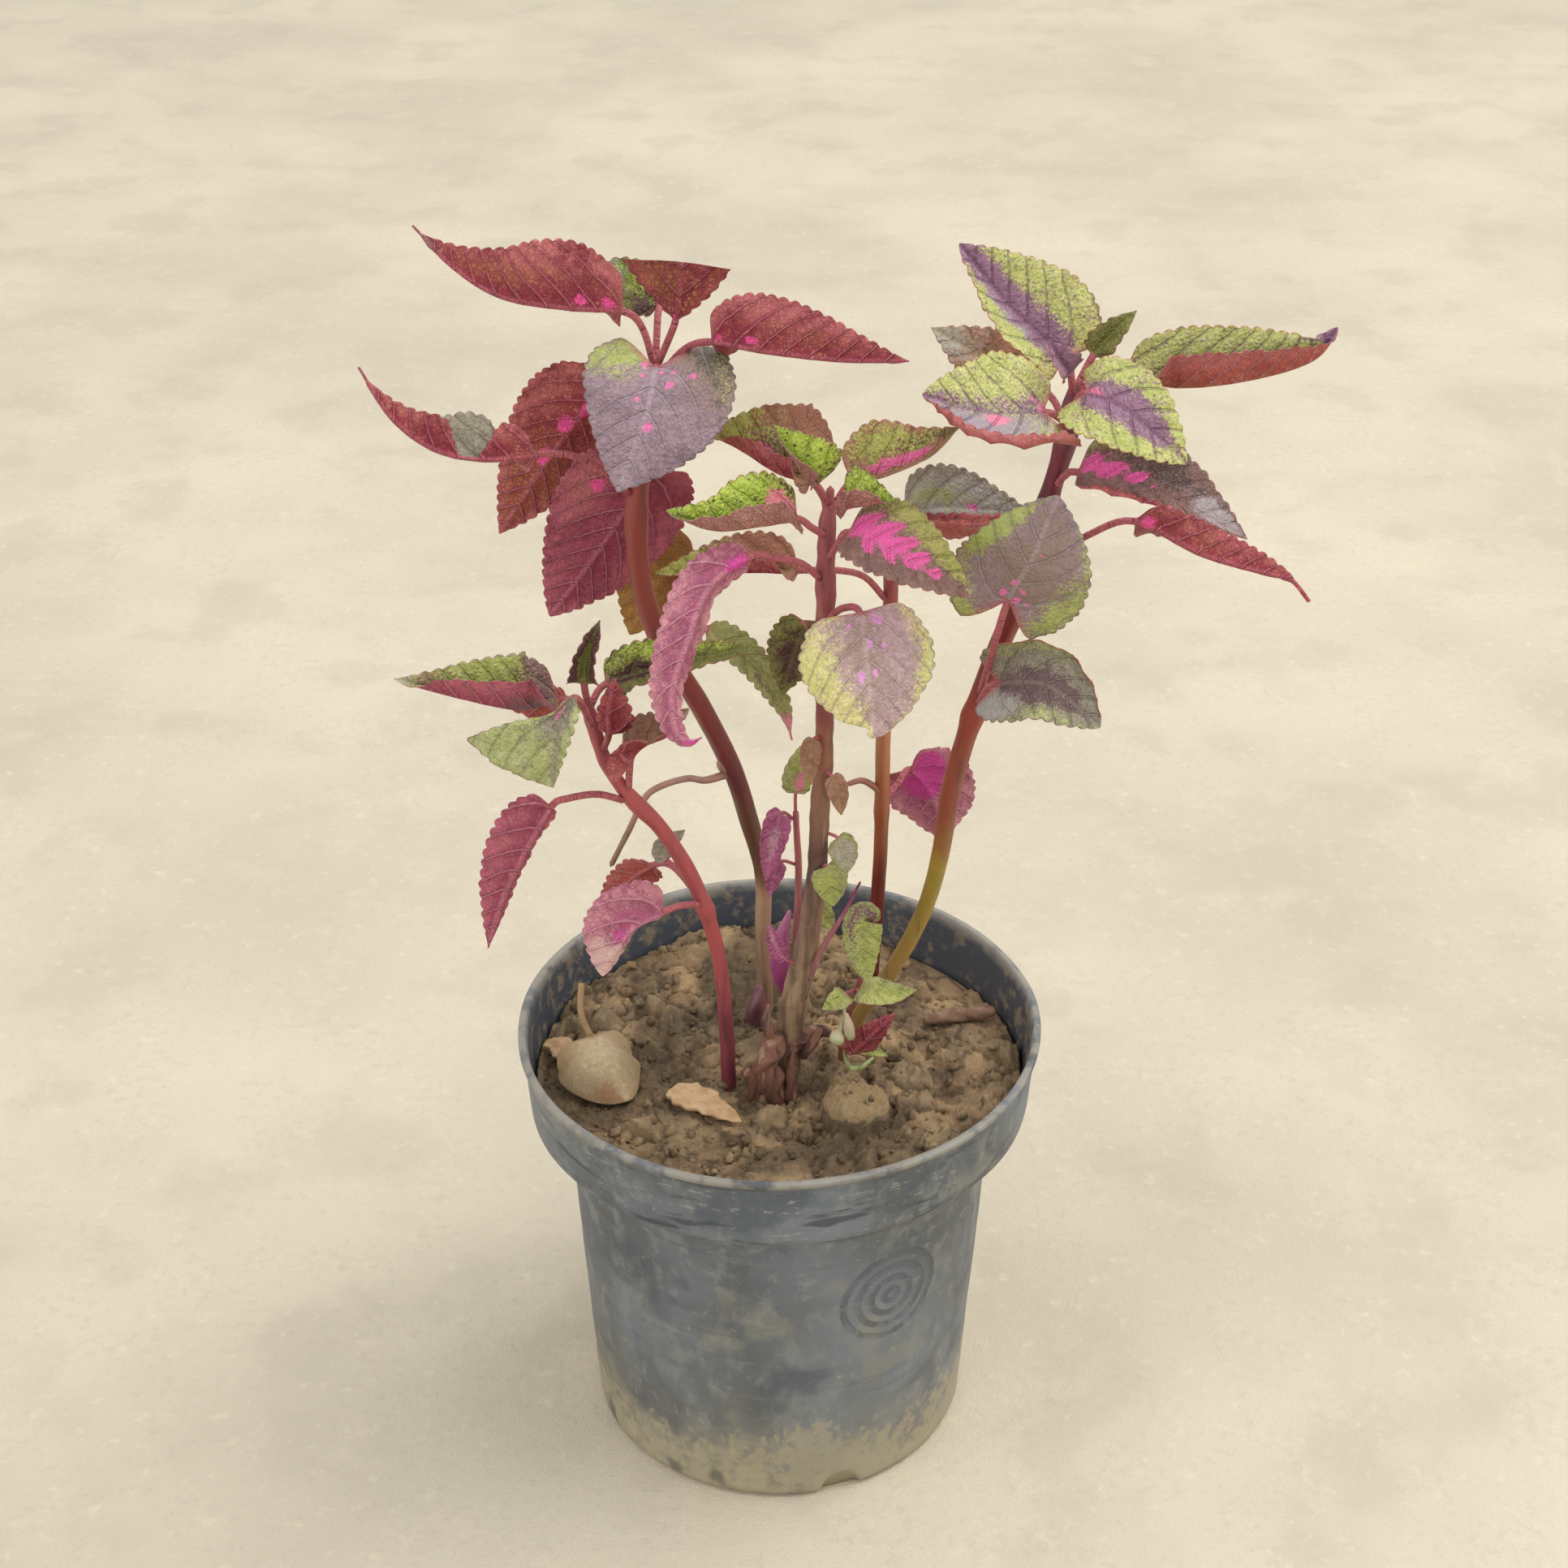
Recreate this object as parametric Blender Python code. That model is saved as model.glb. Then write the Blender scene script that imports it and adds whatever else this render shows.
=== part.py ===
"""Potted coleus: a thin plastic nursery pot filled with lumpy soil, five leafy stems and dry litter.

Every leaf is one closed blade with its stalk. It follows a smooth axis through a few chosen points, and
its two halves fold away from the midrib. Lengths in the leaf and stem lists are millimetres, and
everything built is in metres with +Z up. The origin is the centre of the pot's flat underside.
"""
import math

import bmesh
import bpy
import numpy as np

MM = 0.001
CLEARANCE = 0.3

# Pot
POT_HEIGHT = 143.6
RIM_RADIUS = 80.0
BAND_RADIUS = 77.3
BAND_HEIGHT = 25.0
SHOULDER_RADIUS = 66.5
BASE_RADIUS = 60.0
WALL = 1.6
FLOOR = 2.4
LIP_HEIGHT = 2.2
FOOT_ROUNDING = 2.0
POT_SEGMENTS = 48
NOTCH_ANGLE = -71.0
NOTCH_RADIUS = 6.5

# Soil
SOIL_LEVEL = 127.0
SOIL_RINGS = 11
SOIL_SEGMENTS = 40
CLOD_CENTRE = (23.5, -25.0)
CLOD_RADIUS = 11.0
CLOD_HEIGHT = 7.5

# Blades and stalks
BLADE_THICKNESS = 0.8
MIDRIB_RISE = 0.5
STALK_RADIUS = 1.0
TOOTH_DEPTH = 0.07
LONG_BLADE = 38.0
BLADE_END = 0.985
FULL_FOLD = 4.0
FOLD_START = 0.2
ACROSS = (-1.0, -0.55, 0.0, 0.55, 1.0)
STEM_SIDES = 8
ROWS_PER_POINT = 1.5
TOP_TAPER = 0.6

# Each stem is a list of x, y, z and radius.
STEMS = {
    "left_stem": [
        (-4, 29, 114, 2.5), (-5, 27, 157, 2.4), (-5, 26, 180, 2.5), (-9, 24, 200, 2.8),
        (-14, 22, 220, 2.9), (-23, 19, 243, 3.0), (-34, 16, 266, 3.0), (-39, 15, 285, 3.0),
        (-40, 15, 300, 2.9), (-39, 15, 315, 2.8), (-36, 16, 332, 2.6), (-33, 18, 351, 2.0)],
    "low_stem": [
        (-15, -11, 114, 2.2), (-16, -16, 156, 2.1), (-18, -19, 182, 2.1), (-24, -23, 208, 2.2),
        (-33, -27, 229, 2.2), (-41, -30, 241, 2.1), (-47, -31, 252, 1.8), (-50, -32, 263, 1.6),
        (-52, -33, 275, 1.4)],
    "centre_stem": [
        (0, -11, 114, 4.8), (4, -12, 154, 4.2), (8, -12, 177, 3.5), (11, -12, 203, 2.9),
        (12, -12, 226, 2.8), (13, -12, 247, 2.6), (13, -12, 268, 2.5), (13, -12, 289, 2.5),
        (13, -12, 306, 2.4), (14, -12, 328, 1.7)],
    "back_stem": [
        (30, 50, 114, 2.1), (32, 44, 173, 2.1), (32, 41, 205, 2.2), (32, 38, 238, 2.2),
        (33, 36, 266, 2.1), (33, 35, 283, 2.0), (34, 34, 294, 1.6)],
    "right_stem": [
        (17, 14, 114, 2.2), (27, 10, 141, 2.3), (36, 6, 160, 2.4), (44, 3, 182, 2.4),
        (48, 0, 204, 2.6), (50, -2, 226, 2.8), (55, -4, 251, 2.8), (61, -5, 273, 2.9),
        (67, -5, 291, 2.9), (71, -4, 309, 2.8), (75, -3, 326, 2.6), (78, -2, 340, 2.4),
        (79, -1, 353, 1.9)],
}

# Each leaf names its stem, its colour, the axis points from the stem to the tip, the index of the point
# where the blade starts, the directions that its upper side faces at the base and at the tip (turn from
# +X and rise, in degrees), the widths, folds and curls of its right and left halves, how round the
# outline is and how far its base lobes sweep back.
LEAVES = {
    "left_leaf_1": dict(
        stem="left_stem", colour="crimson", start=2, face=((90, 5), (90, 5)),
        axis=[(-33, 18, 348), (-37, 19, 361), (-42, 20, 365), (-57, 23, 365), (-75, 26, 367),
              (-88, 29, 374), (-99, 30, 386)],
        half=(11, 18), fold=(105, 8), curl=(0, 20), round=0.0, sweep=0.1),
    "left_leaf_2": dict(
        stem="left_stem", colour="green", start=2, face=((-90, 30), (-90, 30)),
        axis=[(-33, 18, 345), (-33, 27, 361), (-33, 31, 362.5), (-39, 38, 364.5), (-46, 45, 366),
              (-51, 50, 363)],
        half=(8, 6.5), fold=(10, 10), curl=(0, 0), round=0.3, sweep=0.3),
    "left_leaf_3": dict(
        stem="left_stem", colour="crimson", start=2, face=((90, 10), (90, 10)),
        axis=[(-32, 17, 350), (-29, 13, 361), (-27.5, 12, 365.5), (-26.4, 12.5, 372),
              (-25.5, 14.5, 381)],
        half=(16, 13.5), fold=(12, 12), curl=(0, 0), round=1.2, sweep=0.0),
    "left_leaf_4": dict(
        stem="left_stem", colour="crimson", start=2, face=((90, 5), (90, 5)),
        axis=[(-33, 18, 346), (-25, 16, 356), (-18, 13, 359), (-2, 6, 359), (18, 0, 359),
              (35, -3, 360)],
        half=(15, 10), fold=(8, 105), curl=(20, 0), round=0.0, sweep=0.1),
    "left_leaf_5": dict(
        stem="left_stem", colour="mauve", start=2, face=((-90, 35), (-90, 25)),
        axis=[(-34, 17, 343), (-33, 12, 348), (-33, 8, 353.5), (-35, -3, 346), (-43, -14, 327)],
        half=(19, 22), fold=(5, 5), curl=(-10, -10), round=0.4, sweep=0.7),
    "left_leaf_6": dict(
        stem="left_stem", colour="crimson", start=3, face=((90, 5), (90, 5)),
        axis=[(-39, 15, 311), (-48, 9, 323), (-57, 6, 329), (-66, 4, 330), (-79, 1, 330),
              (-92, -2, 334), (-103, -4, 344), (-111, -4, 359)],
        half=(13, 12), fold=(125, 15), curl=(0, 0), round=0.0, sweep=0.0),
    "left_leaf_7": dict(
        stem="left_stem", colour="crimson", start=2, face=((90, 15), (90, 5)),
        axis=[(-37, 16, 328), (-41, 26, 335), (-48, 32, 338), (-63, 38, 318), (-82, 42, 288)],
        half=(18, 17), fold=(10, 10), curl=(0, 0), round=0.4, sweep=0.3),
    "left_leaf_8": dict(
        stem="left_stem", colour="crimson", start=2, face=((90, 15), (90, 5)),
        axis=[(-40, 15, 306), (-39, 22, 313), (-37, 26, 315), (-50, 29, 292), (-67, 28, 268)],
        half=(18, 20), fold=(8, 8), curl=(0, 0), round=0.6, sweep=0.4),
    "left_leaf_9": dict(
        stem="left_stem", colour="ochre", start=2, face=((90, 15), (90, 5)),
        axis=[(-31, 17, 262), (-25, 32, 264), (-25, 44, 280), (-34, 48, 272), (-45, 47, 252)],
        half=(15, 15), fold=(5, 5), curl=(0, 0), round=0.6, sweep=0.3),
    "left_leaf_10": dict(
        stem="left_stem", colour="greygreen", start=2, face=((-90, 40), (-90, 20)),
        axis=[(-32, 16, 262), (-26, 15, 269), (-21, 15, 271), (-8, 12, 262), (1, 9, 249), (4, 7, 238)],
        half=(5, 5.5), fold=(30, 30), curl=(0, 0), round=0.0, sweep=0.0),
    "centre_leaf_1": dict(
        stem="centre_stem", colour="olive", start=2, face=((-90, 30), (-90, 30)),
        axis=[(13, -12, 318), (12, -6, 323), (9, -4, 325.5), (0, 0, 327), (-10, 6, 331),
              (-19, 10, 334)],
        half=(20, 8), fold=(10, 125), curl=(0, 0), round=0.3, sweep=0.2),
    "centre_leaf_2": dict(
        stem="centre_stem", colour="green", start=1, face=((-90, 30), (-90, 30)),
        axis=[(14, -12, 322), (10, -18, 331), (6, -19, 337), (-1, -20, 349)],
        half=(11, 4), fold=(10, 125), curl=(0, 0), round=0.1, sweep=0.1),
    "centre_leaf_3": dict(
        stem="centre_stem", colour="olive", start=1, face=((-90, 30), (-90, 30)),
        axis=[(14, -12, 320), (20, -7, 327), (29, -5, 328.5), (40, -2, 332.5), (49, 0, 340)],
        half=(2.5, 14.5), fold=(125, 10), curl=(0, 0), round=0.2, sweep=0.1),
    "centre_leaf_4": dict(
        stem="centre_stem", colour="green", start=1, face=((-90, 30), (-90, 30)),
        axis=[(14, -12, 322), (18, -18, 325), (23, -21, 327), (31, -23, 329)],
        half=(7, 10), fold=(128, -5), curl=(0, 0), round=0.3, sweep=0.1),
    "centre_leaf_5": dict(
        stem="centre_stem", colour="green", start=2, face=((-90, 30), (-90, 30)),
        axis=[(13, -12, 313), (9, -19, 319), (5, -22, 323), (-4, -27, 324), (-17, -32, 325),
              (-29, -36, 332)],
        half=(13.5, 9), fold=(10, 128), curl=(0, 0), round=0.3, sweep=0.1),
    "centre_leaf_6": dict(
        stem="centre_stem", colour="pinkflash", start=2, face=((-90, 45), (-90, 45)),
        axis=[(13, -12, 305), (16, -19, 314), (19, -22, 319), (32, -34, 318), (51, -43, 310)],
        half=(9, 14), fold=(15, 5), curl=(0, 0), round=0.4, sweep=0.2),
    "centre_leaf_7": dict(
        stem="centre_stem", colour="pink", start=3, face=((100, 0), (100, 0)),
        axis=[(13, -12, 299), (6, -20, 309), (-1, -25, 313), (-7, -30, 316), (-18, -38, 311),
              (-24, -45, 298), (-28, -49, 286), (-27.5, -51, 276), (-24, -51.5, 271.5),
              (-20, -51, 273)],
        half=(7, 8.5), fold=(45, 25), curl=(0, 0), round=0.0, sweep=0.1),
    "centre_leaf_8": dict(
        stem="centre_stem", colour="mauve", start=2, face=((-90, 40), (-90, 25)),
        axis=[(13, -12, 288), (18, -21, 296), (22, -28, 298), (24, -42, 287), (26, -47, 270)],
        half=(18.5, 19), fold=(-5, -5), curl=(-20, -20), round=1.0, sweep=0.15),
    "centre_leaf_9": dict(
        stem="centre_stem", colour="green", start=1, face=((-90, 30), (-90, 20)),
        axis=[(13, -12, 279), (8, -6, 283), (4, 0, 270), (1, 4, 255)],
        half=(8, 8), fold=(10, 10), curl=(0, 0), round=0.3, sweep=0.1),
    "back_leaf_1": dict(
        stem="back_stem", colour="greygreen", start=2, face=((-90, 40), (-90, 40)),
        axis=[(34, 34, 289), (35, 29, 297), (36, 26, 302), (46, 22, 306), (59, 22, 305), (73, 24, 303)],
        half=(10, 12), fold=(30, 15), curl=(40, 0), round=0.1, sweep=0.0),
    "back_leaf_2": dict(
        stem="back_stem", colour="crimson", start=2, face=((90, 5), (90, 5)),
        axis=[(34, 34, 285), (39, 38, 291), (43, 40, 293), (56, 42, 291), (72, 44, 292)],
        half=(8, 8), fold=(30, 30), curl=(0, 0), round=0.0, sweep=0.0),
    "back_leaf_3": dict(
        stem="back_stem", colour="olive", start=3, face=((-90, 30), (-90, 30)),
        axis=[(33, 36, 268), (25, 30, 280), (17, 22, 286), (6, 18, 288), (-14, 18, 288),
              (-36, 18, 287)],
        half=(11, 6), fold=(10, 125), curl=(0, 0), round=0.1, sweep=0.0),
    "back_leaf_4": dict(
        stem="back_stem", colour="pink", start=2, face=((90, 10), (90, 0)),
        axis=[(32, 42, 196), (37, 46, 200), (41, 50, 203), (49, 53, 190), (52, 54, 175)],
        half=(15, 14), fold=(5, 5), curl=(0, 0), round=0.6, sweep=0.4),
    "right_leaf_1": dict(
        stem="right_stem", colour="lime", start=1, face=((-90, 35), (-90, 35)),
        axis=[(79, -1, 351), (77, 7, 357), (63, 11, 369), (48, 15, 386)],
        half=(17.5, 13), fold=(10, 45), curl=(0, 0), round=0.4, sweep=0.3),
    "right_leaf_2": dict(
        stem="right_stem", colour="lime", start=2, face=((-90, 30), (-90, 30)),
        axis=[(79, -1, 349), (86, 2, 354), (92, 2, 354), (107, 0, 352), (126, -2, 355), (142, -1, 360),
              (148, 1, 368)],
        half=(12, 15.5), fold=(135, 20), curl=(0, 0), round=0.4, sweep=0.0),
    "right_leaf_3": dict(
        stem="right_stem", colour="lime", start=2, face=((-90, 50), (-90, 50)),
        axis=[(78, -2, 341), (74, -10, 347), (70, -14, 350), (53, -23, 354), (37, -28, 361)],
        half=(17, 20), fold=(10, 10), curl=(0, 30), round=0.6, sweep=0.45),
    "right_leaf_4": dict(
        stem="right_stem", colour="greygreen", start=2, face=((-90, 35), (-90, 35)),
        axis=[(78, -2, 338), (75, 7, 344), (71, 13, 346), (58, 23, 350), (42, 29, 357)],
        half=(10, 11), fold=(10, 10), curl=(0, 0), round=0.3, sweep=0.1),
    "right_leaf_5": dict(
        stem="right_stem", colour="lime", start=1, face=((-90, 45), (-90, 45)),
        axis=[(79, -2, 346), (81, -11, 354), (92, -19, 352), (107, -25, 340)],
        half=(13, 12.5), fold=(10, 5), curl=(0, 0), round=0.5, sweep=0.55),
    "right_leaf_6": dict(
        stem="right_stem", colour="plum", start=2, face=((-90, 55), (-90, 50)),
        axis=[(74, -3, 322), (77, -8, 329), (80, -11, 331.5), (101, -20, 329.5), (125, -24, 318)],
        half=(8, 16.5), fold=(20, 0), curl=(0, 0), round=0.3, sweep=0.1),
    "right_leaf_7": dict(
        stem="right_stem", colour="crimson", start=2, face=((90, 5), (90, 5)),
        axis=[(69, -5, 299), (85, -1, 308), (98, 2, 311), (118, 4, 300), (137, 6, 293), (144, 6, 291),
              (150, 6, 284)],
        half=(8.5, 8.5), fold=(30, 80), curl=(0, 0), round=0.0, sweep=0.0),
    "right_leaf_8": dict(
        stem="right_stem", colour="mauve", start=2, face=((-90, 15), (-90, 25)),
        axis=[(57, -4, 257), (58.5, -17, 278), (62, -23, 299), (68, -27, 315), (74, -22, 330)],
        half=(18.5, 18.5), fold=(5, 5), curl=(-10, -10), round=0.55, sweep=0.75),
    "right_leaf_9": dict(
        stem="right_stem", colour="greygreen", start=2, face=((-90, 45), (-90, 45)),
        axis=[(56, -4, 255), (58.5, -15, 268), (61, -20, 272), (74, -27, 275), (88, -34, 266)],
        half=(13, 14), fold=(15, 5), curl=(0, 0), round=0.6, sweep=0.7),
    "right_leaf_10": dict(
        stem="right_stem", colour="plum", start=1, face=((-90, 40), (-90, 40)),
        axis=[(79, -1, 349), (77, -7, 358), (74, -9, 363), (71, -10, 368)],
        half=(5, 5), fold=(40, 40), curl=(0, 0), round=0.2, sweep=0.0),
    "right_leaf_11": dict(
        stem="right_stem", colour="green", start=1, face=((-90, 40), (-90, 40)),
        axis=[(79, -1, 350), (84, 3, 359), (88, 4, 364), (95, 5, 371)],
        half=(5, 5), fold=(40, 40), curl=(0, 0), round=0.2, sweep=0.0),
    "low_leaf_1": dict(
        stem="low_stem", colour="lime", start=1, face=((-90, 30), (-90, 30)),
        axis=[(-52, -33, 272), (-59, -38, 277), (-69, -42, 277), (-84, -47, 283), (-101, -50, 290)],
        half=(15, 11), fold=(15, 140), curl=(0, 0), round=0.0, sweep=0.0),
    "low_leaf_2": dict(
        stem="low_stem", colour="crimson", start=1, face=((90, 10), (90, 10)),
        axis=[(-52, -33, 270), (-58, -27, 271), (-66, -27, 270), (-77, -27, 270)],
        half=(7, 5), fold=(10, 10), curl=(0, 0), round=0.5, sweep=0.1),
    "low_leaf_3": dict(
        stem="low_stem", colour="green", start=1, face=((-90, 20), (-90, 20)),
        axis=[(-52, -33, 273), (-52, -38, 282), (-51, -40, 291), (-47, -40, 302)],
        half=(6, 6), fold=(58, 58), curl=(0, 0), round=0.0, sweep=0.0),
    "low_leaf_4": dict(
        stem="low_stem", colour="limeplum", start=1, face=((-90, 40), (-90, 40)),
        axis=[(-52, -33, 271), (-47, -28.5, 276.5), (-30, -26, 281), (-5, -24, 286)],
        half=(7, 8.5), fold=(50, 25), curl=(0, 0), round=0.0, sweep=0.0),
    "low_leaf_5": dict(
        stem="low_stem", colour="palegreen", start=1, face=((-90, 45), (-90, 35)),
        axis=[(-51, -33, 265), (-54, -46, 282), (-58, -52, 278), (-60, -55, 270), (-60, -56, 260)],
        half=(23, 5), fold=(5, 20), curl=(0, 0), round=0.5, sweep=-0.35),
    "low_leaf_6": dict(
        stem="low_stem", colour="crimson", start=1, face=((90, 5), (90, 5)),
        axis=[(-47, -31, 257), (-46, -37, 266), (-46, -38, 273), (-44, -39, 284)],
        half=(3, 7), fold=(10, 10), curl=(0, 0), round=0.5, sweep=0.1),
    "low_leaf_7": dict(
        stem="low_stem", colour="crimson", start=2, face=((-90, 70), (-90, 60)),
        axis=[(-41, -30, 243), (-41, -33, 252), (-40, -35, 258), (-36, -37, 263), (-30, -39, 267),
              (-24, -41, 276)],
        half=(11, 8), fold=(60, 30), curl=(0, 0), round=0.5, sweep=0.8),
    "low_leaf_8": dict(
        stem="low_stem", colour="crimson", start=3, face=((95, 5), (95, 5)),
        axis=[(-40, -30, 239), (-50, -36, 246), (-58, -40, 247), (-62, -42, 246), (-70, -46, 233),
              (-77, -46, 217), (-82, -44, 200)],
        half=(4.5, 11), fold=(55, 28), curl=(0, 0), round=0.0, sweep=0.2),
    "low_leaf_9": dict(
        stem="low_stem", colour="pink", start=2, face=((90, 10), (90, 10)),
        axis=[(-22, -22, 200), (-28, -33, 207), (-33, -38, 208), (-42, -43, 205), (-50, -45, 191)],
        half=(4, 14), fold=(50, 10), curl=(0, 0), round=0.8, sweep=0.15),
    "low_leaf_10": dict(
        stem="low_stem", colour="ochre", start=2, face=((90, 10), (90, 10)),
        axis=[(-22, -22, 202), (-31, -12, 207), (-37, -7, 204), (-46, -2, 194), (-54, 2, 182)],
        half=(7, 6), fold=(10, 10), curl=(0, 0), round=0.4, sweep=0.1),
}

# Local changes of a half's width: half (1 first, -1 second, 0 both), place along, reach and share cut out.
BITES = {
    "left_leaf_6": [(-1, 0.33, 0.12, 1.1), (1, 0.32, 0.20, -0.20)],
    "centre_leaf_8": [(1, 0.93, 0.05, 0.75)],
}
# Halves with a corner in place of a curve: half (1 first, -1 second, 0 both), place along and power.
WEDGES = {"left_leaf_3": (0, 0.88, 0.9), "low_leaf_5": (1, 0.60, 1.6)}
# How far a margin is carried forward near the tip, as a share of the half's width.
NOTCHES = {"left_leaf_3": 0.08}

# Small leaves and sprouts that grow out of a stem or out of the soil beside it.
SPRIGS = {
    "centre_stem": [
        [(11, -12, 206), (14, -15, 209), (15, -16, 204), (16, -17, 196)],
        [(12, -12, 219), (17, -14, 218), (19, -15, 213), (20, -16, 207)],
        [(13, -12, 250), (10, -16, 252), (9, -17, 246), (9, -18, 238)],
        [(12, -12, 240), (15, -16, 240), (17, -17, 235), (18, -18, 228)],
        [(7, -12, 172), (2, -15, 176), (-1, -16, 182), (-3, -17, 190)],
        [(13, -12, 283), (10.5, -15, 287), (9.5, -16, 287.5), (7, -17, 290)],
        [(13, -12, 283), (16, -14, 287), (17, -14.5, 287.5), (20, -15, 290)]],
    "low_stem": [
        [(-26, -24, 213), (-32, -18, 213), (-33, -15, 215), (-27, -13, 220)]],
}
SPRIG_HALF = 4.0

# A leafless stalk on each of two stems, and the broken stub at the foot of the centre one.
BARE_STALKS = {
    "left_stem": [
        (-15, 22, 218, 1.4), (-22, 15, 220, 1.1), (-27, 11, 223, 1.0), (-34, 7, 223, 1.0),
        (-39, 4, 221, 1.0), (-44, 2, 211, 0.9), (-50, 0, 199, 0.8)],
    "back_stem": [(32, 41, 200, 1.2), (26, 38, 206, 1.0), (21, 36, 206, 0.8)],
    "centre_stem": [(-2, -12, 117, 3.0), (-5, -15, 128, 3.4), (-8, -18, 135, 2.6), (-10, -20, 139, 1.6)],
}

SPROUTS = {
    "front_sprout": dict(
        stem=[(19, -1, 114, 1.2), (20, -3, 140, 1.1), (24, -5, 158, 1.0), (28, -6, 174, 0.8)],
        leaves=[
            [(20, -3, 138), (26, -6, 139), (31, -9, 137), (39, -13, 133)],
            [(21, -4, 146), (27, -9, 150), (31, -12, 150), (38, -16, 146)],
            [(22, -4, 152), (29, -3, 158), (33, -2, 165), (37, -1, 175)],
            [(20, -3, 142), (15, -4, 146), (12, -5, 150), (8, -4, 158)]],
        half=6.0, colour="palegreen"),
    "back_sprout": dict(
        stem=[(4, 10, 114, 1.3), (5, 8, 160, 1.2), (6, 6, 190, 1.1), (5, 5, 216, 0.9)],
        leaves=[
            [(5, 5, 212), (1, 3, 216), (-1, 1, 210), (-3, -1, 196)],
            [(5, 5, 214), (5, 4, 222), (6, 4, 230), (9, 5, 240)],
            [(4, 9, 130), (0, 7, 138), (-2, 6, 150), (-1, 5, 172)],
            [(5, 7, 175), (9, 5, 181), (12, 3, 181), (17, 1, 176)]],
        half=5.0, colour="pink"),
}

COLOURS = {
    "crimson": (0.36, 0.05, 0.07), "green": (0.20, 0.36, 0.05), "mauve": (0.30, 0.20, 0.24),
    "ochre": (0.48, 0.28, 0.10), "greygreen": (0.28, 0.30, 0.22), "olive": (0.22, 0.18, 0.06),
    "pinkflash": (0.42, 0.14, 0.22), "pink": (0.58, 0.20, 0.32), "lime": (0.42, 0.48, 0.16),
    "plum": (0.20, 0.08, 0.13), "limeplum": (0.22, 0.26, 0.08), "palegreen": (0.42, 0.46, 0.20),
}


def clear_scene():
    """Remove whatever the scene holds."""
    for old in list(bpy.data.objects):
        bpy.data.objects.remove(old, do_unlink=True)


def make_material(name, colour, roughness):
    """One plain Principled material."""
    material = bpy.data.materials.new(name)
    material.use_nodes = True
    shader = material.node_tree.nodes["Principled BSDF"]
    shader.inputs["Base Color"].default_value = (*colour, 1.0)
    shader.inputs["Roughness"].default_value = roughness
    shader.inputs["Metallic"].default_value = 0.0
    return material


def make_object(name, points, faces, material, smooth=True):
    """A mesh object from points in millimetres, with its faces turned outwards."""
    mesh = bpy.data.meshes.new(name)
    mesh.from_pydata([tuple(p) for p in np.asarray(points) * MM], [], faces)
    edit = bmesh.new()
    edit.from_mesh(mesh)
    bmesh.ops.recalc_face_normals(edit, faces=edit.faces)
    edit.to_mesh(mesh)
    edit.free()
    if smooth:
        mesh.shade_smooth()
        mesh.set_sharp_from_angle(angle=math.radians(50))
    mesh.materials.append(material)
    item = bpy.data.objects.new(name, mesh)
    bpy.context.scene.collection.objects.link(item)
    return item


def apply_boolean(item, tool, operation, solver="EXACT"):
    """Cut item by tool, or join them, and remove the tool."""
    modifier = item.modifiers.new("join", "BOOLEAN")
    modifier.operation = operation
    modifier.solver = solver
    modifier.object = tool
    with bpy.context.temp_override(object=item, active_object=item):
        bpy.ops.object.modifier_apply(modifier="join")
    bpy.data.objects.remove(tool, do_unlink=True)


def spline(points, stations):
    """Smooth curve through points, at parameters 0..1 of the run between the first and last."""
    points = np.asarray(points, float)
    chord = np.linalg.norm(np.diff(points[:, :3], axis=0), axis=1) ** 0.5
    knots = np.concatenate([[0.0], np.cumsum(chord)])
    last = len(points) - 1
    slopes = np.array([
        (points[min(i + 1, last)] - points[max(i - 1, 0)])
        / (knots[min(i + 1, last)] - knots[max(i - 1, 0)]) for i in range(last + 1)])
    result = []
    for station in stations:
        place = station * knots[-1]
        i = int(min(max(np.searchsorted(knots, place, side="right") - 1, 0), last - 1))
        span = knots[i + 1] - knots[i]
        s = (place - knots[i]) / span
        result.append(
            (2 * s**3 - 3 * s**2 + 1) * points[i] + (s**3 - 2 * s**2 + s) * span * slopes[i]
            + (3 * s**2 - 2 * s**3) * points[i + 1] + (s**3 - s**2) * span * slopes[i + 1])
    return np.array(result), knots / knots[-1]


def unit(vectors):
    """Vectors scaled to length one."""
    vectors = np.asarray(vectors, float)
    return vectors / np.linalg.norm(vectors, axis=-1, keepdims=True)


def facing(turn, rise):
    """The direction at a turn from +X and a rise above level, both in degrees."""
    turn = math.radians(turn)
    rise = math.radians(rise)
    return np.array([
        math.cos(turn) * math.cos(rise), math.sin(turn) * math.cos(rise), math.sin(rise)])


def tube(points, sides):
    """Points and faces of a closed tube through rows of x, y, z and radius."""
    centre = points[:, :3]
    radius = points[:, 3]
    along = unit(np.gradient(centre, axis=0))
    side = unit(np.cross(along, [0.0, 1.0, 0.2]))
    other = np.cross(along, side)
    turns = np.arange(sides) * 2 * math.pi / sides
    ring = np.cos(turns)[None, :, None] * side[:, None] + np.sin(turns)[None, :, None] * other[:, None]
    vertices = (centre[:, None] + ring * radius[:, None, None]).reshape(-1, 3)
    return vertices, loft_faces(len(points), sides)


def loft_faces(rows, around):
    """Quads between neighbouring rings of a loft, with a face on each end."""
    faces = [
        (i * around + j, i * around + (j + 1) % around,
         (i + 1) * around + (j + 1) % around, (i + 1) * around + j)
        for i in range(rows - 1) for j in range(around)]
    faces.append(tuple(range(around)))
    faces.append(tuple((rows - 1) * around + j for j in reversed(range(around))))
    return faces


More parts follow.
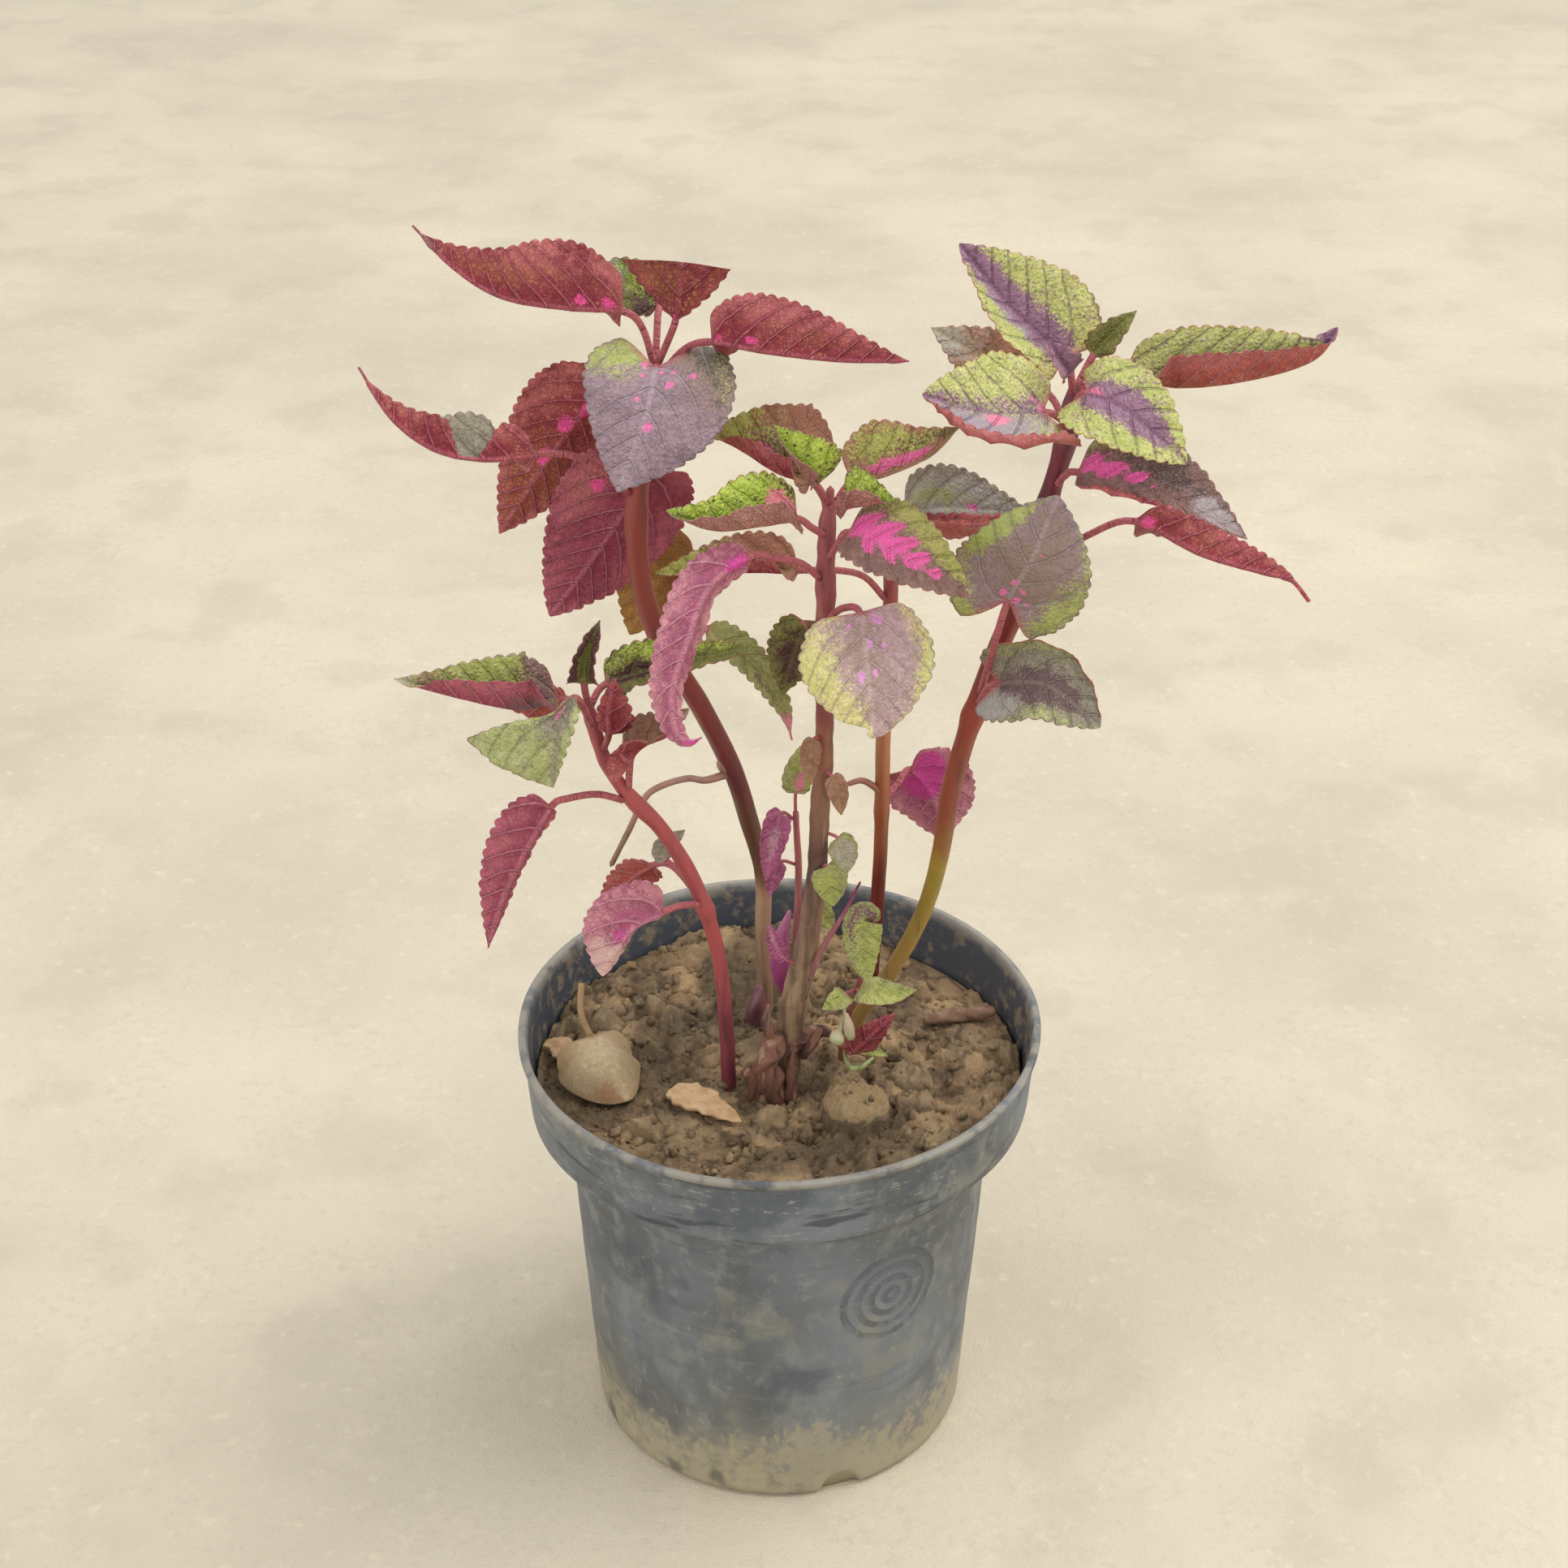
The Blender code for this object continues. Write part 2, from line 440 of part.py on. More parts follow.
def outline(u, roundness):
    """Half width of a blade along its midrib, 1 at its widest: blunt base, drawn-out tip."""
    base_power = 0.5 - 0.08 * roundness
    tip_power = 1.2 - 0.5 * roundness
    widest = base_power / (base_power + tip_power)
    top = widest**base_power * (1 - widest) ** tip_power
    return u**base_power * (1 - u) ** tip_power / top


def wedge(u, corner, power):
    """Half width of a blade with a corner: it grows up to the corner, then closes in a straight line."""
    return min(max(min((u / corner) ** power, (1 - u) / (1 - corner)), 0.0), 1.0)


def stem_gap(points, stem, radius):
    """Moves a stalk's first point along the stalk until its end is a small gap outside the stem."""
    stem = stem.copy()
    stem[-1, 3] *= TOP_TAPER
    path, _ = spline(stem, np.linspace(0, 1, 400))
    nearest = int(np.argmin(np.linalg.norm(path[:, :3] - points[0], axis=1)))
    centre = path[nearest, :3]
    away = unit(points[1] - centre)
    side = unit(np.cross(away, [0.2, 0.1, 1.0]))
    other = np.cross(away, side)
    turns = np.linspace(0, 2 * math.pi, 12)[:, None]
    end = radius * (np.cos(turns) * side + np.sin(turns) * other)
    for reach in np.arange(0.5, 12.0, 0.05):
        ring = centre + away * reach + end
        room = np.linalg.norm(ring[:, None] - path[None, :, :3], axis=2) - path[None, :, 3]
        if room.min() > CLEARANCE:
            break
    points = points.copy()
    points[0] = centre + away * reach
    return points


def blade(spec, rows, stalk_rows):
    """Points and faces of one leaf: a stalk that opens into a thin blade folded along its midrib.

    Each ring runs across the upper side from left to right and back across the underside. Along the
    blade it lies square to the midrib with the upper side facing as the spec says, and along the stalk
    it is round and keeps the turn that it has where the blade starts.
    """
    axis = np.asarray(spec["axis"], float)
    _, knots = spline(axis, [0.0])
    start = knots[spec["start"]]
    stalk = np.linspace(0, start, stalk_rows + 1)[:-1]
    along_blade = np.linspace(0, BLADE_END, rows + 1)
    centre, _ = spline(axis, np.concatenate([stalk, start + (1 - start) * along_blade]))
    along = unit(np.gradient(centre, axis=0))
    rings = []
    side = None
    for i in range(len(centre) - 1, -1, -1):
        if i > stalk_rows:
            u = along_blade[i - stalk_rows]
            upper = facing(*spec["face"][0]) * (1 - u) + facing(*spec["face"][1]) * u
            side = unit(np.cross(along[i], upper))
            normal = np.cross(side, along[i])
            rings.append(blade_ring(centre[i], along[i], side, normal, u, (-1) ** i, spec))
        else:
            side = unit(side - along[i] * (side @ along[i]))
            rings.append(stalk_ring(centre[i], side, np.cross(side, along[i])))
    around = 2 * len(ACROSS)
    faces = loft_faces(len(rings), around)
    return np.array(rings[::-1]).reshape(-1, 3), split_quads(faces, around, len(ACROSS))


def stalk_ring(centre, side, normal):
    """One round ring of a stalk, with as many points as a blade's ring."""
    top = []
    bottom = []
    for v in ACROSS:
        level = centre + side * v * STALK_RADIUS * 0.92
        lift = math.sqrt(1 - (0.92 * v) ** 2) * STALK_RADIUS
        top.append(level + normal * lift)
        bottom.append(level - normal * lift)
    return top + bottom[::-1]


def blade_ring(centre, along, side, normal, u, tooth, spec):
    """One ring of a blade: its points across the upper skin, then back across the underside.

    Each half is as wide as the outline, drawn out or in for a tooth, and turned up by its fold and curl,
    less where the blade is narrow and at its base. The skins meet at the midrib, turned half-way
    between the skins of the two halves.
    """
    top = []
    bottom = []
    skins = []
    for v in ACROSS:
        if v == 0:
            continue
        k = 0 if v > 0 else 1
        hand = 1 if v > 0 else -1
        reach = 1 + TOOTH_DEPTH * tooth * abs(v) ** 4
        side_of, corner, power = spec.get("wedge", (2, 0.5, 1.0))
        shape = wedge(u, corner, power) if side_of in (0, hand) else outline(u, spec["round"])
        width = spec["half"][k] * shape * reach
        for half_of, at, run, cut in spec.get("bites", ()):
            if half_of in (0, hand):
                width *= 1 - cut * math.exp(-(((u - at) / run) ** 2))
        width = max(width, 0.6)
        bend = math.radians(spec["fold"][k] + spec["curl"][k] * abs(v) / 2)
        bend *= min(width / FULL_FOLD, u / FOLD_START, 1.0)
        spread = math.cos(bend) * hand * side + math.sin(bend) * normal
        skin = math.cos(bend) * normal - math.sin(bend) * hand * side
        back = spec["sweep"] * spec["half"][k] * abs(v) ** 1.5 * (1 - u) ** 3
        back -= spec.get("notch", 0.0) * width * abs(v) ** 1.5 * u**2
        point = centre + spread * width * abs(v) - along * back
        top.append(point + skin * BLADE_THICKNESS / 2)
        bottom.append(point - skin * BLADE_THICKNESS / 2)
        skins.append(skin)
    half = len(ACROSS) // 2
    middle = unit(skins[half - 1] + skins[half])
    top.insert(half, centre + middle * BLADE_THICKNESS / 2)
    bottom.insert(half, centre - middle * (BLADE_THICKNESS / 2 + MIDRIB_RISE * (1 - u)))
    return top + bottom[::-1]


def split_quads(faces, around, upper):
    """Splits every quad so that the upper and lower skins share the same diagonals."""
    result = []
    for face in faces:
        if len(face) != 4:
            result.append(face)
            continue
        a, b, c, d = face
        if a % around < upper:
            result += [(a, b, c), (a, c, d)]
        else:
            result += [(a, b, d), (b, c, d)]
    return result


def make_leaf(name, spec):
    """One large leaf, its stalk ending a small gap off its stem."""
    spec = dict(spec)
    points = np.asarray(spec["axis"], float)
    spec["axis"] = stem_gap(points, np.asarray(STEMS[spec["stem"]], float), STALK_RADIUS)
    spec["bites"] = BITES.get(name, ())
    spec["notch"] = NOTCHES.get(name, 0.0)
    spec["wedge"] = WEDGES.get(name, (2, 0.5, 1.0))
    length = np.linalg.norm(np.diff(points[spec["start"]:], axis=0), axis=1).sum()
    rows = 12 if length > LONG_BLADE else 8
    vertices, faces = blade(spec, rows, 2)
    material = make_material(name + "_skin", COLOURS[spec["colour"]], 0.45)
    return make_object(name, vertices, faces, material)


def small_leaf(axis, half):
    """A small sprig leaf, its root sunk in what it grows from."""
    spec = dict(
        axis=axis, start=1, face=((-90, 35), (-90, 35)), half=(half, half), fold=(15, 15),
        curl=(0, 0), round=0.5, sweep=0.1)
    return blade(spec, 4, 1)


def join_all(item, pieces, material):
    """Unite a stem with each small piece that grows out of it."""
    for number, (vertices, faces) in enumerate(pieces):
        tool = make_object(item.name + "_tool_" + str(number), vertices, faces, material, smooth=False)
        apply_boolean(item, tool, "UNION")


def make_stem(name, material):
    """One stem with its narrower top."""
    points = np.asarray(STEMS[name], float)
    rows, _ = spline(points, np.linspace(0, 1, int(len(points) * ROWS_PER_POINT) + 1))
    rows[-1, 3] *= TOP_TAPER
    vertices, faces = tube(rows, STEM_SIDES)
    return make_object(name, vertices, faces, material)


def make_pot(material):
    """The pot: a turned wall with a stepped rim band, a flat floor and a drain notch at the foot."""
    shoulder = POT_HEIGHT - BAND_HEIGHT
    lip = POT_HEIGHT - LIP_HEIGHT
    lip_foot = RIM_RADIUS - 1.2
    profile = [
        (0, 0), (BASE_RADIUS - FOOT_ROUNDING, 0), (BASE_RADIUS, FOOT_ROUNDING),
        (SHOULDER_RADIUS, shoulder), (BAND_RADIUS - 1.0, shoulder), (BAND_RADIUS, shoulder + 1.2),
        (lip_foot, lip), (RIM_RADIUS, lip + 0.6), (RIM_RADIUS, POT_HEIGHT - 0.3),
        (RIM_RADIUS - 0.5, POT_HEIGHT), (RIM_RADIUS - 2.2, POT_HEIGHT),
        (lip_foot - WALL - 0.2, lip - 1.0), (BAND_RADIUS - WALL, shoulder + 2.4),
        (SHOULDER_RADIUS - WALL, shoulder + 2.0), (BASE_RADIUS - WALL, FLOOR + 1.0),
        (BASE_RADIUS - WALL - 1.0, FLOOR), (0, FLOOR)]
    vertices, faces = turned(profile, POT_SEGMENTS)
    pot = make_object("pot", vertices, faces, material)
    turn = math.radians(NOTCH_ANGLE)
    reach = (BASE_RADIUS - 2.5, BASE_RADIUS + 4.0)
    rows = np.array([
        (r * math.cos(turn), r * math.sin(turn), 0.0, NOTCH_RADIUS) for r in reach])
    cutter, cutter_faces = notch_prism(rows, turn)
    tool = make_object("notch", cutter, cutter_faces, material, smooth=False)
    apply_boolean(pot, tool, "DIFFERENCE")
    return pot


def notch_prism(rows, turn):
    """A half-round prism, lying along the radius, that cuts the notch at the foot."""
    steps = np.linspace(math.pi, 0, 9)
    across = np.array([-math.sin(turn), math.cos(turn), 0.0])
    profile = [(math.cos(s) * NOTCH_RADIUS, math.sin(s) * NOTCH_RADIUS) for s in steps]
    profile += [(NOTCH_RADIUS, -3.0), (-NOTCH_RADIUS, -3.0)]
    vertices = [row[:3] + across * a + np.array([0, 0, b]) for row in rows for a, b in profile]
    return np.array(vertices), loft_faces(len(rows), len(profile))


def turned(profile, segments):
    """Points and faces of a closed body turned about Z, from a profile that ends on the axis twice."""
    turns = np.arange(segments) * 2 * math.pi / segments
    vertices = [(0.0, 0.0, profile[0][1])]
    for radius, height in profile[1:-1]:
        vertices += [(radius * math.cos(t), radius * math.sin(t), height) for t in turns]
    vertices.append((0.0, 0.0, profile[-1][1]))
    count = len(profile) - 2
    faces = [(0, 1 + (j + 1) % segments, 1 + j) for j in range(segments)]
    for i in range(count - 1):
        a = 1 + i * segments
        b = a + segments
        faces += [
            (a + j, a + (j + 1) % segments, b + (j + 1) % segments, b + j) for j in range(segments)]
    last = 1 + (count - 1) * segments
    faces += [(last + j, last + (j + 1) % segments, len(vertices) - 1) for j in range(segments)]
    return np.array(vertices), faces


# Flat places in the soil where litter lies: x, y and radius.
SOIL_PADS = ((-55, -15, 17), (-22, -25, 15), (60, 22, 17), (-68, 2, 10))


def soil_height(x, y):
    """Lumpy top of the soil: crossing waves with creases between, a clod, and flat pads under litter."""
    lumps = 1.6 * abs(math.sin(0.115 * x + 0.05 * y + 0.8)) - 1.9
    lumps += 1.3 * abs(math.sin(0.13 * y - 0.06 * x + 2.1))
    lumps += 0.9 * abs(math.sin(0.27 * x + 1.3 * math.sin(0.09 * y)))
    reach = math.hypot(x - CLOD_CENTRE[0], y - CLOD_CENTRE[1]) / CLOD_RADIUS
    if reach < 1:
        lumps += CLOD_HEIGHT * math.sqrt(1 - reach**2)
    for px, py, radius in SOIL_PADS:
        near = math.hypot(x - px, y - py) / radius
        lumps *= min(max((near - 0.85) / 0.3, 0.0), 1.0)
    edge = max(math.hypot(x, y) - 62.0, 0.0)
    return SOIL_LEVEL + lumps - 0.12 * edge


def make_soil(material):
    """The soil: it fills the pot below a lumpy top, with a hole for each stem."""
    shoulder = POT_HEIGHT - BAND_HEIGHT
    gap = CLEARANCE
    wall_gap = WALL + gap
    side = [
        (BASE_RADIUS - wall_gap - 3.5, FLOOR + gap), (BASE_RADIUS - wall_gap - 1.0, FLOOR + gap + 2.5),
        (SHOULDER_RADIUS - wall_gap - 0.3, shoulder + 2.0 + gap),
        (BAND_RADIUS - wall_gap - 0.6, shoulder + 2.6 + gap)]
    rim = BAND_RADIUS - wall_gap - 0.4
    turns = np.arange(SOIL_SEGMENTS) * 2 * math.pi / SOIL_SEGMENTS
    vertices = [(0.0, 0.0, FLOOR + gap)]
    for radius, height in side:
        vertices += [(radius * math.cos(t), radius * math.sin(t), height) for t in turns]
    for ring in range(SOIL_RINGS, 0, -1):
        radius = rim * (ring / SOIL_RINGS)
        places = [(radius * math.cos(t), radius * math.sin(t)) for t in turns]
        vertices += [(x, y, soil_height(x, y)) for x, y in places]
    vertices.append((0.0, 0.0, soil_height(0, 0)))
    count = len(side) + SOIL_RINGS
    faces = [(0, 1 + (j + 1) % SOIL_SEGMENTS, 1 + j) for j in range(SOIL_SEGMENTS)]
    for i in range(count - 1):
        a = 1 + i * SOIL_SEGMENTS
        b = a + SOIL_SEGMENTS
        for j in range(SOIL_SEGMENTS):
            k = (j + 1) % SOIL_SEGMENTS
            faces += [(a + j, a + k, b + k), (a + j, b + k, b + j)]
    last = 1 + (count - 1) * SOIL_SEGMENTS
    faces += [
        (last + j, last + (j + 1) % SOIL_SEGMENTS, len(vertices) - 1) for j in range(SOIL_SEGMENTS)]
    soil = make_object("soil", vertices, faces, material, smooth=False)
    for path in hole_paths():
        hole, hole_faces = tube(path, STEM_SIDES)
        tool = make_object("hole", hole, hole_faces, material, smooth=False)
        apply_boolean(soil, tool, "DIFFERENCE")
    return soil


def hole_paths():
    """The path of each hole in the soil: the foot of each stem and sprout, a gap wider all round."""
    paths = []
    feet = [np.asarray(points, float) for points in STEMS.values()]
    feet += [np.asarray(sprout["stem"], float) for sprout in SPROUTS.values()]
    for points in feet:
        count = 60
        rows, _ = spline(points, np.linspace(0, 1, count))
        low = rows[rows[:, 2] < SOIL_LEVEL + 14.0]
        picks = np.unique(np.linspace(0, len(low) - 1, 4).round().astype(int))
        low = low[picks]
        low[:, 3] += 2 * CLEARANCE
        low[0, :3] -= unit(low[1, :3] - low[0, :3]) * CLEARANCE
        paths.append(low)
    stump = np.array(BARE_STALKS["centre_stem"], float)
    stump[:, 3] += 2 * CLEARANCE
    stump[0, 2] -= CLEARANCE
    paths.append(stump)
    return paths


def make_sprout(name, spec, material):
    """A thin sprout with its small leaves, fused."""
    rows, _ = spline(np.asarray(spec["stem"], float), np.linspace(0, 1, 6))
    vertices, faces = tube(rows, 6)
    sprout = make_object(name, vertices, faces, material)
    pieces = [small_leaf(axis, spec["half"]) for axis in spec["leaves"]]
    join_all(sprout, pieces, material)
    return sprout


def make_chip(name, centre, length, width, turn, material):
    """A flat tan chip lying on the soil: a low prism with a ragged outline."""
    angles = np.linspace(0, 2 * math.pi, 9)[:-1]
    ragged = [1.0, 0.8, 1.05, 0.75, 0.95, 0.85, 1.1, 0.8]
    cosine = math.cos(math.radians(turn))
    sine = math.sin(math.radians(turn))
    base = SOIL_LEVEL + 2 * CLEARANCE
    vertices = []
    for height, scale in ((0.0, 0.9), (1.4, 1.0), (2.6, 0.86)):
        for angle, wobble in zip(angles, ragged):
            a = length / 2 * math.cos(angle) * wobble * scale
            b = width / 2 * math.sin(angle) * wobble * scale
            vertices.append((
                centre[0] + a * cosine - b * sine, centre[1] + a * sine + b * cosine,
                base + height))
    return make_object(name, vertices, loft_faces(3, 8), material, smooth=False)


def make_dry_leaf(material):
    """A dry curled leaf lying arched on the soil, with its stalk up."""
    spec = dict(
        axis=[(-61, 8, 151), (-61, 2, 144), (-58, -2, 138), (-53, -12, 137), (-46, -24, 129.8)],
        start=2, face=((-60, 70), (-50, 50)), half=(12, 12), fold=(-30, -30), curl=(-30, -30),
        round=0.7, sweep=0.1)
    vertices, faces = blade(spec, 10, 3)
    return make_object("dry_leaf", vertices, faces, material)


def make_twig(material):
    """A thin dry twig on the soil."""
    height = SOIL_LEVEL + CLEARANCE + 1.5
    rows = np.array([
        (48, 18, height, 1.0), (57, 21, height, 1.4),
        (66, 22.5, height, 1.5), (71, 24, height, 0.9)], float)
    vertices, faces = tube(rows, 7)
    return make_object("twig", vertices, faces, material)


def main():
    clear_scene()
    bark = make_material("red_bark", (0.30, 0.06, 0.05), 0.45)
    wood = make_material("old_wood", (0.22, 0.14, 0.10), 0.8)
    shoot = make_material("pink_shoot", (0.45, 0.16, 0.20), 0.5)
    make_pot(make_material("pot_plastic", (0.10, 0.12, 0.15), 0.55))
    make_soil(make_material("soil_clay", (0.24, 0.19, 0.14), 0.95))
    for name in STEMS:
        stem = make_stem(name, wood if name == "centre_stem" else bark)
        pieces = [small_leaf(axis, SPRIG_HALF) for axis in SPRIGS.get(name, [])]
        if name in BARE_STALKS:
            pieces.append(tube(np.array(BARE_STALKS[name], float), 7))
        join_all(stem, pieces, wood)
    for name, spec in SPROUTS.items():
        make_sprout(name, spec, shoot)
    for name, spec in LEAVES.items():
        make_leaf(name, spec)
    dry = make_material("dry_leaf_skin", (0.50, 0.36, 0.22), 0.8)
    make_dry_leaf(dry)
    tan = make_material("chip_tan", (0.60, 0.38, 0.20), 0.8)
    pale = make_material("chip_pale", (0.58, 0.40, 0.24), 0.8)
    make_chip("chip_front", (-22, -25), 24, 11, -36, tan)
    make_chip("chip_left", (-67, 1), 13, 7, -60, pale)
    make_twig(make_material("twig_wood", (0.36, 0.25, 0.16), 0.85))


main()
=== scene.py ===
"""Dresses the potted coleus: fine scalloped leaves, stems, sprouts, soil, litter and a dusty pot.

Lengths are millimetres in the model's own frame, and meshes and materials are in metres.
"""

import math

import bpy
import numpy as np
from mathutils import Matrix, Vector


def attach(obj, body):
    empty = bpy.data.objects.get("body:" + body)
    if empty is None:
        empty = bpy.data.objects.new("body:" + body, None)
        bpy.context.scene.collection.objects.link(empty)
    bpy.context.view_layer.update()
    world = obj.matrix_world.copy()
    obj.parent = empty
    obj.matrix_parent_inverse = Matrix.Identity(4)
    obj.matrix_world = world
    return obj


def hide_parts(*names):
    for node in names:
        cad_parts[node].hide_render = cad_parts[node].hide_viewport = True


bl_info = {
    "name": "Potted coleus",
    "version": (1, 0, 0),
    "blender": (4, 5, 0),
    "location": "3D View > Sidebar > Plant",
    "description": "Builds a potted coleus with scalloped leaves, stems, soil, litter and a nursery pot",
    "category": "Add Mesh",
}

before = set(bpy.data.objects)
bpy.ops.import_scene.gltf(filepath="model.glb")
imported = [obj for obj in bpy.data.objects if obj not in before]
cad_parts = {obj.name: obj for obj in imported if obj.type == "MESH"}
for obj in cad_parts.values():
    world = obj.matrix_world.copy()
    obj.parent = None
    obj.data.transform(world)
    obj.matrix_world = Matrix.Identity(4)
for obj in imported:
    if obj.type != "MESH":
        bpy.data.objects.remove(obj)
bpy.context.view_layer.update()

MM = 0.001
TAU = 2 * math.pi

# Sizes and places of the solids, in millimetres.
CLEARANCE = 0.3
POT_HEIGHT = 143.6
RIM_RADIUS = 80.0
BAND_RADIUS = 77.3
BAND_HEIGHT = 25.0
SHOULDER_RADIUS = 66.5
BASE_RADIUS = 60.0
WALL = 1.6
FLOOR = 2.4
LIP_HEIGHT = 2.2
FOOT_ROUNDING = 2.0
NOTCH_ANGLE = -71.0
NOTCH_RADIUS = 6.5
SOIL_LEVEL = 127.0
CLOD_CENTRE = (23.5, -25.0)
CLOD_RADIUS = 11.0
CLOD_HEIGHT = 7.5
STALK_RADIUS = 1.0
FULL_FOLD = 4.0
FOLD_START = 0.2
TOP_TAPER = 0.6
SOIL_PADS = ((-55, -15, 17), (-22, -25, 15), (60, 22, 17), (-68, 2, 10))

# Each stem as points with their radius, from the soil up.
STEMS = {
    "left_stem": [
        (-4, 29, 114, 2.5), (-5, 27, 157, 2.4), (-5, 26, 180, 2.5), (-9, 24, 200, 2.8), (-14, 22, 220, 2.9),
        (-23, 19, 243, 3.0), (-34, 16, 266, 3.0), (-39, 15, 285, 3.0), (-40, 15, 300, 2.9),
        (-39, 15, 315, 2.8), (-36, 16, 332, 2.6), (-33, 18, 351, 2.0)],
    "low_stem": [
        (-15, -11, 114, 2.2), (-16, -16, 156, 2.1), (-18, -19, 182, 2.1), (-24, -23, 208, 2.2),
        (-33, -27, 229, 2.2), (-41, -30, 241, 2.1), (-47, -31, 252, 1.8), (-50, -32, 263, 1.6),
        (-52, -33, 275, 1.4)],
    "centre_stem": [
        (0, -11, 114, 4.8), (4, -12, 154, 4.2), (8, -12, 177, 3.5), (11, -12, 203, 2.9),
        (12, -12, 226, 2.8), (13, -12, 247, 2.6), (13, -12, 268, 2.5), (13, -12, 289, 2.5),
        (13, -12, 306, 2.4), (14, -12, 328, 1.7)],
    "back_stem": [
        (30, 50, 114, 2.1), (32, 44, 173, 2.1), (32, 41, 205, 2.2), (32, 38, 238, 2.2), (33, 36, 266, 2.1),
        (33, 35, 283, 2.0), (34, 34, 294, 1.6)],
    "right_stem": [
        (17, 14, 114, 2.2), (27, 10, 141, 2.3), (36, 6, 160, 2.4), (44, 3, 182, 2.4), (48, 0, 204, 2.6),
        (50, -2, 226, 2.8), (55, -4, 251, 2.8), (61, -5, 273, 2.9), (67, -5, 291, 2.9), (71, -4, 309, 2.8),
        (75, -3, 326, 2.6), (78, -2, 340, 2.4), (79, -1, 353, 1.9)],
}

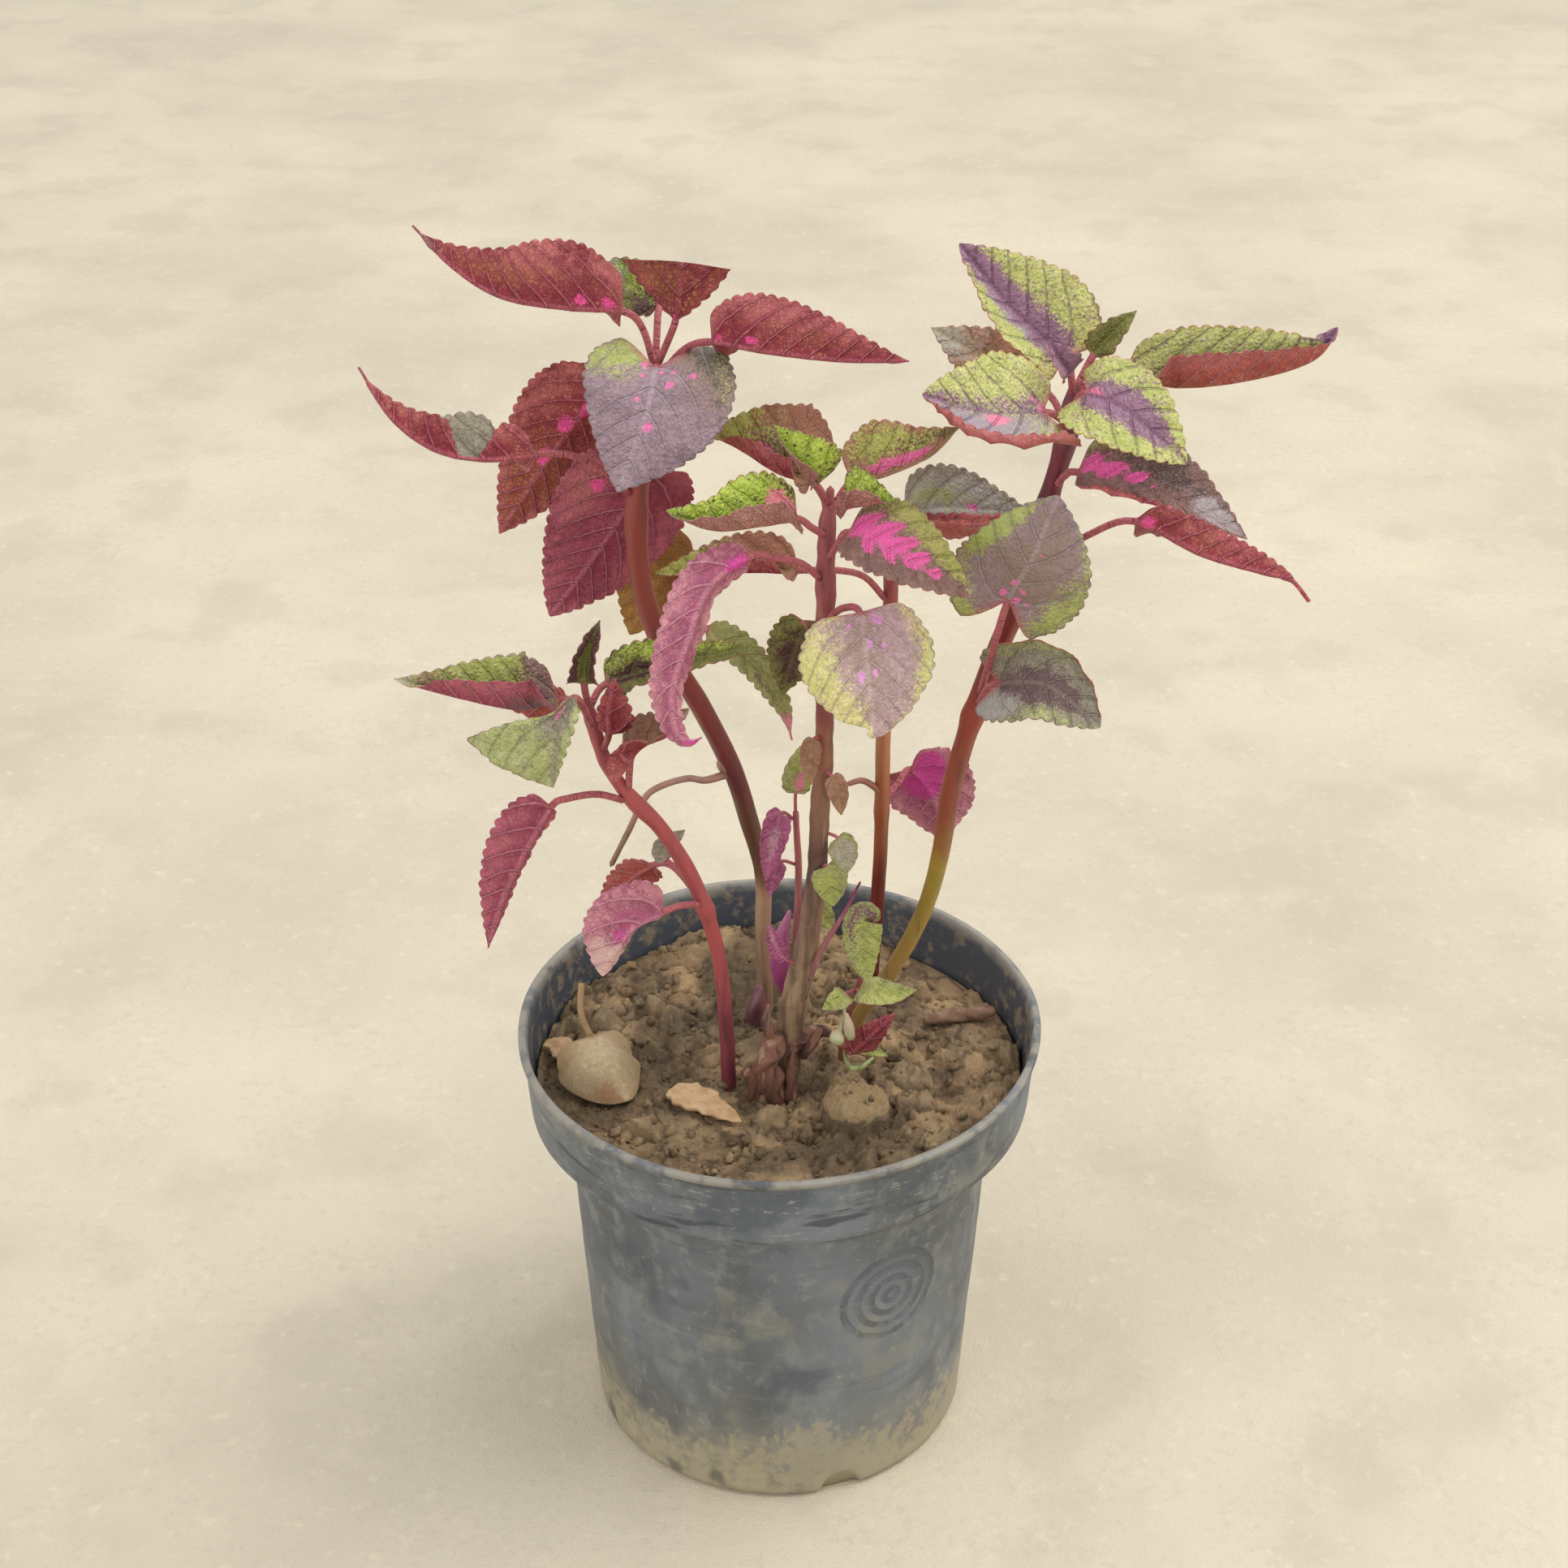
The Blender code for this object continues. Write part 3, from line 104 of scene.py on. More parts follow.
# Each leaf, named for its stem: the axis from the stem along the stalk and midrib, and the number of its
# point where the blade starts. The upper side faces a turn and a rise in degrees, or two such pairs, at the
# base and the tip. Then come the half widths, the folds of the halves, how much they curl, how round the
# outline is and how far the base sweeps back. A tail is a thin end. A bite is a half (1 first, -1 second,
# 0 both), a place, a reach and a share cut out. A wedge is a half with a corner at a place, and a power. A
# notch carries the margin forward near the tip, and a roll turns the outermost strip of each half.
LEAVES = {
    "left_leaf_1": dict(
        axis=[(-33, 18, 348), (-37, 19, 361), (-42, 20, 365), (-57, 23, 365), (-75, 26, 367),
        (-88, 29, 374), (-99, 30, 386)], face=(90, 5), half=(11, 18), fold=(105, 8), curl=(0, 20),
        sweep=0.1, tail=0.04),
    "left_leaf_2": dict(
        axis=[(-33, 18, 345), (-33, 27, 361), (-33, 31, 362.5), (-39, 38, 364.5), (-46, 45, 366),
        (-51, 50, 363)], face=(-90, 30), half=(8, 6.5), fold=(10, 10), round=0.3, sweep=0.3),
    "left_leaf_3": dict(
        axis=[(-32, 17, 350), (-29, 13, 361), (-27.5, 12, 365.5), (-26.4, 12.5, 372), (-25.5, 14.5, 381)],
        face=(90, 10), half=(16, 13.5), fold=(12, 12), round=1.2, wedge=(0, 0.88, 0.9), notch=0.08),
    "left_leaf_4": dict(
        axis=[(-33, 18, 346), (-25, 16, 356), (-18, 13, 359), (-2, 6, 359), (18, 0, 359), (35, -3, 360)],
        face=(90, 5), half=(15, 10), fold=(8, 105), curl=(20, 0), sweep=0.1),
    "left_leaf_5": dict(
        axis=[(-34, 17, 343), (-33, 12, 348), (-33, 8, 353.5), (-35, -3, 346), (-43, -14, 327)],
        face=((-90, 35), (-90, 25)), half=(19, 22), fold=(5, 5), curl=(-10, -10), round=0.4, sweep=0.7),
    "left_leaf_6": dict(
        start=3,
        axis=[(-39, 15, 311), (-48, 9, 323), (-57, 6, 329), (-66, 4, 330), (-79, 1, 330), (-92, -2, 334),
        (-103, -4, 344), (-111, -4, 359)], face=(90, 5), half=(13, 12), fold=(125, 15), tail=0.05,
        bites=[(-1, 0.33, 0.12, 1.1), (1, 0.32, 0.20, -0.20)]),
    "left_leaf_7": dict(
        axis=[(-37, 16, 328), (-41, 26, 335), (-48, 32, 338), (-63, 38, 318), (-82, 42, 288)],
        face=((90, 15), (90, 5)), half=(18, 17), fold=(10, 10), round=0.4, sweep=0.3),
    "left_leaf_8": dict(
        axis=[(-40, 15, 306), (-39, 22, 313), (-37, 26, 315), (-50, 29, 292), (-67, 28, 268)],
        face=((90, 15), (90, 5)), half=(18, 20), fold=(8, 8), round=0.6, sweep=0.4),
    "left_leaf_9": dict(
        axis=[(-31, 17, 262), (-25, 32, 264), (-25, 44, 280), (-34, 48, 272), (-45, 47, 252)],
        face=((90, 15), (90, 5)), half=(15, 15), fold=(5, 5), round=0.6, sweep=0.3),
    "left_leaf_10": dict(
        axis=[(-32, 16, 262), (-26, 15, 269), (-21, 15, 271), (-8, 12, 262), (1, 9, 249), (4, 7, 238)],
        face=((-90, 40), (-90, 20)), half=(5, 5.5), fold=(30, 30), tail=0.03),
    "centre_leaf_1": dict(
        axis=[(13, -12, 318), (12, -6, 323), (9, -4, 325.5), (0, 0, 327), (-10, 6, 331), (-19, 10, 334)],
        face=(-90, 30), half=(20, 8), fold=(10, 125), round=0.3, sweep=0.2),
    "centre_leaf_2": dict(
        start=1, axis=[(14, -12, 322), (10, -18, 331), (6, -19, 337), (-1, -20, 349)], face=(-90, 30),
        half=(11, 4), fold=(10, 125), round=0.1, sweep=0.1),
    "centre_leaf_3": dict(
        start=1, axis=[(14, -12, 320), (20, -7, 327), (29, -5, 328.5), (40, -2, 332.5), (49, 0, 340)],
        face=(-90, 30), half=(2.5, 14.5), fold=(125, 10), round=0.2, sweep=0.1),
    "centre_leaf_4": dict(
        start=1, axis=[(14, -12, 322), (18, -18, 325), (23, -21, 327), (31, -23, 329)], face=(-90, 30),
        half=(7, 10), fold=(128, -5), round=0.3, sweep=0.1),
    "centre_leaf_5": dict(
        axis=[(13, -12, 313), (9, -19, 319), (5, -22, 323), (-4, -27, 324), (-17, -32, 325),
        (-29, -36, 332)], face=(-90, 30), half=(13.5, 9), fold=(10, 128), round=0.3, sweep=0.1),
    "centre_leaf_6": dict(
        axis=[(13, -12, 305), (16, -19, 314), (19, -22, 319), (32, -34, 318), (51, -43, 310)],
        face=(-90, 45), half=(9, 14), fold=(15, 5), round=0.4, sweep=0.2),
    "centre_leaf_7": dict(
        start=3,
        axis=[(13, -12, 299), (6, -20, 309), (-1, -25, 313), (-7, -30, 316), (-18, -38, 311),
        (-24, -45, 298), (-28, -49, 286), (-27.5, -51, 276), (-24, -51.5, 271.5), (-20, -51, 273)],
        face=(100, 0), half=(7, 8.5), fold=(45, 25), sweep=0.1),
    "centre_leaf_8": dict(
        axis=[(13, -12, 288), (18, -21, 296), (22, -28, 298), (24, -42, 287), (26, -47, 270)],
        face=((-90, 40), (-90, 25)), half=(18.5, 19), fold=(-5, -5), curl=(-20, -20), round=1.0, sweep=0.15,
        bites=[(1, 0.93, 0.05, 0.75)]),
    "centre_leaf_9": dict(
        start=1, axis=[(13, -12, 279), (8, -6, 283), (4, 0, 270), (1, 4, 255)], face=((-90, 30), (-90, 20)),
        half=(8, 8), fold=(10, 10), round=0.3, sweep=0.1),
    "back_leaf_1": dict(
        axis=[(34, 34, 289), (35, 29, 297), (36, 26, 302), (46, 22, 306), (59, 22, 305), (73, 24, 303)],
        face=(-90, 40), half=(10, 12), fold=(30, 15), curl=(40, 0), round=0.1, roll=(120, 0)),
    "back_leaf_2": dict(
        axis=[(34, 34, 285), (39, 38, 291), (43, 40, 293), (56, 42, 291), (72, 44, 292)], face=(90, 5),
        half=(8, 8), fold=(30, 30)),
    "back_leaf_3": dict(
        start=3,
        axis=[(33, 36, 268), (25, 30, 280), (17, 22, 286), (6, 18, 288), (-14, 18, 288), (-36, 18, 287)],
        face=(-90, 30), half=(11, 6), fold=(10, 125), round=0.1),
    "back_leaf_4": dict(
        axis=[(32, 42, 196), (37, 46, 200), (41, 50, 203), (49, 53, 190), (52, 54, 175)],
        face=((90, 10), (90, 0)), half=(15, 14), fold=(5, 5), round=0.6, sweep=0.4),
    "right_leaf_1": dict(
        start=1, axis=[(79, -1, 351), (77, 7, 357), (63, 11, 369), (48, 15, 386)], face=(-90, 35),
        half=(17.5, 13), fold=(10, 45), round=0.4, sweep=0.3),
    "right_leaf_2": dict(
        axis=[(79, -1, 349), (86, 2, 354), (92, 2, 354), (107, 0, 352), (126, -2, 355), (142, -1, 360),
        (148, 1, 368)], face=(-90, 30), half=(12, 15.5), fold=(135, 20), round=0.4),
    "right_leaf_3": dict(
        axis=[(78, -2, 341), (74, -10, 347), (70, -14, 350), (53, -23, 354), (37, -28, 361)],
        face=(-90, 50), half=(17, 20), fold=(10, 10), curl=(0, 30), round=0.6, sweep=0.45, roll=(0, 150)),
    "right_leaf_4": dict(
        axis=[(78, -2, 338), (75, 7, 344), (71, 13, 346), (58, 23, 350), (42, 29, 357)], face=(-90, 35),
        half=(10, 11), fold=(10, 10), round=0.3, sweep=0.1),
    "right_leaf_5": dict(
        start=1, axis=[(79, -2, 346), (81, -11, 354), (92, -19, 352), (107, -25, 340)], face=(-90, 45),
        half=(13, 12.5), fold=(10, 5), round=0.5, sweep=0.55),
    "right_leaf_6": dict(
        axis=[(74, -3, 322), (77, -8, 329), (80, -11, 331.5), (101, -20, 329.5), (125, -24, 318)],
        face=((-90, 55), (-90, 50)), half=(8, 16.5), fold=(20, 0), round=0.3, sweep=0.1, roll=(150, 0)),
    "right_leaf_7": dict(
        axis=[(69, -5, 299), (85, -1, 308), (98, 2, 311), (118, 4, 300), (137, 6, 293), (144, 6, 291),
        (150, 6, 284)], face=(90, 5), half=(8.5, 8.5), fold=(30, 80), tail=0.14),
    "right_leaf_8": dict(
        axis=[(57, -4, 257), (58.5, -17, 278), (62, -23, 299), (68, -27, 315), (74, -22, 330)],
        face=((-90, 15), (-90, 25)), half=(18.5, 18.5), fold=(5, 5), curl=(-10, -10), round=0.55,
        sweep=0.75),
    "right_leaf_9": dict(
        axis=[(56, -4, 255), (58.5, -15, 268), (61, -20, 272), (74, -27, 275), (88, -34, 266)],
        face=(-90, 45), half=(13, 14), fold=(15, 5), round=0.6, sweep=0.7, roll=(0, 120)),
    "right_leaf_10": dict(
        start=1, axis=[(79, -1, 349), (77, -7, 358), (74, -9, 363), (71, -10, 368)], face=(-90, 40),
        half=(5, 5), fold=(40, 40), round=0.2),
    "right_leaf_11": dict(
        start=1, axis=[(79, -1, 350), (84, 3, 359), (88, 4, 364), (95, 5, 371)], face=(-90, 40),
        half=(5, 5), fold=(40, 40), round=0.2),
    "low_leaf_1": dict(
        start=1,
        axis=[(-52, -33, 272), (-59, -38, 277), (-69, -42, 277), (-84, -47, 283), (-101, -50, 290)],
        face=(-90, 30), half=(15, 11), fold=(15, 140)),
    "low_leaf_2": dict(
        start=1, axis=[(-52, -33, 270), (-58, -27, 271), (-66, -27, 270), (-77, -27, 270)], face=(90, 10),
        half=(7, 5), fold=(10, 10), round=0.5, sweep=0.1),
    "low_leaf_3": dict(
        start=1, axis=[(-52, -33, 273), (-52, -38, 282), (-51, -40, 291), (-47, -40, 302)], face=(-90, 20),
        half=(6, 6), fold=(58, 58)),
    "low_leaf_4": dict(
        start=1, axis=[(-52, -33, 271), (-47, -28.5, 276.5), (-30, -26, 281), (-5, -24, 286)],
        face=(-90, 40), half=(7, 8.5), fold=(50, 25)),
    "low_leaf_5": dict(
        start=1, axis=[(-51, -33, 265), (-54, -46, 282), (-58, -52, 278), (-60, -55, 270), (-60, -56, 260)],
        face=((-90, 45), (-90, 35)), half=(23, 5), fold=(5, 20), round=0.5, sweep=-0.35,
        wedge=(1, 0.60, 1.6)),
    "low_leaf_6": dict(
        start=1, axis=[(-47, -31, 257), (-46, -37, 266), (-46, -38, 273), (-44, -39, 284)], face=(90, 5),
        half=(3, 7), fold=(10, 10), round=0.5, sweep=0.1),
    "low_leaf_7": dict(
        axis=[(-41, -30, 243), (-41, -33, 252), (-40, -35, 258), (-36, -37, 263), (-30, -39, 267),
        (-24, -41, 276)], face=((-90, 70), (-90, 60)), half=(11, 8), fold=(60, 30), round=0.5, sweep=0.8),
    "low_leaf_8": dict(
        start=3,
        axis=[(-40, -30, 239), (-50, -36, 246), (-58, -40, 247), (-62, -42, 246), (-70, -46, 233),
        (-77, -46, 217), (-82, -44, 200)], face=(95, 5), half=(4.5, 11), fold=(55, 28), sweep=0.2),
    "low_leaf_9": dict(
        axis=[(-22, -22, 200), (-28, -33, 207), (-33, -38, 208), (-42, -43, 205), (-50, -45, 191)],
        face=(90, 10), half=(4, 14), fold=(50, 10), round=0.8, sweep=0.15),
    "low_leaf_10": dict(
        axis=[(-22, -22, 202), (-31, -12, 207), (-37, -7, 204), (-46, -2, 194), (-54, 2, 182)],
        face=(90, 10), half=(7, 6), fold=(10, 10), round=0.4, sweep=0.1),
}

# Small leaves at the stems, each as its axis.
SPRIGS = {
    "centre_stem": [
        [(11, -12, 206), (14, -15, 209), (15, -16, 204), (16, -17, 196)],
        [(12, -12, 219), (17, -14, 218), (19, -15, 213), (20, -16, 207)],
        [(13, -12, 250), (10, -16, 252), (9, -17, 246), (9, -18, 238)],
        [(12, -12, 240), (15, -16, 240), (17, -17, 235), (18, -18, 228)],
        [(7, -12, 172), (2, -15, 176), (-1, -16, 182), (-3, -17, 190)],
        [(13, -12, 283), (10.5, -15, 287), (9.5, -16, 287.5), (7, -17, 290)],
        [(13, -12, 283), (16, -14, 287), (17, -14.5, 287.5), (20, -15, 290)]],
    "low_stem": [[(-26, -24, 213), (-32, -18, 213), (-33, -15, 215), (-27, -13, 220)]],
}

# Leafless stalks and an old stump, as points with their radius.
BARE_STALKS = {
    "left_stem": [
        (-15, 22, 218, 1.4), (-22, 15, 220, 1.1), (-27, 11, 223, 1.0), (-34, 7, 223, 1.0),
        (-39, 4, 221, 1.0), (-44, 2, 211, 0.9), (-50, 0, 199, 0.8)],
    "back_stem": [(32, 41, 200, 1.2), (26, 38, 206, 1.0), (21, 36, 206, 0.8)],
    "centre_stem": [(-2, -12, 117, 3.0), (-5, -15, 128, 3.4), (-8, -18, 135, 2.6), (-10, -20, 139, 1.6)],
}

SPROUTS = {
    "front_sprout": [(19, -1, 114, 1.2), (20, -3, 140, 1.1), (24, -5, 158, 1.0), (28, -6, 174, 0.8)],
    "back_sprout": [(4, 10, 114, 1.3), (5, 8, 160, 1.2), (6, 6, 190, 1.1), (5, 5, 216, 0.9)],
}

# Each leaf's looks: the finish of its upper side and of its underside, then its marks. A mark is a tint with
# its place along and across the blade, its reach both ways and its strength. An edge mark gives the side
# (1 first half, -1 second half, 0 both), where it starts across the blade, and its strength.
LOOKS = {
    "left_leaf_1": ("mauve", "crimson", [
        ("pink", 0.07, -0.16, 0.030, 0.10, 1.3), ("pink", 0.19, -0.14, 0.030, 0.08, 1.2),
        ("pink", 0.02, -0.20, 0.020, 0.08, 0.9), ("warm", 0.55, -0.45, 0.30, 0.30, 0.9),
        ("dark", 0.98, 0.0, 0.10, 1.0, 1.2)]),
    "left_leaf_2": ("green", "crimson", [
        ("warm", 0.25, 0.5, 0.4, 0.5, 0.8), ("dark", 0.05, -0.3, 0.25, 0.8, 1.3),
        ("pale", 0.9, 0.0, 0.3, 1.0, 1.2)]),
    "left_leaf_3": ("green", "wine", [
        ("pink", 0.10, 0.25, 0.05, 0.1, 1.2), ("warm", 0.7, 0.4, 0.4, 0.6, 0.8)]),
    "left_leaf_4": ("green", "crimson", [
        ("pink", 0.04, 0.20, 0.030, 0.10, 1.3), ("pink", 0.22, 0.15, 0.035, 0.08, 1.1),
        ("pink", 0.55, -0.1, 0.02, 0.06, 1.0), ("warm", 0.55, 0.45, 0.30, 0.30, 0.5)]),
    "left_leaf_5": ("mauve", "crimson", [
        ("warm", 0.05, 0.80, 0.20, 0.40, 1.5), ("bright", 0.14, -0.75, 0.30, 0.42, 1.0),
        ("dark", 0.10, -0.85, 0.24, 0.34, 0.8), ("warm", 0.24, -0.90, 0.10, 0.12, 0.5),
        ("pink", 0.02, 0.30, 0.040, 0.07, 1.3), ("pink", 0.07, 0.20, 0.025, 0.05, 1.2),
        ("pink", 0.10, -0.10, 0.030, 0.05, 1.2), ("pink", 0.14, 0.42, 0.030, 0.04, 1.1),
        ("pink", 0.13, -0.30, 0.025, 0.05, 1.1), ("pink", 0.24, -0.22, 0.030, 0.06, 1.2),
        ("pink", 0.20, -0.52, 0.025, 0.05, 1.0), ("pink", 0.38, 0.16, 0.030, 0.04, 1.1),
        ("pink", 0.55, -0.08, 0.030, 0.07, 1.3), ("pink", 0.17, 0.18, 0.020, 0.04, 1.0)]),
    "left_leaf_6": ("greygreen", "crimson", [("dark", 0.97, 0.0, 0.12, 1.0, 0.6)]),
    "left_leaf_7": ("mauve", "crimson", [
        ("pink", 0.08, 0.25, 0.10, 0.22, 1.5), ("pink", 0.20, 0.05, 0.06, 0.12, 1.3),
        ("pink", 0.34, -0.12, 0.05, 0.12, 1.3), ("pink", 0.55, -0.1, 0.05, 0.12, 1.3),
        ("warm", 0.75, -0.2, 0.30, 0.9, 1.2)]),
    "left_leaf_8": ("mauve", "plum", [
        ("pink", 0.25, -0.55, 0.05, 0.08, 1.2), ("warm", 0.25, -0.7, 0.3, 0.3, 0.8)]),
    "left_leaf_9": ("olive", "ochre", [("dark", 0.4, 0.3, 0.2, 0.3, 0.7)]),
    "left_leaf_10": ("lime", "crimson", [
        ("pink", 1.0, 0.0, 0.22, 2.0, 1.4), ("dark", 0.5, 0.5, 0.2, 0.2, 0.6)]),
    "centre_leaf_1": ("olive", "crimson", [
        ("warm", 0.88, 0.0, 0.26, 1.2, 1.4), ("pink", 0.50, 0.12, 0.08, 0.14, 1.4),
        ("pink", 0.68, 0.12, 0.06, 0.10, 1.1), ("dark", 0.3, 0.3, 0.35, 0.35, 0.7),
        ("bright", 0.4, 0.9, 0.6, 0.35, 1.0)]),
    "centre_leaf_2": ("green", "quilt", [
        ("warm", 0.55, 0.4, 0.5, 0.6, 1.4), ("dark", 0.05, 0.3, 0.14, 0.8, 1.1),
        ("pink", 0.30, 0.05, 0.16, 0.10, 0.9)]),
    "centre_leaf_3": ("olive", "quilt", [
        ("warm", 0.35, -0.6, 0.40, 0.40, 0.9), ("pink", 0.35, -0.14, 0.22, 0.12, 1.3),
        ("pink", 0.62, -0.12, 0.12, 0.09, 1.1), ("dark", 0.62, -0.40, 0.25, 0.30, 0.7),
        ("bright", 0.5, -0.9, 0.6, 0.3, 0.9), ("dark", 0.97, 0.0, 0.12, 1.0, 1.2)]),
    "centre_leaf_4": ("green", "quilt", [
        ("pink", 0.12, -0.1, 0.15, 0.30, 1.2), ("dark", 0.4, -0.2, 0.2, 0.2, 0.5),
        ("warm", 0.5, -0.5, 0.5, 0.5, 1.2)]),
    "centre_leaf_5": ("green", "quilt", [
        ("warm", 0.55, 0.5, 0.45, 0.6, 1.5), ("dark", 0.10, 0.75, 0.14, 0.35, 1.0),
        ("pink", 0.14, 0.32, 0.12, 0.34, 1.5), ("pink", 0.44, 0.20, 0.09, 0.14, 1.3),
        ("dark", 0.62, 0.24, 0.09, 0.14, 1.2)]),
    "centre_leaf_6": ("dusk", "crimson", [
        ("pink", 0.08, -0.20, 0.14, 0.36, 1.2), ("pink", 0.30, -0.10, 0.18, 0.42, 1.25),
        ("pink", 0.55, -0.08, 0.16, 0.30, 1.15), ("pink", 0.72, 0.0, 0.08, 0.14, 1.0),
        ("warm", 0.45, -0.95, 0.40, 0.40, 1.2), ("warm", 0.75, -0.75, 0.20, 0.35, 0.9)]),
    "centre_leaf_7": ("mauve", "pink", [
        ("pink", 0.02, 0.0, 0.10, 0.5, 1.0), ("pink", 0.95, 0.0, 0.10, 1.0, 0.7)]),
    "centre_leaf_8": ("faded", "crimson", [
        ("warm", 0.55, 0.92, 0.50, 0.42, 1.5), ("warm", 0.85, 0.62, 0.22, 0.40, 1.0),
        ("warm", 0.45, -1.0, 0.40, 0.22, 1.1), ("bright", 0.4, 0.0, 0.5, 0.5, 0.6),
        ("pink", 0.10, -0.28, 0.06, 0.09, 1.2), ("pink", 0.12, 0.25, 0.05, 0.07, 0.9),
        ("pink", 0.28, -0.06, 0.05, 0.05, 1.0), ("pink", 0.30, -0.28, 0.04, 0.06, 0.8),
        ("pink", 0.52, 0.10, 0.045, 0.07, 1.1), ("pink", 0.50, -0.10, 0.035, 0.05, 1.0)]),
    "centre_leaf_9": ("green", "crimson", [("dark", 0.5, 0.0, 0.5, 0.7, 1.0)]),
    "back_leaf_1": ("greygreen", "crimson", [
        ("warm", 0.25, -0.3, 0.30, 0.30, 0.8), ("pink", 0.55, -0.05, 0.05, 0.12, 1.1),
        ("pale", 0.42, -0.3, 0.42, 0.5, 1.5), ("dark", 0.92, 0.0, 0.12, 1.0, 0.6)]),
    "back_leaf_2": ("olive", "rust", []),
    "back_leaf_3": ("olive", "crimson", [
        ("warm", 0.85, 0.3, 0.25, 0.9, 1.2), ("bright", 0.25, 0.6, 0.3, 0.5, 1.0)]),
    "back_leaf_4": ("mauve", "pink", [
        ("pink", 0.25, 0.0, 0.25, 0.6, 1.0), ("pink", 0.0, 0.6, 0.2, 0.3, 1.0)]),
    "right_leaf_1": ("purple", "crimson", [
        ("warm", "edge", 1, 0.36, 1.5), ("warm", "edge", -1, 0.42, 1.2),
        ("warm", 1.0, 0.0, 0.20, 1.5, -2.0), ("pale", 0.5, -0.5, 0.4, 0.4, 0.7)]),
    "right_leaf_2": ("purple", "rust", [
        ("warm", 0.42, -0.6, 0.50, 0.70, 1.7), ("dark", 0.80, -0.2, 0.12, 0.6, 0.5),
        ("warm", 0.98, 0.0, 0.10, 1.5, -1.0)]),
    "right_leaf_3": ("purple", "rust", [
        ("warm", 0.50, 0.80, 0.50, 0.62, 1.6), ("warm", 0.10, -0.70, 0.16, 0.40, 1.1),
        ("pink", 0.02, 0.08, 0.05, 0.14, 1.3), ("pink", 0.42, -0.12, 0.10, 0.10, 1.2),
        ("pale", 0.4, -0.5, 0.5, 0.5, 1.2), ("pink", 0.10, 0.30, 0.06, 0.08, 0.9)]),
    "right_leaf_4": ("olive", "rust", [
        ("pale", 0.95, 0.0, 0.30, 1.2, 1.3), ("dark", 0.3, 0.0, 0.4, 0.5, 0.7)]),
    "right_leaf_5": ("purple", "crimson", [
        ("warm", "edge", 1, 0.40, 1.5), ("warm", "edge", -1, 0.45, 1.4),
        ("pink", 0.10, -0.12, 0.10, 0.10, 1.1), ("warm", 0.90, 0.2, 0.12, 0.6, 0.8)]),
    "right_leaf_6": ("dusk", "crimson", [
        ("pink", 0.05, -0.25, 0.10, 0.25, 1.3), ("pink", 0.18, -0.20, 0.12, 0.18, 1.2),
        ("pink", 0.36, -0.12, 0.08, 0.10, 1.0), ("warm", 0.22, -0.95, 0.20, 0.30, 1.0),
        ("dark", 0.48, -0.45, 0.32, 0.45, 0.8), ("pale", 0.85, -0.1, 0.18, 0.5, 1.4)]),
    "right_leaf_7": ("greygreen", "crimson", [
        ("pink", 0.04, 0.2, 0.05, 0.3, 1.2), ("warm", 0.30, 0.5, 0.15, 0.3, 0.5)]),
    "right_leaf_8": ("mauve", "crimson", [
        ("warm", 0.55, -0.92, 0.30, 0.28, 1.1), ("warm", 0.72, -0.70, 0.16, 0.20, 0.8),
        ("warm", 0.22, 0.90, 0.20, 0.30, 1.1), ("warm", 0.10, -0.92, 0.12, 0.22, 1.1),
        ("bright", 0.5, 0.1, 0.6, 0.8, 0.9), ("warm", 0.62, 0.98, 0.20, 0.12, 0.8),
        ("pink", 0.06, 0.16, 0.04, 0.08, 1.3), ("pink", 0.10, -0.16, 0.04, 0.06, 1.3),
        ("pink", 0.16, 0.14, 0.03, 0.05, 1.2), ("pink", 0.20, -0.05, 0.03, 0.06, 1.2),
        ("pink", 0.10, 0.40, 0.02, 0.04, 1.0), ("pink", 0.52, 0.1, 0.015, 0.03, 1.0)]),
    "right_leaf_9": ("greygreen", "crimson", [
        ("warm", 0.35, -0.95, 0.25, 0.3, 0.9), ("warm", 0.6, 0.9, 0.3, 0.3, 0.6),
        ("dark", 0.42, 0.1, 0.5, 0.45, 1.3), ("pale", 0.1, 0.7, 0.2, 0.5, 1.2)]),
    "right_leaf_10": ("purple", "crimson", []),
    "right_leaf_11": ("green", "crimson", []),
    "low_leaf_1": ("lime", "plum", [
        ("warm", 0.50, 0.60, 0.30, 0.6, 0.8), ("dark", 0.14, 0.4, 0.26, 0.8, 1.4),
        ("bright", 0.85, 0.4, 0.15, 0.8, 1.0), ("pale", 0.98, 0.0, 0.1, 1.0, 1.0)]),
    "low_leaf_2": ("olive", "rust", []),
    "low_leaf_3": ("green", "crimson", [
        ("dark", "edge", 0, 0.50, 1.4), ("dark", 0.9, 0.0, 0.25, 1.0, 1.2)]),
    "low_leaf_4": ("green", "crimson", [
        ("dark", 0.25, 0.0, 0.3, 0.38, 1.4), ("pink", 0.08, 0.0, 0.04, 0.1, 0.9),
        ("warm", 0.5, -0.7, 0.4, 0.5, 0.7)]),
    "low_leaf_5": ("greygreen", "crimson", [
        ("warm", "edge", -1, 0.60, 1.6), ("warm", 0.75, 0.45, 0.34, 0.60, 1.1),
        ("warm", 0.35, 0.95, 0.4, 0.30, 1.1), ("pink", 0.24, 0.12, 0.10, 0.07, 1.2),
        ("dark", 0.34, 0.05, 0.16, 0.12, 0.7)]),
    "low_leaf_6": ("mauve", "crimson", []),
    "low_leaf_7": ("olive", "crimson", [("pale", 0.9, 0.5, 0.2, 0.5, 1.2)]),
    "low_leaf_8": ("olive", "plum", []),
    "low_leaf_9": ("mauve", "pink", [
        ("dark", 0.92, 0.0, 0.26, 1.2, 1.5), ("dark", 0.25, 0.85, 0.2, 0.2, 0.5),
        ("pink", 0.50, -0.1, 0.22, 0.20, 0.50)]),
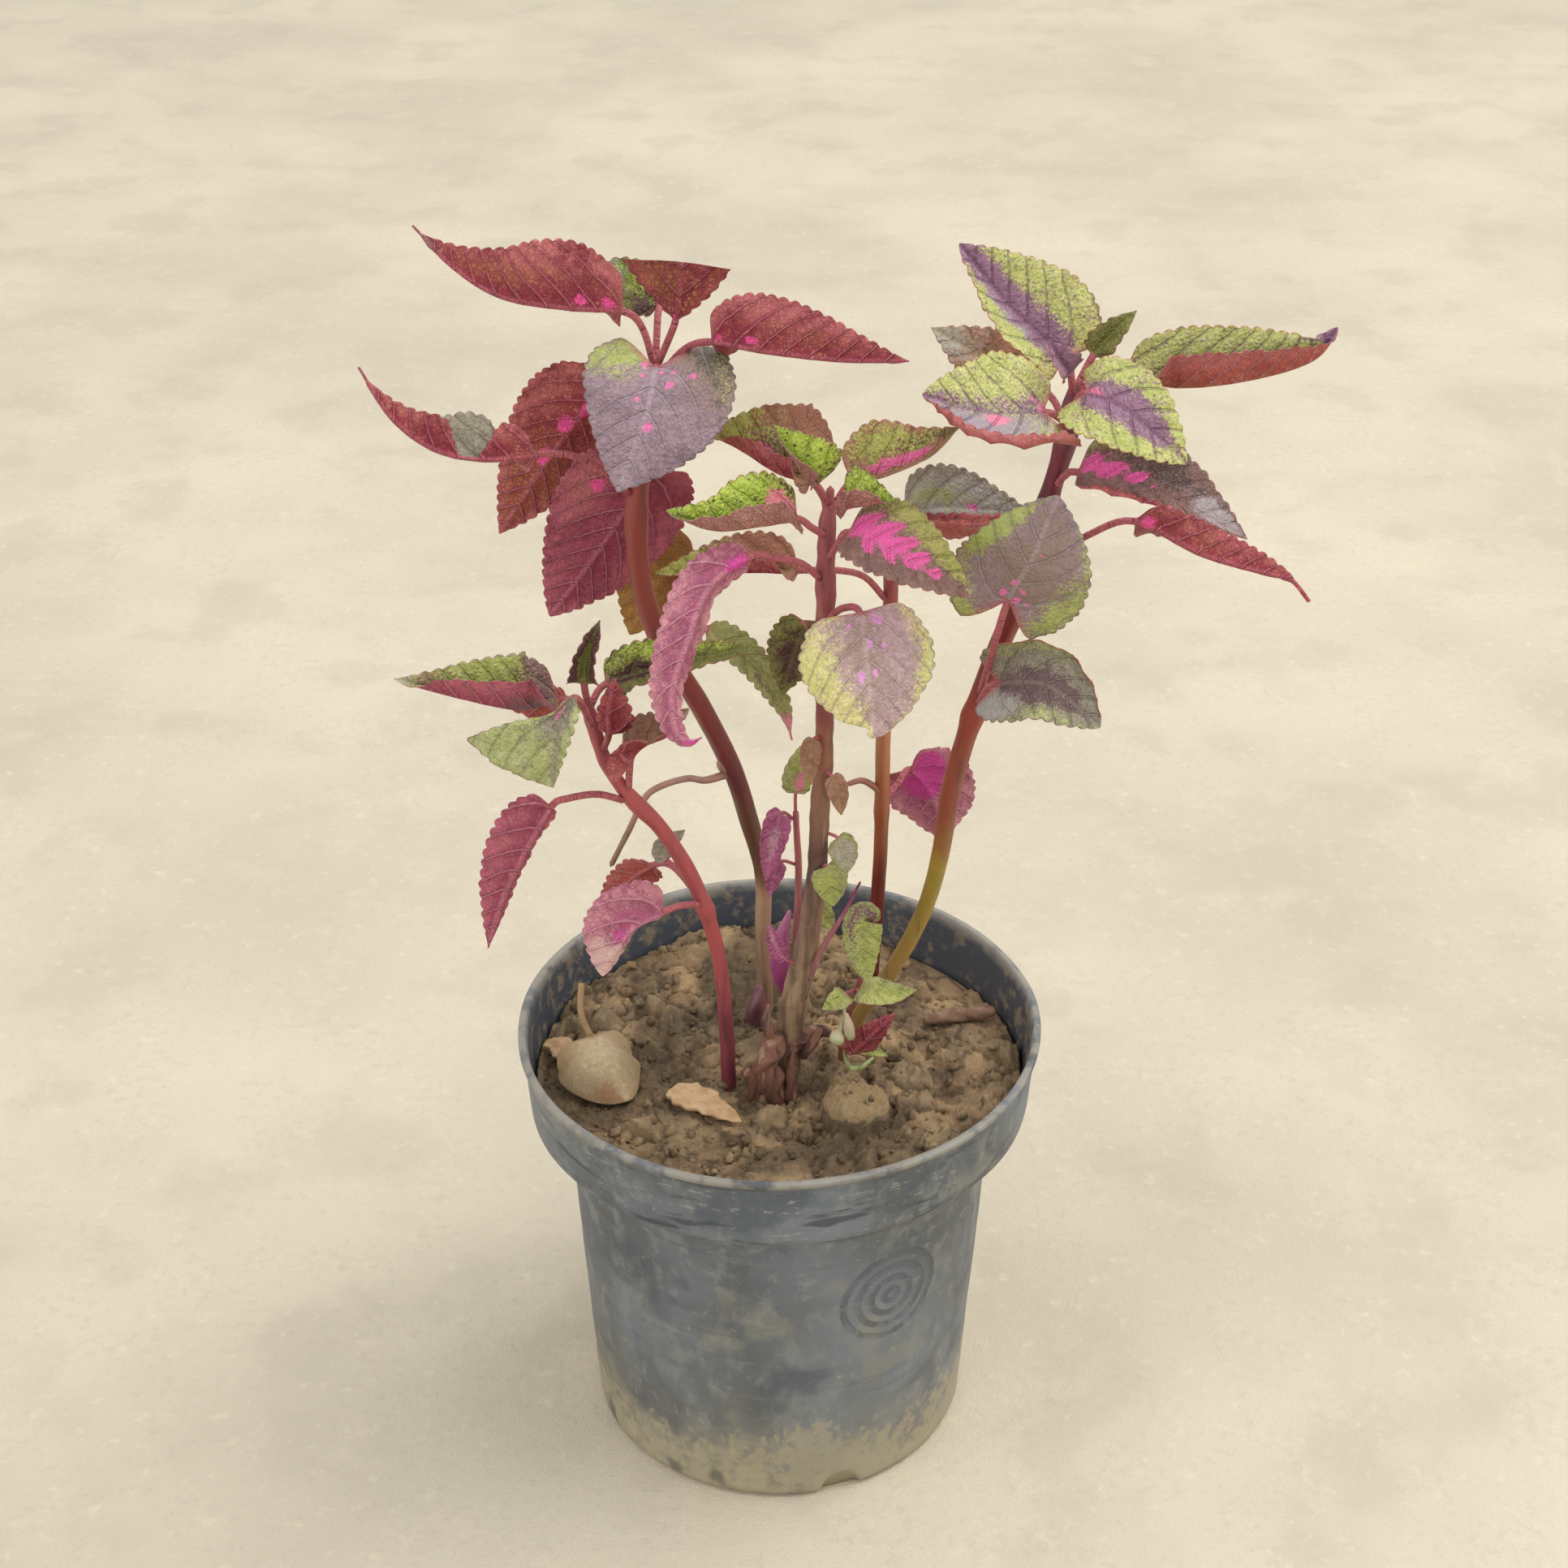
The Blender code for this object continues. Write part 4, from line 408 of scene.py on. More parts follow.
    "low_leaf_10": ("mauve", "rust", []),
}

# The channels of the two colour attributes, in order: five tints that a mark may name, then the leaf's
# stalk and the reach across its blade.
TINTS = ("warm", "pink", "dark", "bright", "pale", "stalk", "across")

# Skin colours of the stems: height in millimetres, then the colour.
STEM_COLOURS = {
    "left_stem": [
        (120, (0.340, 0.215, 0.130)), (172, (0.470, 0.310, 0.200)), (182, (0.150, 0.080, 0.040)),
        (200, (0.120, 0.055, 0.032)), (215, (0.130, 0.026, 0.032)), (240, (0.190, 0.030, 0.026)),
        (290, (0.240, 0.044, 0.030)), (330, (0.270, 0.055, 0.050)), (350, (0.320, 0.075, 0.095))],
    "low_stem": [
        (120, (0.150, 0.035, 0.055)), (150, (0.230, 0.050, 0.075)), (172, (0.400, 0.085, 0.095)),
        (240, (0.370, 0.070, 0.075)), (275, (0.310, 0.075, 0.100))],
    "centre_stem": [
        (120, (0.200, 0.120, 0.075)), (165, (0.360, 0.245, 0.145)), (190, (0.260, 0.160, 0.105)),
        (212, (0.105, 0.055, 0.040)), (228, (0.230, 0.125, 0.075)), (246, (0.330, 0.140, 0.080)),
        (262, (0.220, 0.052, 0.050)), (300, (0.330, 0.085, 0.100)), (328, (0.360, 0.110, 0.125))],
    "back_stem": [
        (120, (0.200, 0.025, 0.030)), (165, (0.190, 0.030, 0.020)), (185, (0.330, 0.100, 0.040)),
        (235, (0.470, 0.210, 0.095)), (268, (0.300, 0.070, 0.070)), (294, (0.330, 0.075, 0.085))],
    "right_stem": [
        (120, (0.330, 0.220, 0.075)), (150, (0.430, 0.300, 0.090)), (200, (0.330, 0.240, 0.030)),
        (208, (0.270, 0.120, 0.030)), (225, (0.260, 0.055, 0.025)), (270, (0.250, 0.035, 0.020)),
        (310, (0.150, 0.018, 0.025)), (353, (0.180, 0.045, 0.070))],
}


def unit(vectors):
    """Vectors scaled to length one."""
    vectors = np.asarray(vectors, float)
    return vectors / np.maximum(np.linalg.norm(vectors, axis=-1, keepdims=True), 1e-12)


def smooth_step(low, high, value):
    """0 below low, 1 above high, and the cubic 3t^2 - 2t^3 between."""
    t = np.clip((value - low) / (high - low), 0.0, 1.0)
    return t * t * (3 - 2 * t)


def spline(points, stations):
    """Smooth curve through points: cubic Hermite, with knots spaced by the root of each chord."""
    points = np.asarray(points, float)
    stations = np.asarray(stations, float)
    chord = np.linalg.norm(np.diff(points[:, :3], axis=0), axis=1) ** 0.5
    knots = np.concatenate([[0.0], np.cumsum(chord)])
    slopes = np.empty_like(points)
    slopes[1:-1] = (points[2:] - points[:-2]) / (knots[2:] - knots[:-2])[:, None]
    slopes[0] = (points[1] - points[0]) / (knots[1] - knots[0])
    slopes[-1] = (points[-1] - points[-2]) / (knots[-1] - knots[-2])
    place = stations * knots[-1]
    i = np.clip(np.searchsorted(knots, place, side="right") - 1, 0, len(points) - 2)
    span = (knots[i + 1] - knots[i])[:, None]
    s = (place[:, None] - knots[i][:, None]) / span
    curve = (2 * s**3 - 3 * s**2 + 1) * points[i] + (s**3 - 2 * s**2 + s) * span * slopes[i]
    curve += (3 * s**2 - 2 * s**3) * points[i + 1] + (s**3 - s**2) * span * slopes[i + 1]
    return curve, knots / knots[-1]


def facing(turn, rise):
    """The direction at a turn from +X and a rise above level, both in degrees."""
    turn = math.radians(turn)
    rise = math.radians(rise)
    return np.array([
        math.cos(turn) * math.cos(rise), math.sin(turn) * math.cos(rise), math.sin(rise)])


def outline(u, roundness):
    """Half width along a blade, 1 at its widest: u^a (1 - u)^b, a from 0.5, b from 1.2."""
    base_power = 0.5 - 0.08 * roundness
    tip_power = 1.2 - 0.5 * roundness
    widest = base_power / (base_power + tip_power)
    top = widest**base_power * (1 - widest) ** tip_power
    return u**base_power * (1 - u) ** tip_power / top


def wedge(u, corner, power):
    """Half width of a blade with a corner: (u / corner)^power up to it, then (1 - u) / (1 - corner)."""
    return np.clip(np.minimum((u / corner) ** power, (1 - u) / (1 - corner)), 0.0, 1.0)


def running_length(curve):
    """Distance along a run of points."""
    return np.concatenate([[0.0], np.cumsum(np.linalg.norm(np.diff(curve, axis=0), axis=1))])


def cells(x, y, size, seed):
    """Distances to the nearest and next nearest of scattered points, one in each square of a grid.

    Also returns a number from 0 to 1 that belongs to the nearest point.
    """
    column = np.floor(x / size)
    row = np.floor(y / size)
    best = np.full(np.shape(x), 1e9)
    second = np.full(np.shape(x), 1e9)
    owner = np.zeros(np.shape(x))
    for a in (-1, 0, 1):
        for b in (-1, 0, 1):
            i = column + a
            j = row + b
            one = np.mod(np.sin(i * 127.1 + j * 311.7 + seed) * 43758.5453, 1.0)
            two = np.mod(np.sin(i * 269.5 + j * 183.3 + seed * 1.7) * 43758.5453, 1.0)
            gap = np.hypot((i + 0.15 + 0.7 * one) * size - x, (j + 0.15 + 0.7 * two) * size - y)
            nearer = gap < best
            second = np.where(nearer, best, np.minimum(second, gap))
            owner = np.where(nearer, np.mod(one * 7.31 + two * 3.77, 1.0), owner)
            best = np.where(nearer, gap, best)
    return best / size, second / size, owner


def ripple(x, y, size, seed):
    """Smooth uneven waves from -1 to 1: the mean of five sines that run in scattered directions."""
    total = 0.0
    for k in range(5):
        turn = 2.4 * k + seed
        pitch = size * (0.6 + 0.23 * k)
        wave = TAU * (x * math.cos(turn) + y * math.sin(turn)) / pitch
        total = total + np.sin(wave + 1.9 * k * k + seed)
    return total / 3.0


def closed_part(points, slots=0, uv=None, tints=None):
    """One closed surface from rings of points in millimetres, turned to face outwards.

    Quads join each ring to the next, and one face closes the first ring and one the last.
    """
    rows, around = points.shape[:2]
    i = np.arange(rows - 1)[:, None] * around
    j = np.arange(around)[None, :]
    k = (j + 1) % around
    quads = np.stack([i + j, i + k, i + around + k, i + around + j], -1).reshape(-1, 4)
    rings = [np.arange(around)[::-1], (rows - 1) * around + np.arange(around)]
    points = points.reshape(-1, 3)
    corner = (points - points.mean(axis=0))[quads]
    volume = np.einsum("ij,ij->i", corner[:, 0], np.cross(corner[:, 1], corner[:, 2]))
    volume += np.einsum("ij,ij->i", corner[:, 0], np.cross(corner[:, 2], corner[:, 3]))
    if volume.sum() < 0:
        quads = quads[:, ::-1]
        rings = [ring[::-1] for ring in rings]
    return dict(
        points=points, quads=quads, rings=rings, slots=np.zeros(len(quads), int) + slots,
        ring_slot=int(np.max(slots)), uv=np.zeros((len(points), 2)) if uv is None else uv.reshape(-1, 2),
        tints=np.zeros((len(points), 8)) if tints is None else tints.reshape(-1, 8))


def make_piece(name, parts, materials):
    """A smooth mesh object of closed parts, with the map "leaf" and two colour attributes of tints."""
    starts = np.concatenate([[0], np.cumsum([len(part["points"]) for part in parts])])
    quads = np.concatenate([part["quads"] + start for part, start in zip(parts, starts)])
    rings = [ring + start for part, start in zip(parts, starts) for ring in part["rings"]]
    loops = np.concatenate([quads.ravel()] + rings)
    sizes = np.array([4] * len(quads) + [len(ring) for ring in rings])
    slots = np.concatenate(
        [part["slots"] for part in parts] + [[part["ring_slot"]] * len(part["rings"]) for part in parts])
    mesh = bpy.data.meshes.new(name)
    mesh.vertices.add(int(starts[-1]))
    mesh.vertices.foreach_set("co", (np.concatenate([part["points"] for part in parts]) * MM).ravel())
    mesh.loops.add(len(loops))
    mesh.loops.foreach_set("vertex_index", loops)
    mesh.polygons.add(len(sizes))
    mesh.polygons.foreach_set("loop_start", np.concatenate([[0], np.cumsum(sizes)[:-1]]))
    for material in materials:
        mesh.materials.append(material)
    mesh.polygons.foreach_set("material_index", slots.astype(int))
    mesh.update(calc_edges=True)
    layer = mesh.uv_layers.new(name="leaf")
    layer.data.foreach_set("uv", np.concatenate([part["uv"] for part in parts])[loops].ravel())
    tints = np.concatenate([part["tints"] for part in parts])
    for label, chosen in (("tone", tints[:, :4]), ("tone_b", tints[:, 4:])):
        mesh.attributes.new(label, "FLOAT_COLOR", "POINT")
        mesh.attributes[label].data.foreach_set("color", np.ascontiguousarray(chosen, float).ravel())
    mesh.validate()
    mesh.shade_smooth()
    item = bpy.data.objects.new(name, mesh)
    bpy.context.scene.collection.objects.link(item)
    return item


def hand_over(item, slot, *nodes):
    """Lets a piece ride on the plant and stand for its CAD nodes, which it hides; the slot is not used."""
    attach(item, "root")
    if nodes:
        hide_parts(*nodes)


DOME_END = 0.985
BARK_WAVE_LENGTH = 11.0


def tube_part(path, sides, rows, slot=0, rough=0.0, seed=0.0, swellings=(), square=0.0):
    """A closed tube along a smooth path of x, y, z and radius.

    The radius is r (1 + square cos 4t + rough ripple), with a bell at each swelling, and the last part of
    the run closes in a dome r sqrt(1 - s^2).
    """
    path, _ = spline(path, np.linspace(0, 1, rows))
    centre = path[:, :3]
    along = unit(np.gradient(centre, axis=0))
    side = unit(np.cross(along, [0.0, 1.0, 0.2]))
    other = np.cross(along, side)
    turns = np.arange(sides) * TAU / sides
    ring = np.cos(turns)[None, :, None] * side[:, None] + np.sin(turns)[None, :, None] * other[:, None]
    run = running_length(centre)
    radius = path[:, 3].copy()
    for level, size, reach in swellings:
        radius *= 1 + size * np.exp(-(((centre[:, 2] - level) / reach) ** 2))
    last = max(radius[-1], 0.3)
    radius *= np.sqrt(np.clip(1 - np.clip((run - run[-1] + last) / last, 0, DOME_END) ** 2, 0.0, 1.0))
    shape = 1 + square * np.cos(4 * turns)[None, :]
    shape = shape + rough * ripple(
        run[:, None] + 5 * np.cos(turns), 5 * np.sin(turns) + 0 * run[:, None], BARK_WAVE_LENGTH, seed)
    return closed_part(centre[:, None] + ring * (radius[:, None] * shape)[..., None], slot)


# Leaves

VEIN_PITCH = 7.0
QUILT_HEIGHT = 0.95
SKIN_THICKNESS = 0.5
RIM_DROOP = 10.0
STALK_ROWS = 12
STALK_SUNK = 0.6
BLADE_REACH = 0.994
BLADE_ROWS = (26, 150)
SETTLED = 0.08
LEAST_HALF = 0.25
SIDE_WAVE_LENGTH = 21.0
RIM_WAVE_LENGTH = 11.0
RELIEF_LIMIT = 1.3
STRONGEST_TINT = 1.6
# Rows along a blade for each millimetre, on the large leaves and on the small ones.
LEAF_DENSITY = 2.2
SPRIG_DENSITY = 4.0
SPRIG_STALK_RADIUS = 0.5
HALF_COLUMNS = np.array([0.0, 0.05, 0.11, 0.18, 0.27, 0.38, 0.50, 0.62, 0.74, 0.84, 0.92, 0.97, 1.0])
LEAF_DEFAULTS = dict(
    start=2, curl=(0, 0), round=0.0, sweep=0.0, tail=0.0, bites=(), notch=0.0, wedge=None, roll=(0, 0),
    fine=1.0)


def clear_stem(points, stem, radius):
    """Moves a stalk's first point out along the stalk until its end is sunk only slightly in the stem."""
    stem = stem.copy()
    stem[-1, 3] *= TOP_TAPER
    path, _ = spline(stem, np.linspace(0, 1, 400))
    nearest = int(np.argmin(np.linalg.norm(path[:, :3] - points[0], axis=1)))
    centre = path[nearest, :3]
    away = unit(points[1] - centre)
    side = unit(np.cross(away, [0.2, 0.1, 1.0]))
    other = np.cross(away, side)
    turns = np.linspace(0, TAU, 12)[:, None]
    end = radius * (np.cos(turns) * side + np.sin(turns) * other)
    for reach in np.arange(0.0, 12.0, 0.05):
        ring = centre + away * reach + end
        room = np.linalg.norm(ring[:, None] - path[None, :, :3], axis=2) - path[None, :, 3]
        if room.min() > -STALK_SUNK:
            break
    points = points.copy()
    points[0] = centre + away * reach
    return points


def blade_frame(spec, density):
    """The rows of a leaf: u and distance y on the blade, centre, and directions along, side and normal.

    The side the upper skin faces turns evenly from base to tip. Rows before SETTLED keep the side found
    there. The blade's rows lie at u = BLADE_REACH t^1.25, so that they are close together at the base.
    """
    axis = np.asarray(spec["axis"], float)
    _, knots = spline(axis, [0.0])
    start = knots[spec["start"]]
    length = np.linalg.norm(np.diff(axis[spec["start"]:], axis=0), axis=1).sum()
    along_blade = BLADE_REACH * np.linspace(0, 1, int(np.clip(length * density, *BLADE_ROWS))) ** 1.25
    stations = np.concatenate([
        np.linspace(0, start, STALK_ROWS + 1)[:-1], start + (1 - start) * along_blade])
    u = np.concatenate([np.zeros(STALK_ROWS), along_blade])
    centre, _ = spline(axis, stations)
    along = unit(np.gradient(centre, axis=0))
    base, tip = np.broadcast_to(spec["face"], (2, 2))
    upper = facing(*base) * (1 - u)[:, None] + facing(*tip) * u[:, None]
    side = unit(np.cross(along, upper))
    first = int(np.argmax(u >= SETTLED))
    carried = side[first]
    near = np.arange(len(u)) < first
    side[near] = unit(carried - along[near] * (along[near] @ carried)[:, None])
    normal = np.cross(side, along)
    y = running_length(centre)
    y -= y[STALK_ROWS]
    return u, y, centre[:, None], along[:, None], side[:, None], normal[:, None]


def half_width(spec, k, hand, u):
    """Width of a half along the blade: its outline or wedge times its widest place, less its bites."""
    width = spec["half"][k] * outline(np.clip(u / (1 - spec["tail"]), 0.0, 1.0), spec["round"])
    if spec["wedge"] and spec["wedge"][0] in (0, hand):
        width = spec["half"][k] * wedge(u, *spec["wedge"][1:])
    for side, at, run, cut in spec["bites"]:
        if side in (0, hand):
            width = width * (1 - cut * np.exp(-(((u - at) / run) ** 2)))
    return np.maximum(width, LEAST_HALF + 0.35 * spec["tail"] / 0.14)


def half_bend(spec, droop, k, v, fade):
    """Turn of a half out of its level, in radians: a fold that grows by the curl, a rim droop and a roll."""
    bend = np.radians(spec["fold"][k] + spec["curl"][k] * v) * fade
    bend = bend * smooth_step(-0.02, 0.16, v)
    down = np.sign(-spec["fold"][k] - 0.01)
    bend = bend + np.radians(RIM_DROOP) * droop * smooth_step(0.6, 1.0, v) * fade * down
    return bend + np.radians(spec["roll"][k]) * smooth_step(0.66, 1.0, v) * fade


def half_relief(spec, seed, hand, u, y, v, x, width, margin):
    """Relief of both skins: |sin(pi q)| between side veins, slow waves, and a wavy rim.

    q = (y - s x - 0.012 x^2) / pitch for x across and y along in millimetres, and s = 0.55 + 0.02 y up
    to 1.2.
    """
    slope = np.minimum(0.55 + 0.02 * y, 1.2)[:, None]
    q = (y[:, None] - slope * x - 0.012 * x**2) / VEIN_PITCH
    body = smooth_step(0.0, 3.5, x) * (1 - 0.75 * v**6) * smooth_step(0.0, 0.08, u)[:, None]
    relief = QUILT_HEIGHT * (np.abs(np.sin(math.pi * q)) ** 0.65 - 0.6) * body
    waves = ripple(y[:, None] + 0 * x, x * hand, SIDE_WAVE_LENGTH, seed * 3.1)
    relief = relief + 0.7 * waves * (x / 12.0) ** 1.5 * body
    rim = 0.35 * np.sin(TAU * margin / RIM_WAVE_LENGTH + seed * 5)[:, None] * v**4
    relief = relief + rim * smooth_step(2, 8, width)[:, None]
    return np.clip(relief, -RELIEF_LIMIT, RELIEF_LIMIT) * spec["fine"]


def leaf_half(spec, settings, seed, stalk_radius, rows, k, hand):
    """One half of a leaf from its midrib out: its upper skin, its underside and the place of each point.

    The blade is carried across by adding up its direction, swept back by its sweep, and edged with scallops
    |sin(pi s / pitch)|^0.7 in the length s along the margin. A round stalk runs over into it near its base.
    """
    u, y, centre, along, side, normal = rows
    v = HALF_COLUMNS[None, :]
    width = half_width(spec, k, hand, u)
    fade = np.minimum(np.minimum(width / FULL_FOLD, u / FOLD_START), 1.0)[:, None]
    bend = half_bend(spec, settings.droop, k, v, fade)[..., None]
    direction = np.cos(bend) * hand * side + np.sin(bend) * normal
    skin = np.cos(bend) * normal - np.sin(bend) * hand * side
    step = np.diff(HALF_COLUMNS)[None, :, None] * (direction[:, 1:] + direction[:, :-1]) / 2
    carry = np.concatenate([np.zeros((len(u), 1, 3)), np.cumsum(step, axis=1)], axis=1)
    back = spec["sweep"] * spec["half"][k] * v**1.5 * ((1 - u) ** 3)[:, None]
    back = back - spec["notch"] * width[:, None] * v**1.5 * u[:, None] ** 2
    place = centre + carry * width[:, None, None] - along * back[..., None]
    margin = running_length(place[:, -1])
    lobe = np.abs(np.sin(math.pi * margin / settings.scallop_pitch + seed)) ** 0.7 - 0.62
    reach = settings.scallop_depth * spec["fine"] * lobe * smooth_step(0.02, 0.10, u)
    reach = reach * smooth_step(0.5, 4.0, width)
    place += direction * (reach[:, None] * v**7)[..., None]
    x = v * width[:, None]
    place += skin * half_relief(spec, seed, hand, u, y, v, x, width, margin)[..., None]
    thick = SKIN_THICKNESS / 2 * (1 - 0.55 * v**5) + 0 * x
    rib = (0.75 * (1 - u)[:, None] ** 0.7 + 0.1) * np.exp(-((x / 0.8) ** 2))
    groove = 0.35 * np.exp(-((x / 0.7) ** 2)) * smooth_step(0.02, 0.1, u)[:, None]
    lift = (np.sqrt(np.maximum(1 - v**2, 0.0)) * stalk_radius)[..., None]
    flat = centre + hand * side * (v * stalk_radius)[..., None]
    weight = smooth_step(0.0, 0.045, u)[:, None, None]
    skins = []
    for sign, depth in ((1, thick - groove), (-1, thick + rib)):
        stalk = flat + sign * normal * lift
        skins.append(stalk * (1 - weight) + (place + sign * skin * depth[..., None]) * weight)
    places = np.stack([u[:, None] + 0 * x, hand * v + 0 * x, hand * x, y[:, None] + 0 * x], -1)
    return *skins, places


def leaf_tints(places, marks):
    """The strength of each tint at each point: sums of bell curves and edge bands, plus the stalk."""
    u = places[..., 0]
    v = places[..., 1]
    tints = np.zeros(places.shape[:-1] + (8,))
    for tint, *mark in marks:
        if mark[0] == "edge":
            side, begin, strength = mark[1:]
            reach = smooth_step(begin - 0.2, begin + 0.35, np.abs(v))
            if side:
                reach = reach * (v * side > 0)
            reach = reach * smooth_step(-0.05, 0.10, u)
        else:
            at, across, run, spread, strength = mark
            reach = np.exp(-(((u - at) / run) ** 2 + ((v - across) / spread) ** 2))
        tints[..., TINTS.index(tint)] += strength * reach
    tints[..., TINTS.index("stalk")] = 1 - smooth_step(0.0, 0.06, u)
    tints[..., TINTS.index("across")] = np.abs(v)
    return np.clip(tints, 0.0, STRONGEST_TINT)


def leaf_part(spec, marks, settings, seed, slot=0, stalk_radius=STALK_RADIUS, density=LEAF_DENSITY):
    """One leaf as a closed part: its upper skin has the given slot and its underside the next one.

    Along the midrib u runs from 0 at the blade's base to 1 at its tip, and across it v runs from -1 to 1.
    """
    spec = {**LEAF_DEFAULTS, **spec}
    rows = blade_frame(spec, density)
    halves = [
        leaf_half(spec, settings, seed, stalk_radius, rows, k, hand) for k, hand in ((1, -1.0), (0, 1.0))]
    upper, under, places = (
        np.concatenate([right[:, ::-1], left[:, 1:]], axis=1) for right, left in zip(*halves))
    points = np.concatenate([upper, under[:, ::-1]], axis=1)
    places = np.concatenate([places, places[:, ::-1]], axis=1)
    across = points.shape[1] // 2
    slots = np.tile(np.where(np.arange(2 * across) < across - 1, slot, slot + 1), len(points) - 1)
    uv = places[..., 2:] / 100 + (0.5, 0.2)
    return closed_part(points, slots, uv, leaf_tints(places, marks))


def sprig_part(axis, half, marks, settings, seed, slot, fold=15, face=(-90, 35)):
    """A small leaf of a sprig or shoot."""
    spec = dict(
        axis=axis, start=1, face=face, half=(half, half), fold=(fold, fold), round=0.6, sweep=0.15,
        fine=0.35)
    return leaf_part(spec, marks, settings, seed, slot, SPRIG_STALK_RADIUS, SPRIG_DENSITY)


def make_leaves(settings):
    """Every large leaf as a piece of its own in place of its CAD solid, seeded by its place in the list."""
    for number, (name, spec) in enumerate(LEAVES.items()):
        upper, under, marks = LOOKS[name]
        stem = np.asarray(STEMS[name.split("_")[0] + "_stem"], float)
        axis = clear_stem(np.asarray(spec["axis"], float), stem, STALK_RADIUS)
        part = leaf_part({**spec, "axis": axis}, marks, settings, 0.37 + 1.7 * number)
        item = make_piece(name + "_blade", [part], leaf_skins([(upper, under)], settings))
        hand_over(item, "green_leaf", name)


# Shader helpers

class Value:
    """One output of a node. Arithmetic on it adds a Math node and gives that node's result."""

    def __init__(self, tree, socket):
        """Keeps the node tree and the output socket."""
        self.tree = tree
        self.socket = socket

    def __add__(self, other):
        """This plus the other."""
        return calc("ADD", self, other)

    def __sub__(self, other):
        """This less the other."""
        return calc("SUBTRACT", self, other)

    def __rsub__(self, other):
        """The other less this."""
        return calc("SUBTRACT", other, self)

    def __mul__(self, other):
        """This times the other."""
        return calc("MULTIPLY", self, other)

    def __truediv__(self, other):
        """This over the other."""
        return calc("DIVIDE", self, other)

    def __rtruediv__(self, other):
        """The other over this."""
        return calc("DIVIDE", other, self)

    def ramp(self, low, high, first=0.0, last=1.0):
        """A smooth step from first at low to last at high."""
        return add(self.tree, "ShaderNodeMapRange", {
            "Value": self, "From Min": low, "From Max": high, "To Min": first, "To Max": last},
            interpolation_type="SMOOTHSTEP")[0]


def feed(tree, socket, value):
    """Links a socket to a value, or gives it a plain number or colour."""
    if isinstance(value, Value):
        tree.links.new(value.socket, socket)
    elif isinstance(value, tuple) and len(value) == 3 and socket.type == "RGBA":
        socket.default_value = (*value, 1.0)
    else:
        socket.default_value = value


def add(tree, kind, inputs=None, **settings):
    """A node with its settings and inputs; returns its outputs by place and by name."""
    node = tree.nodes.new(kind)
    for label, value in settings.items():
        setattr(node, label, value)
    for label, value in (inputs or {}).items():
        feed(tree, node.inputs[label], value)
    outputs = {}
    for place, socket in enumerate(node.outputs):
        outputs[place] = outputs[socket.name] = Value(tree, socket)
    return outputs


def calc(operation, *values):
    """A Math node's result, for values of which at least one is a Value."""
    tree = next(value.tree for value in values if isinstance(value, Value))
    return add(tree, "ShaderNodeMath", dict(enumerate(values)), operation=operation)[0]


def vector(operation, first, second=(0.0, 0.0, 0.0), scale=1.0):
    """A Vector Math node's outputs: its vector, then its value."""
    return add(first.tree, "ShaderNodeVectorMath", {0: first, 1: second, 3: scale}, operation=operation)


def blend(share, first, second, kind="MIX"):
    """A colour mix."""
    return add(
        share.tree, "ShaderNodeMix", {0: share, 6: first, 7: second}, data_type="RGBA", blend_type=kind)[2]


def noise(place, scale, detail=3.0, roughness=0.55):
    """The value of a noise texture."""
    return add(place.tree, "ShaderNodeTexNoise", {
        "Vector": place, "Scale": scale, "Detail": detail, "Roughness": roughness})[0]


def shade(colour, factor, most=1e9):
    """A colour times a factor, each channel no more than most."""
    return tuple(min(factor * channel, most) for channel in colour)


def object_place(tree):
    """Object coordinates, in metres."""
    return add(tree, "ShaderNodeTexCoord")["Object"]


def split(place):
    """The parts of a vector."""
    return add(place.tree, "ShaderNodeSeparateXYZ", {0: place})


def vein_group(group, given):
    """Side veins, midrib and fine net of a blade, from its own map in millimetres.

    A side vein runs where (y - s x - 0.012 x^2) / pitch is whole, with s = 0.55 + 0.02 y up to 1.2 and a
    slight wander.
    """
    uv = add(group, "ShaderNodeUVMap", uv_map="leaf")[0]
    scaled = vector("SCALE", vector("ADD", uv, (-0.5, -0.2, 0.0))[0], scale=100.0)[0]
    y = split(scaled)[1]
    x = calc("ABSOLUTE", split(scaled)[0])
    slope = calc("MINIMUM", calc("MULTIPLY_ADD", y, 0.02, 0.55), 1.2)
    run = y - x * slope - x * x * 0.012 + (noise(scaled, 0.16, 2.0) - 0.5) * 1.6
    apart = calc("ABSOLUTE", calc("FRACT", run / given["Pitch"] + 0.5) - 0.5) * given["Pitch"] * 0.78
    width = given["Vein Width"] * x.ramp(0.0, 22.0, 1.25, 0.45)
    place = vector("SCALE", object_place(group), scale=1000.0)[0]
    moved = vector("ADD", place, noise(place, 0.5, 2.0))[0]
    net, branch = [
        add(group, "ShaderNodeTexVoronoi", {"Vector": moved, "Scale": size / given["Net Size"]},
            feature="DISTANCE_TO_EDGE")["Distance"] for size in (1.0, 0.36)]
    dots = add(group, "ShaderNodeTexVoronoi", {"Vector": place, "Scale": 0.42})["Distance"]
    lines = calc("MAXIMUM", branch.ramp(0.01, 0.07, 1.0, 0.0), net.ramp(0.01, 0.09, 0.6, 0.0))
    return (
        (apart / width).ramp(0.35, 1.25, 1.0, 0.0), x.ramp(0.35, 0.95, 1.0, 0.0), lines, net.ramp(0.0, 0.36),
        dots.ramp(0.13, 0.26, 1.0, 0.0), apart.ramp(0.0, 2.7))


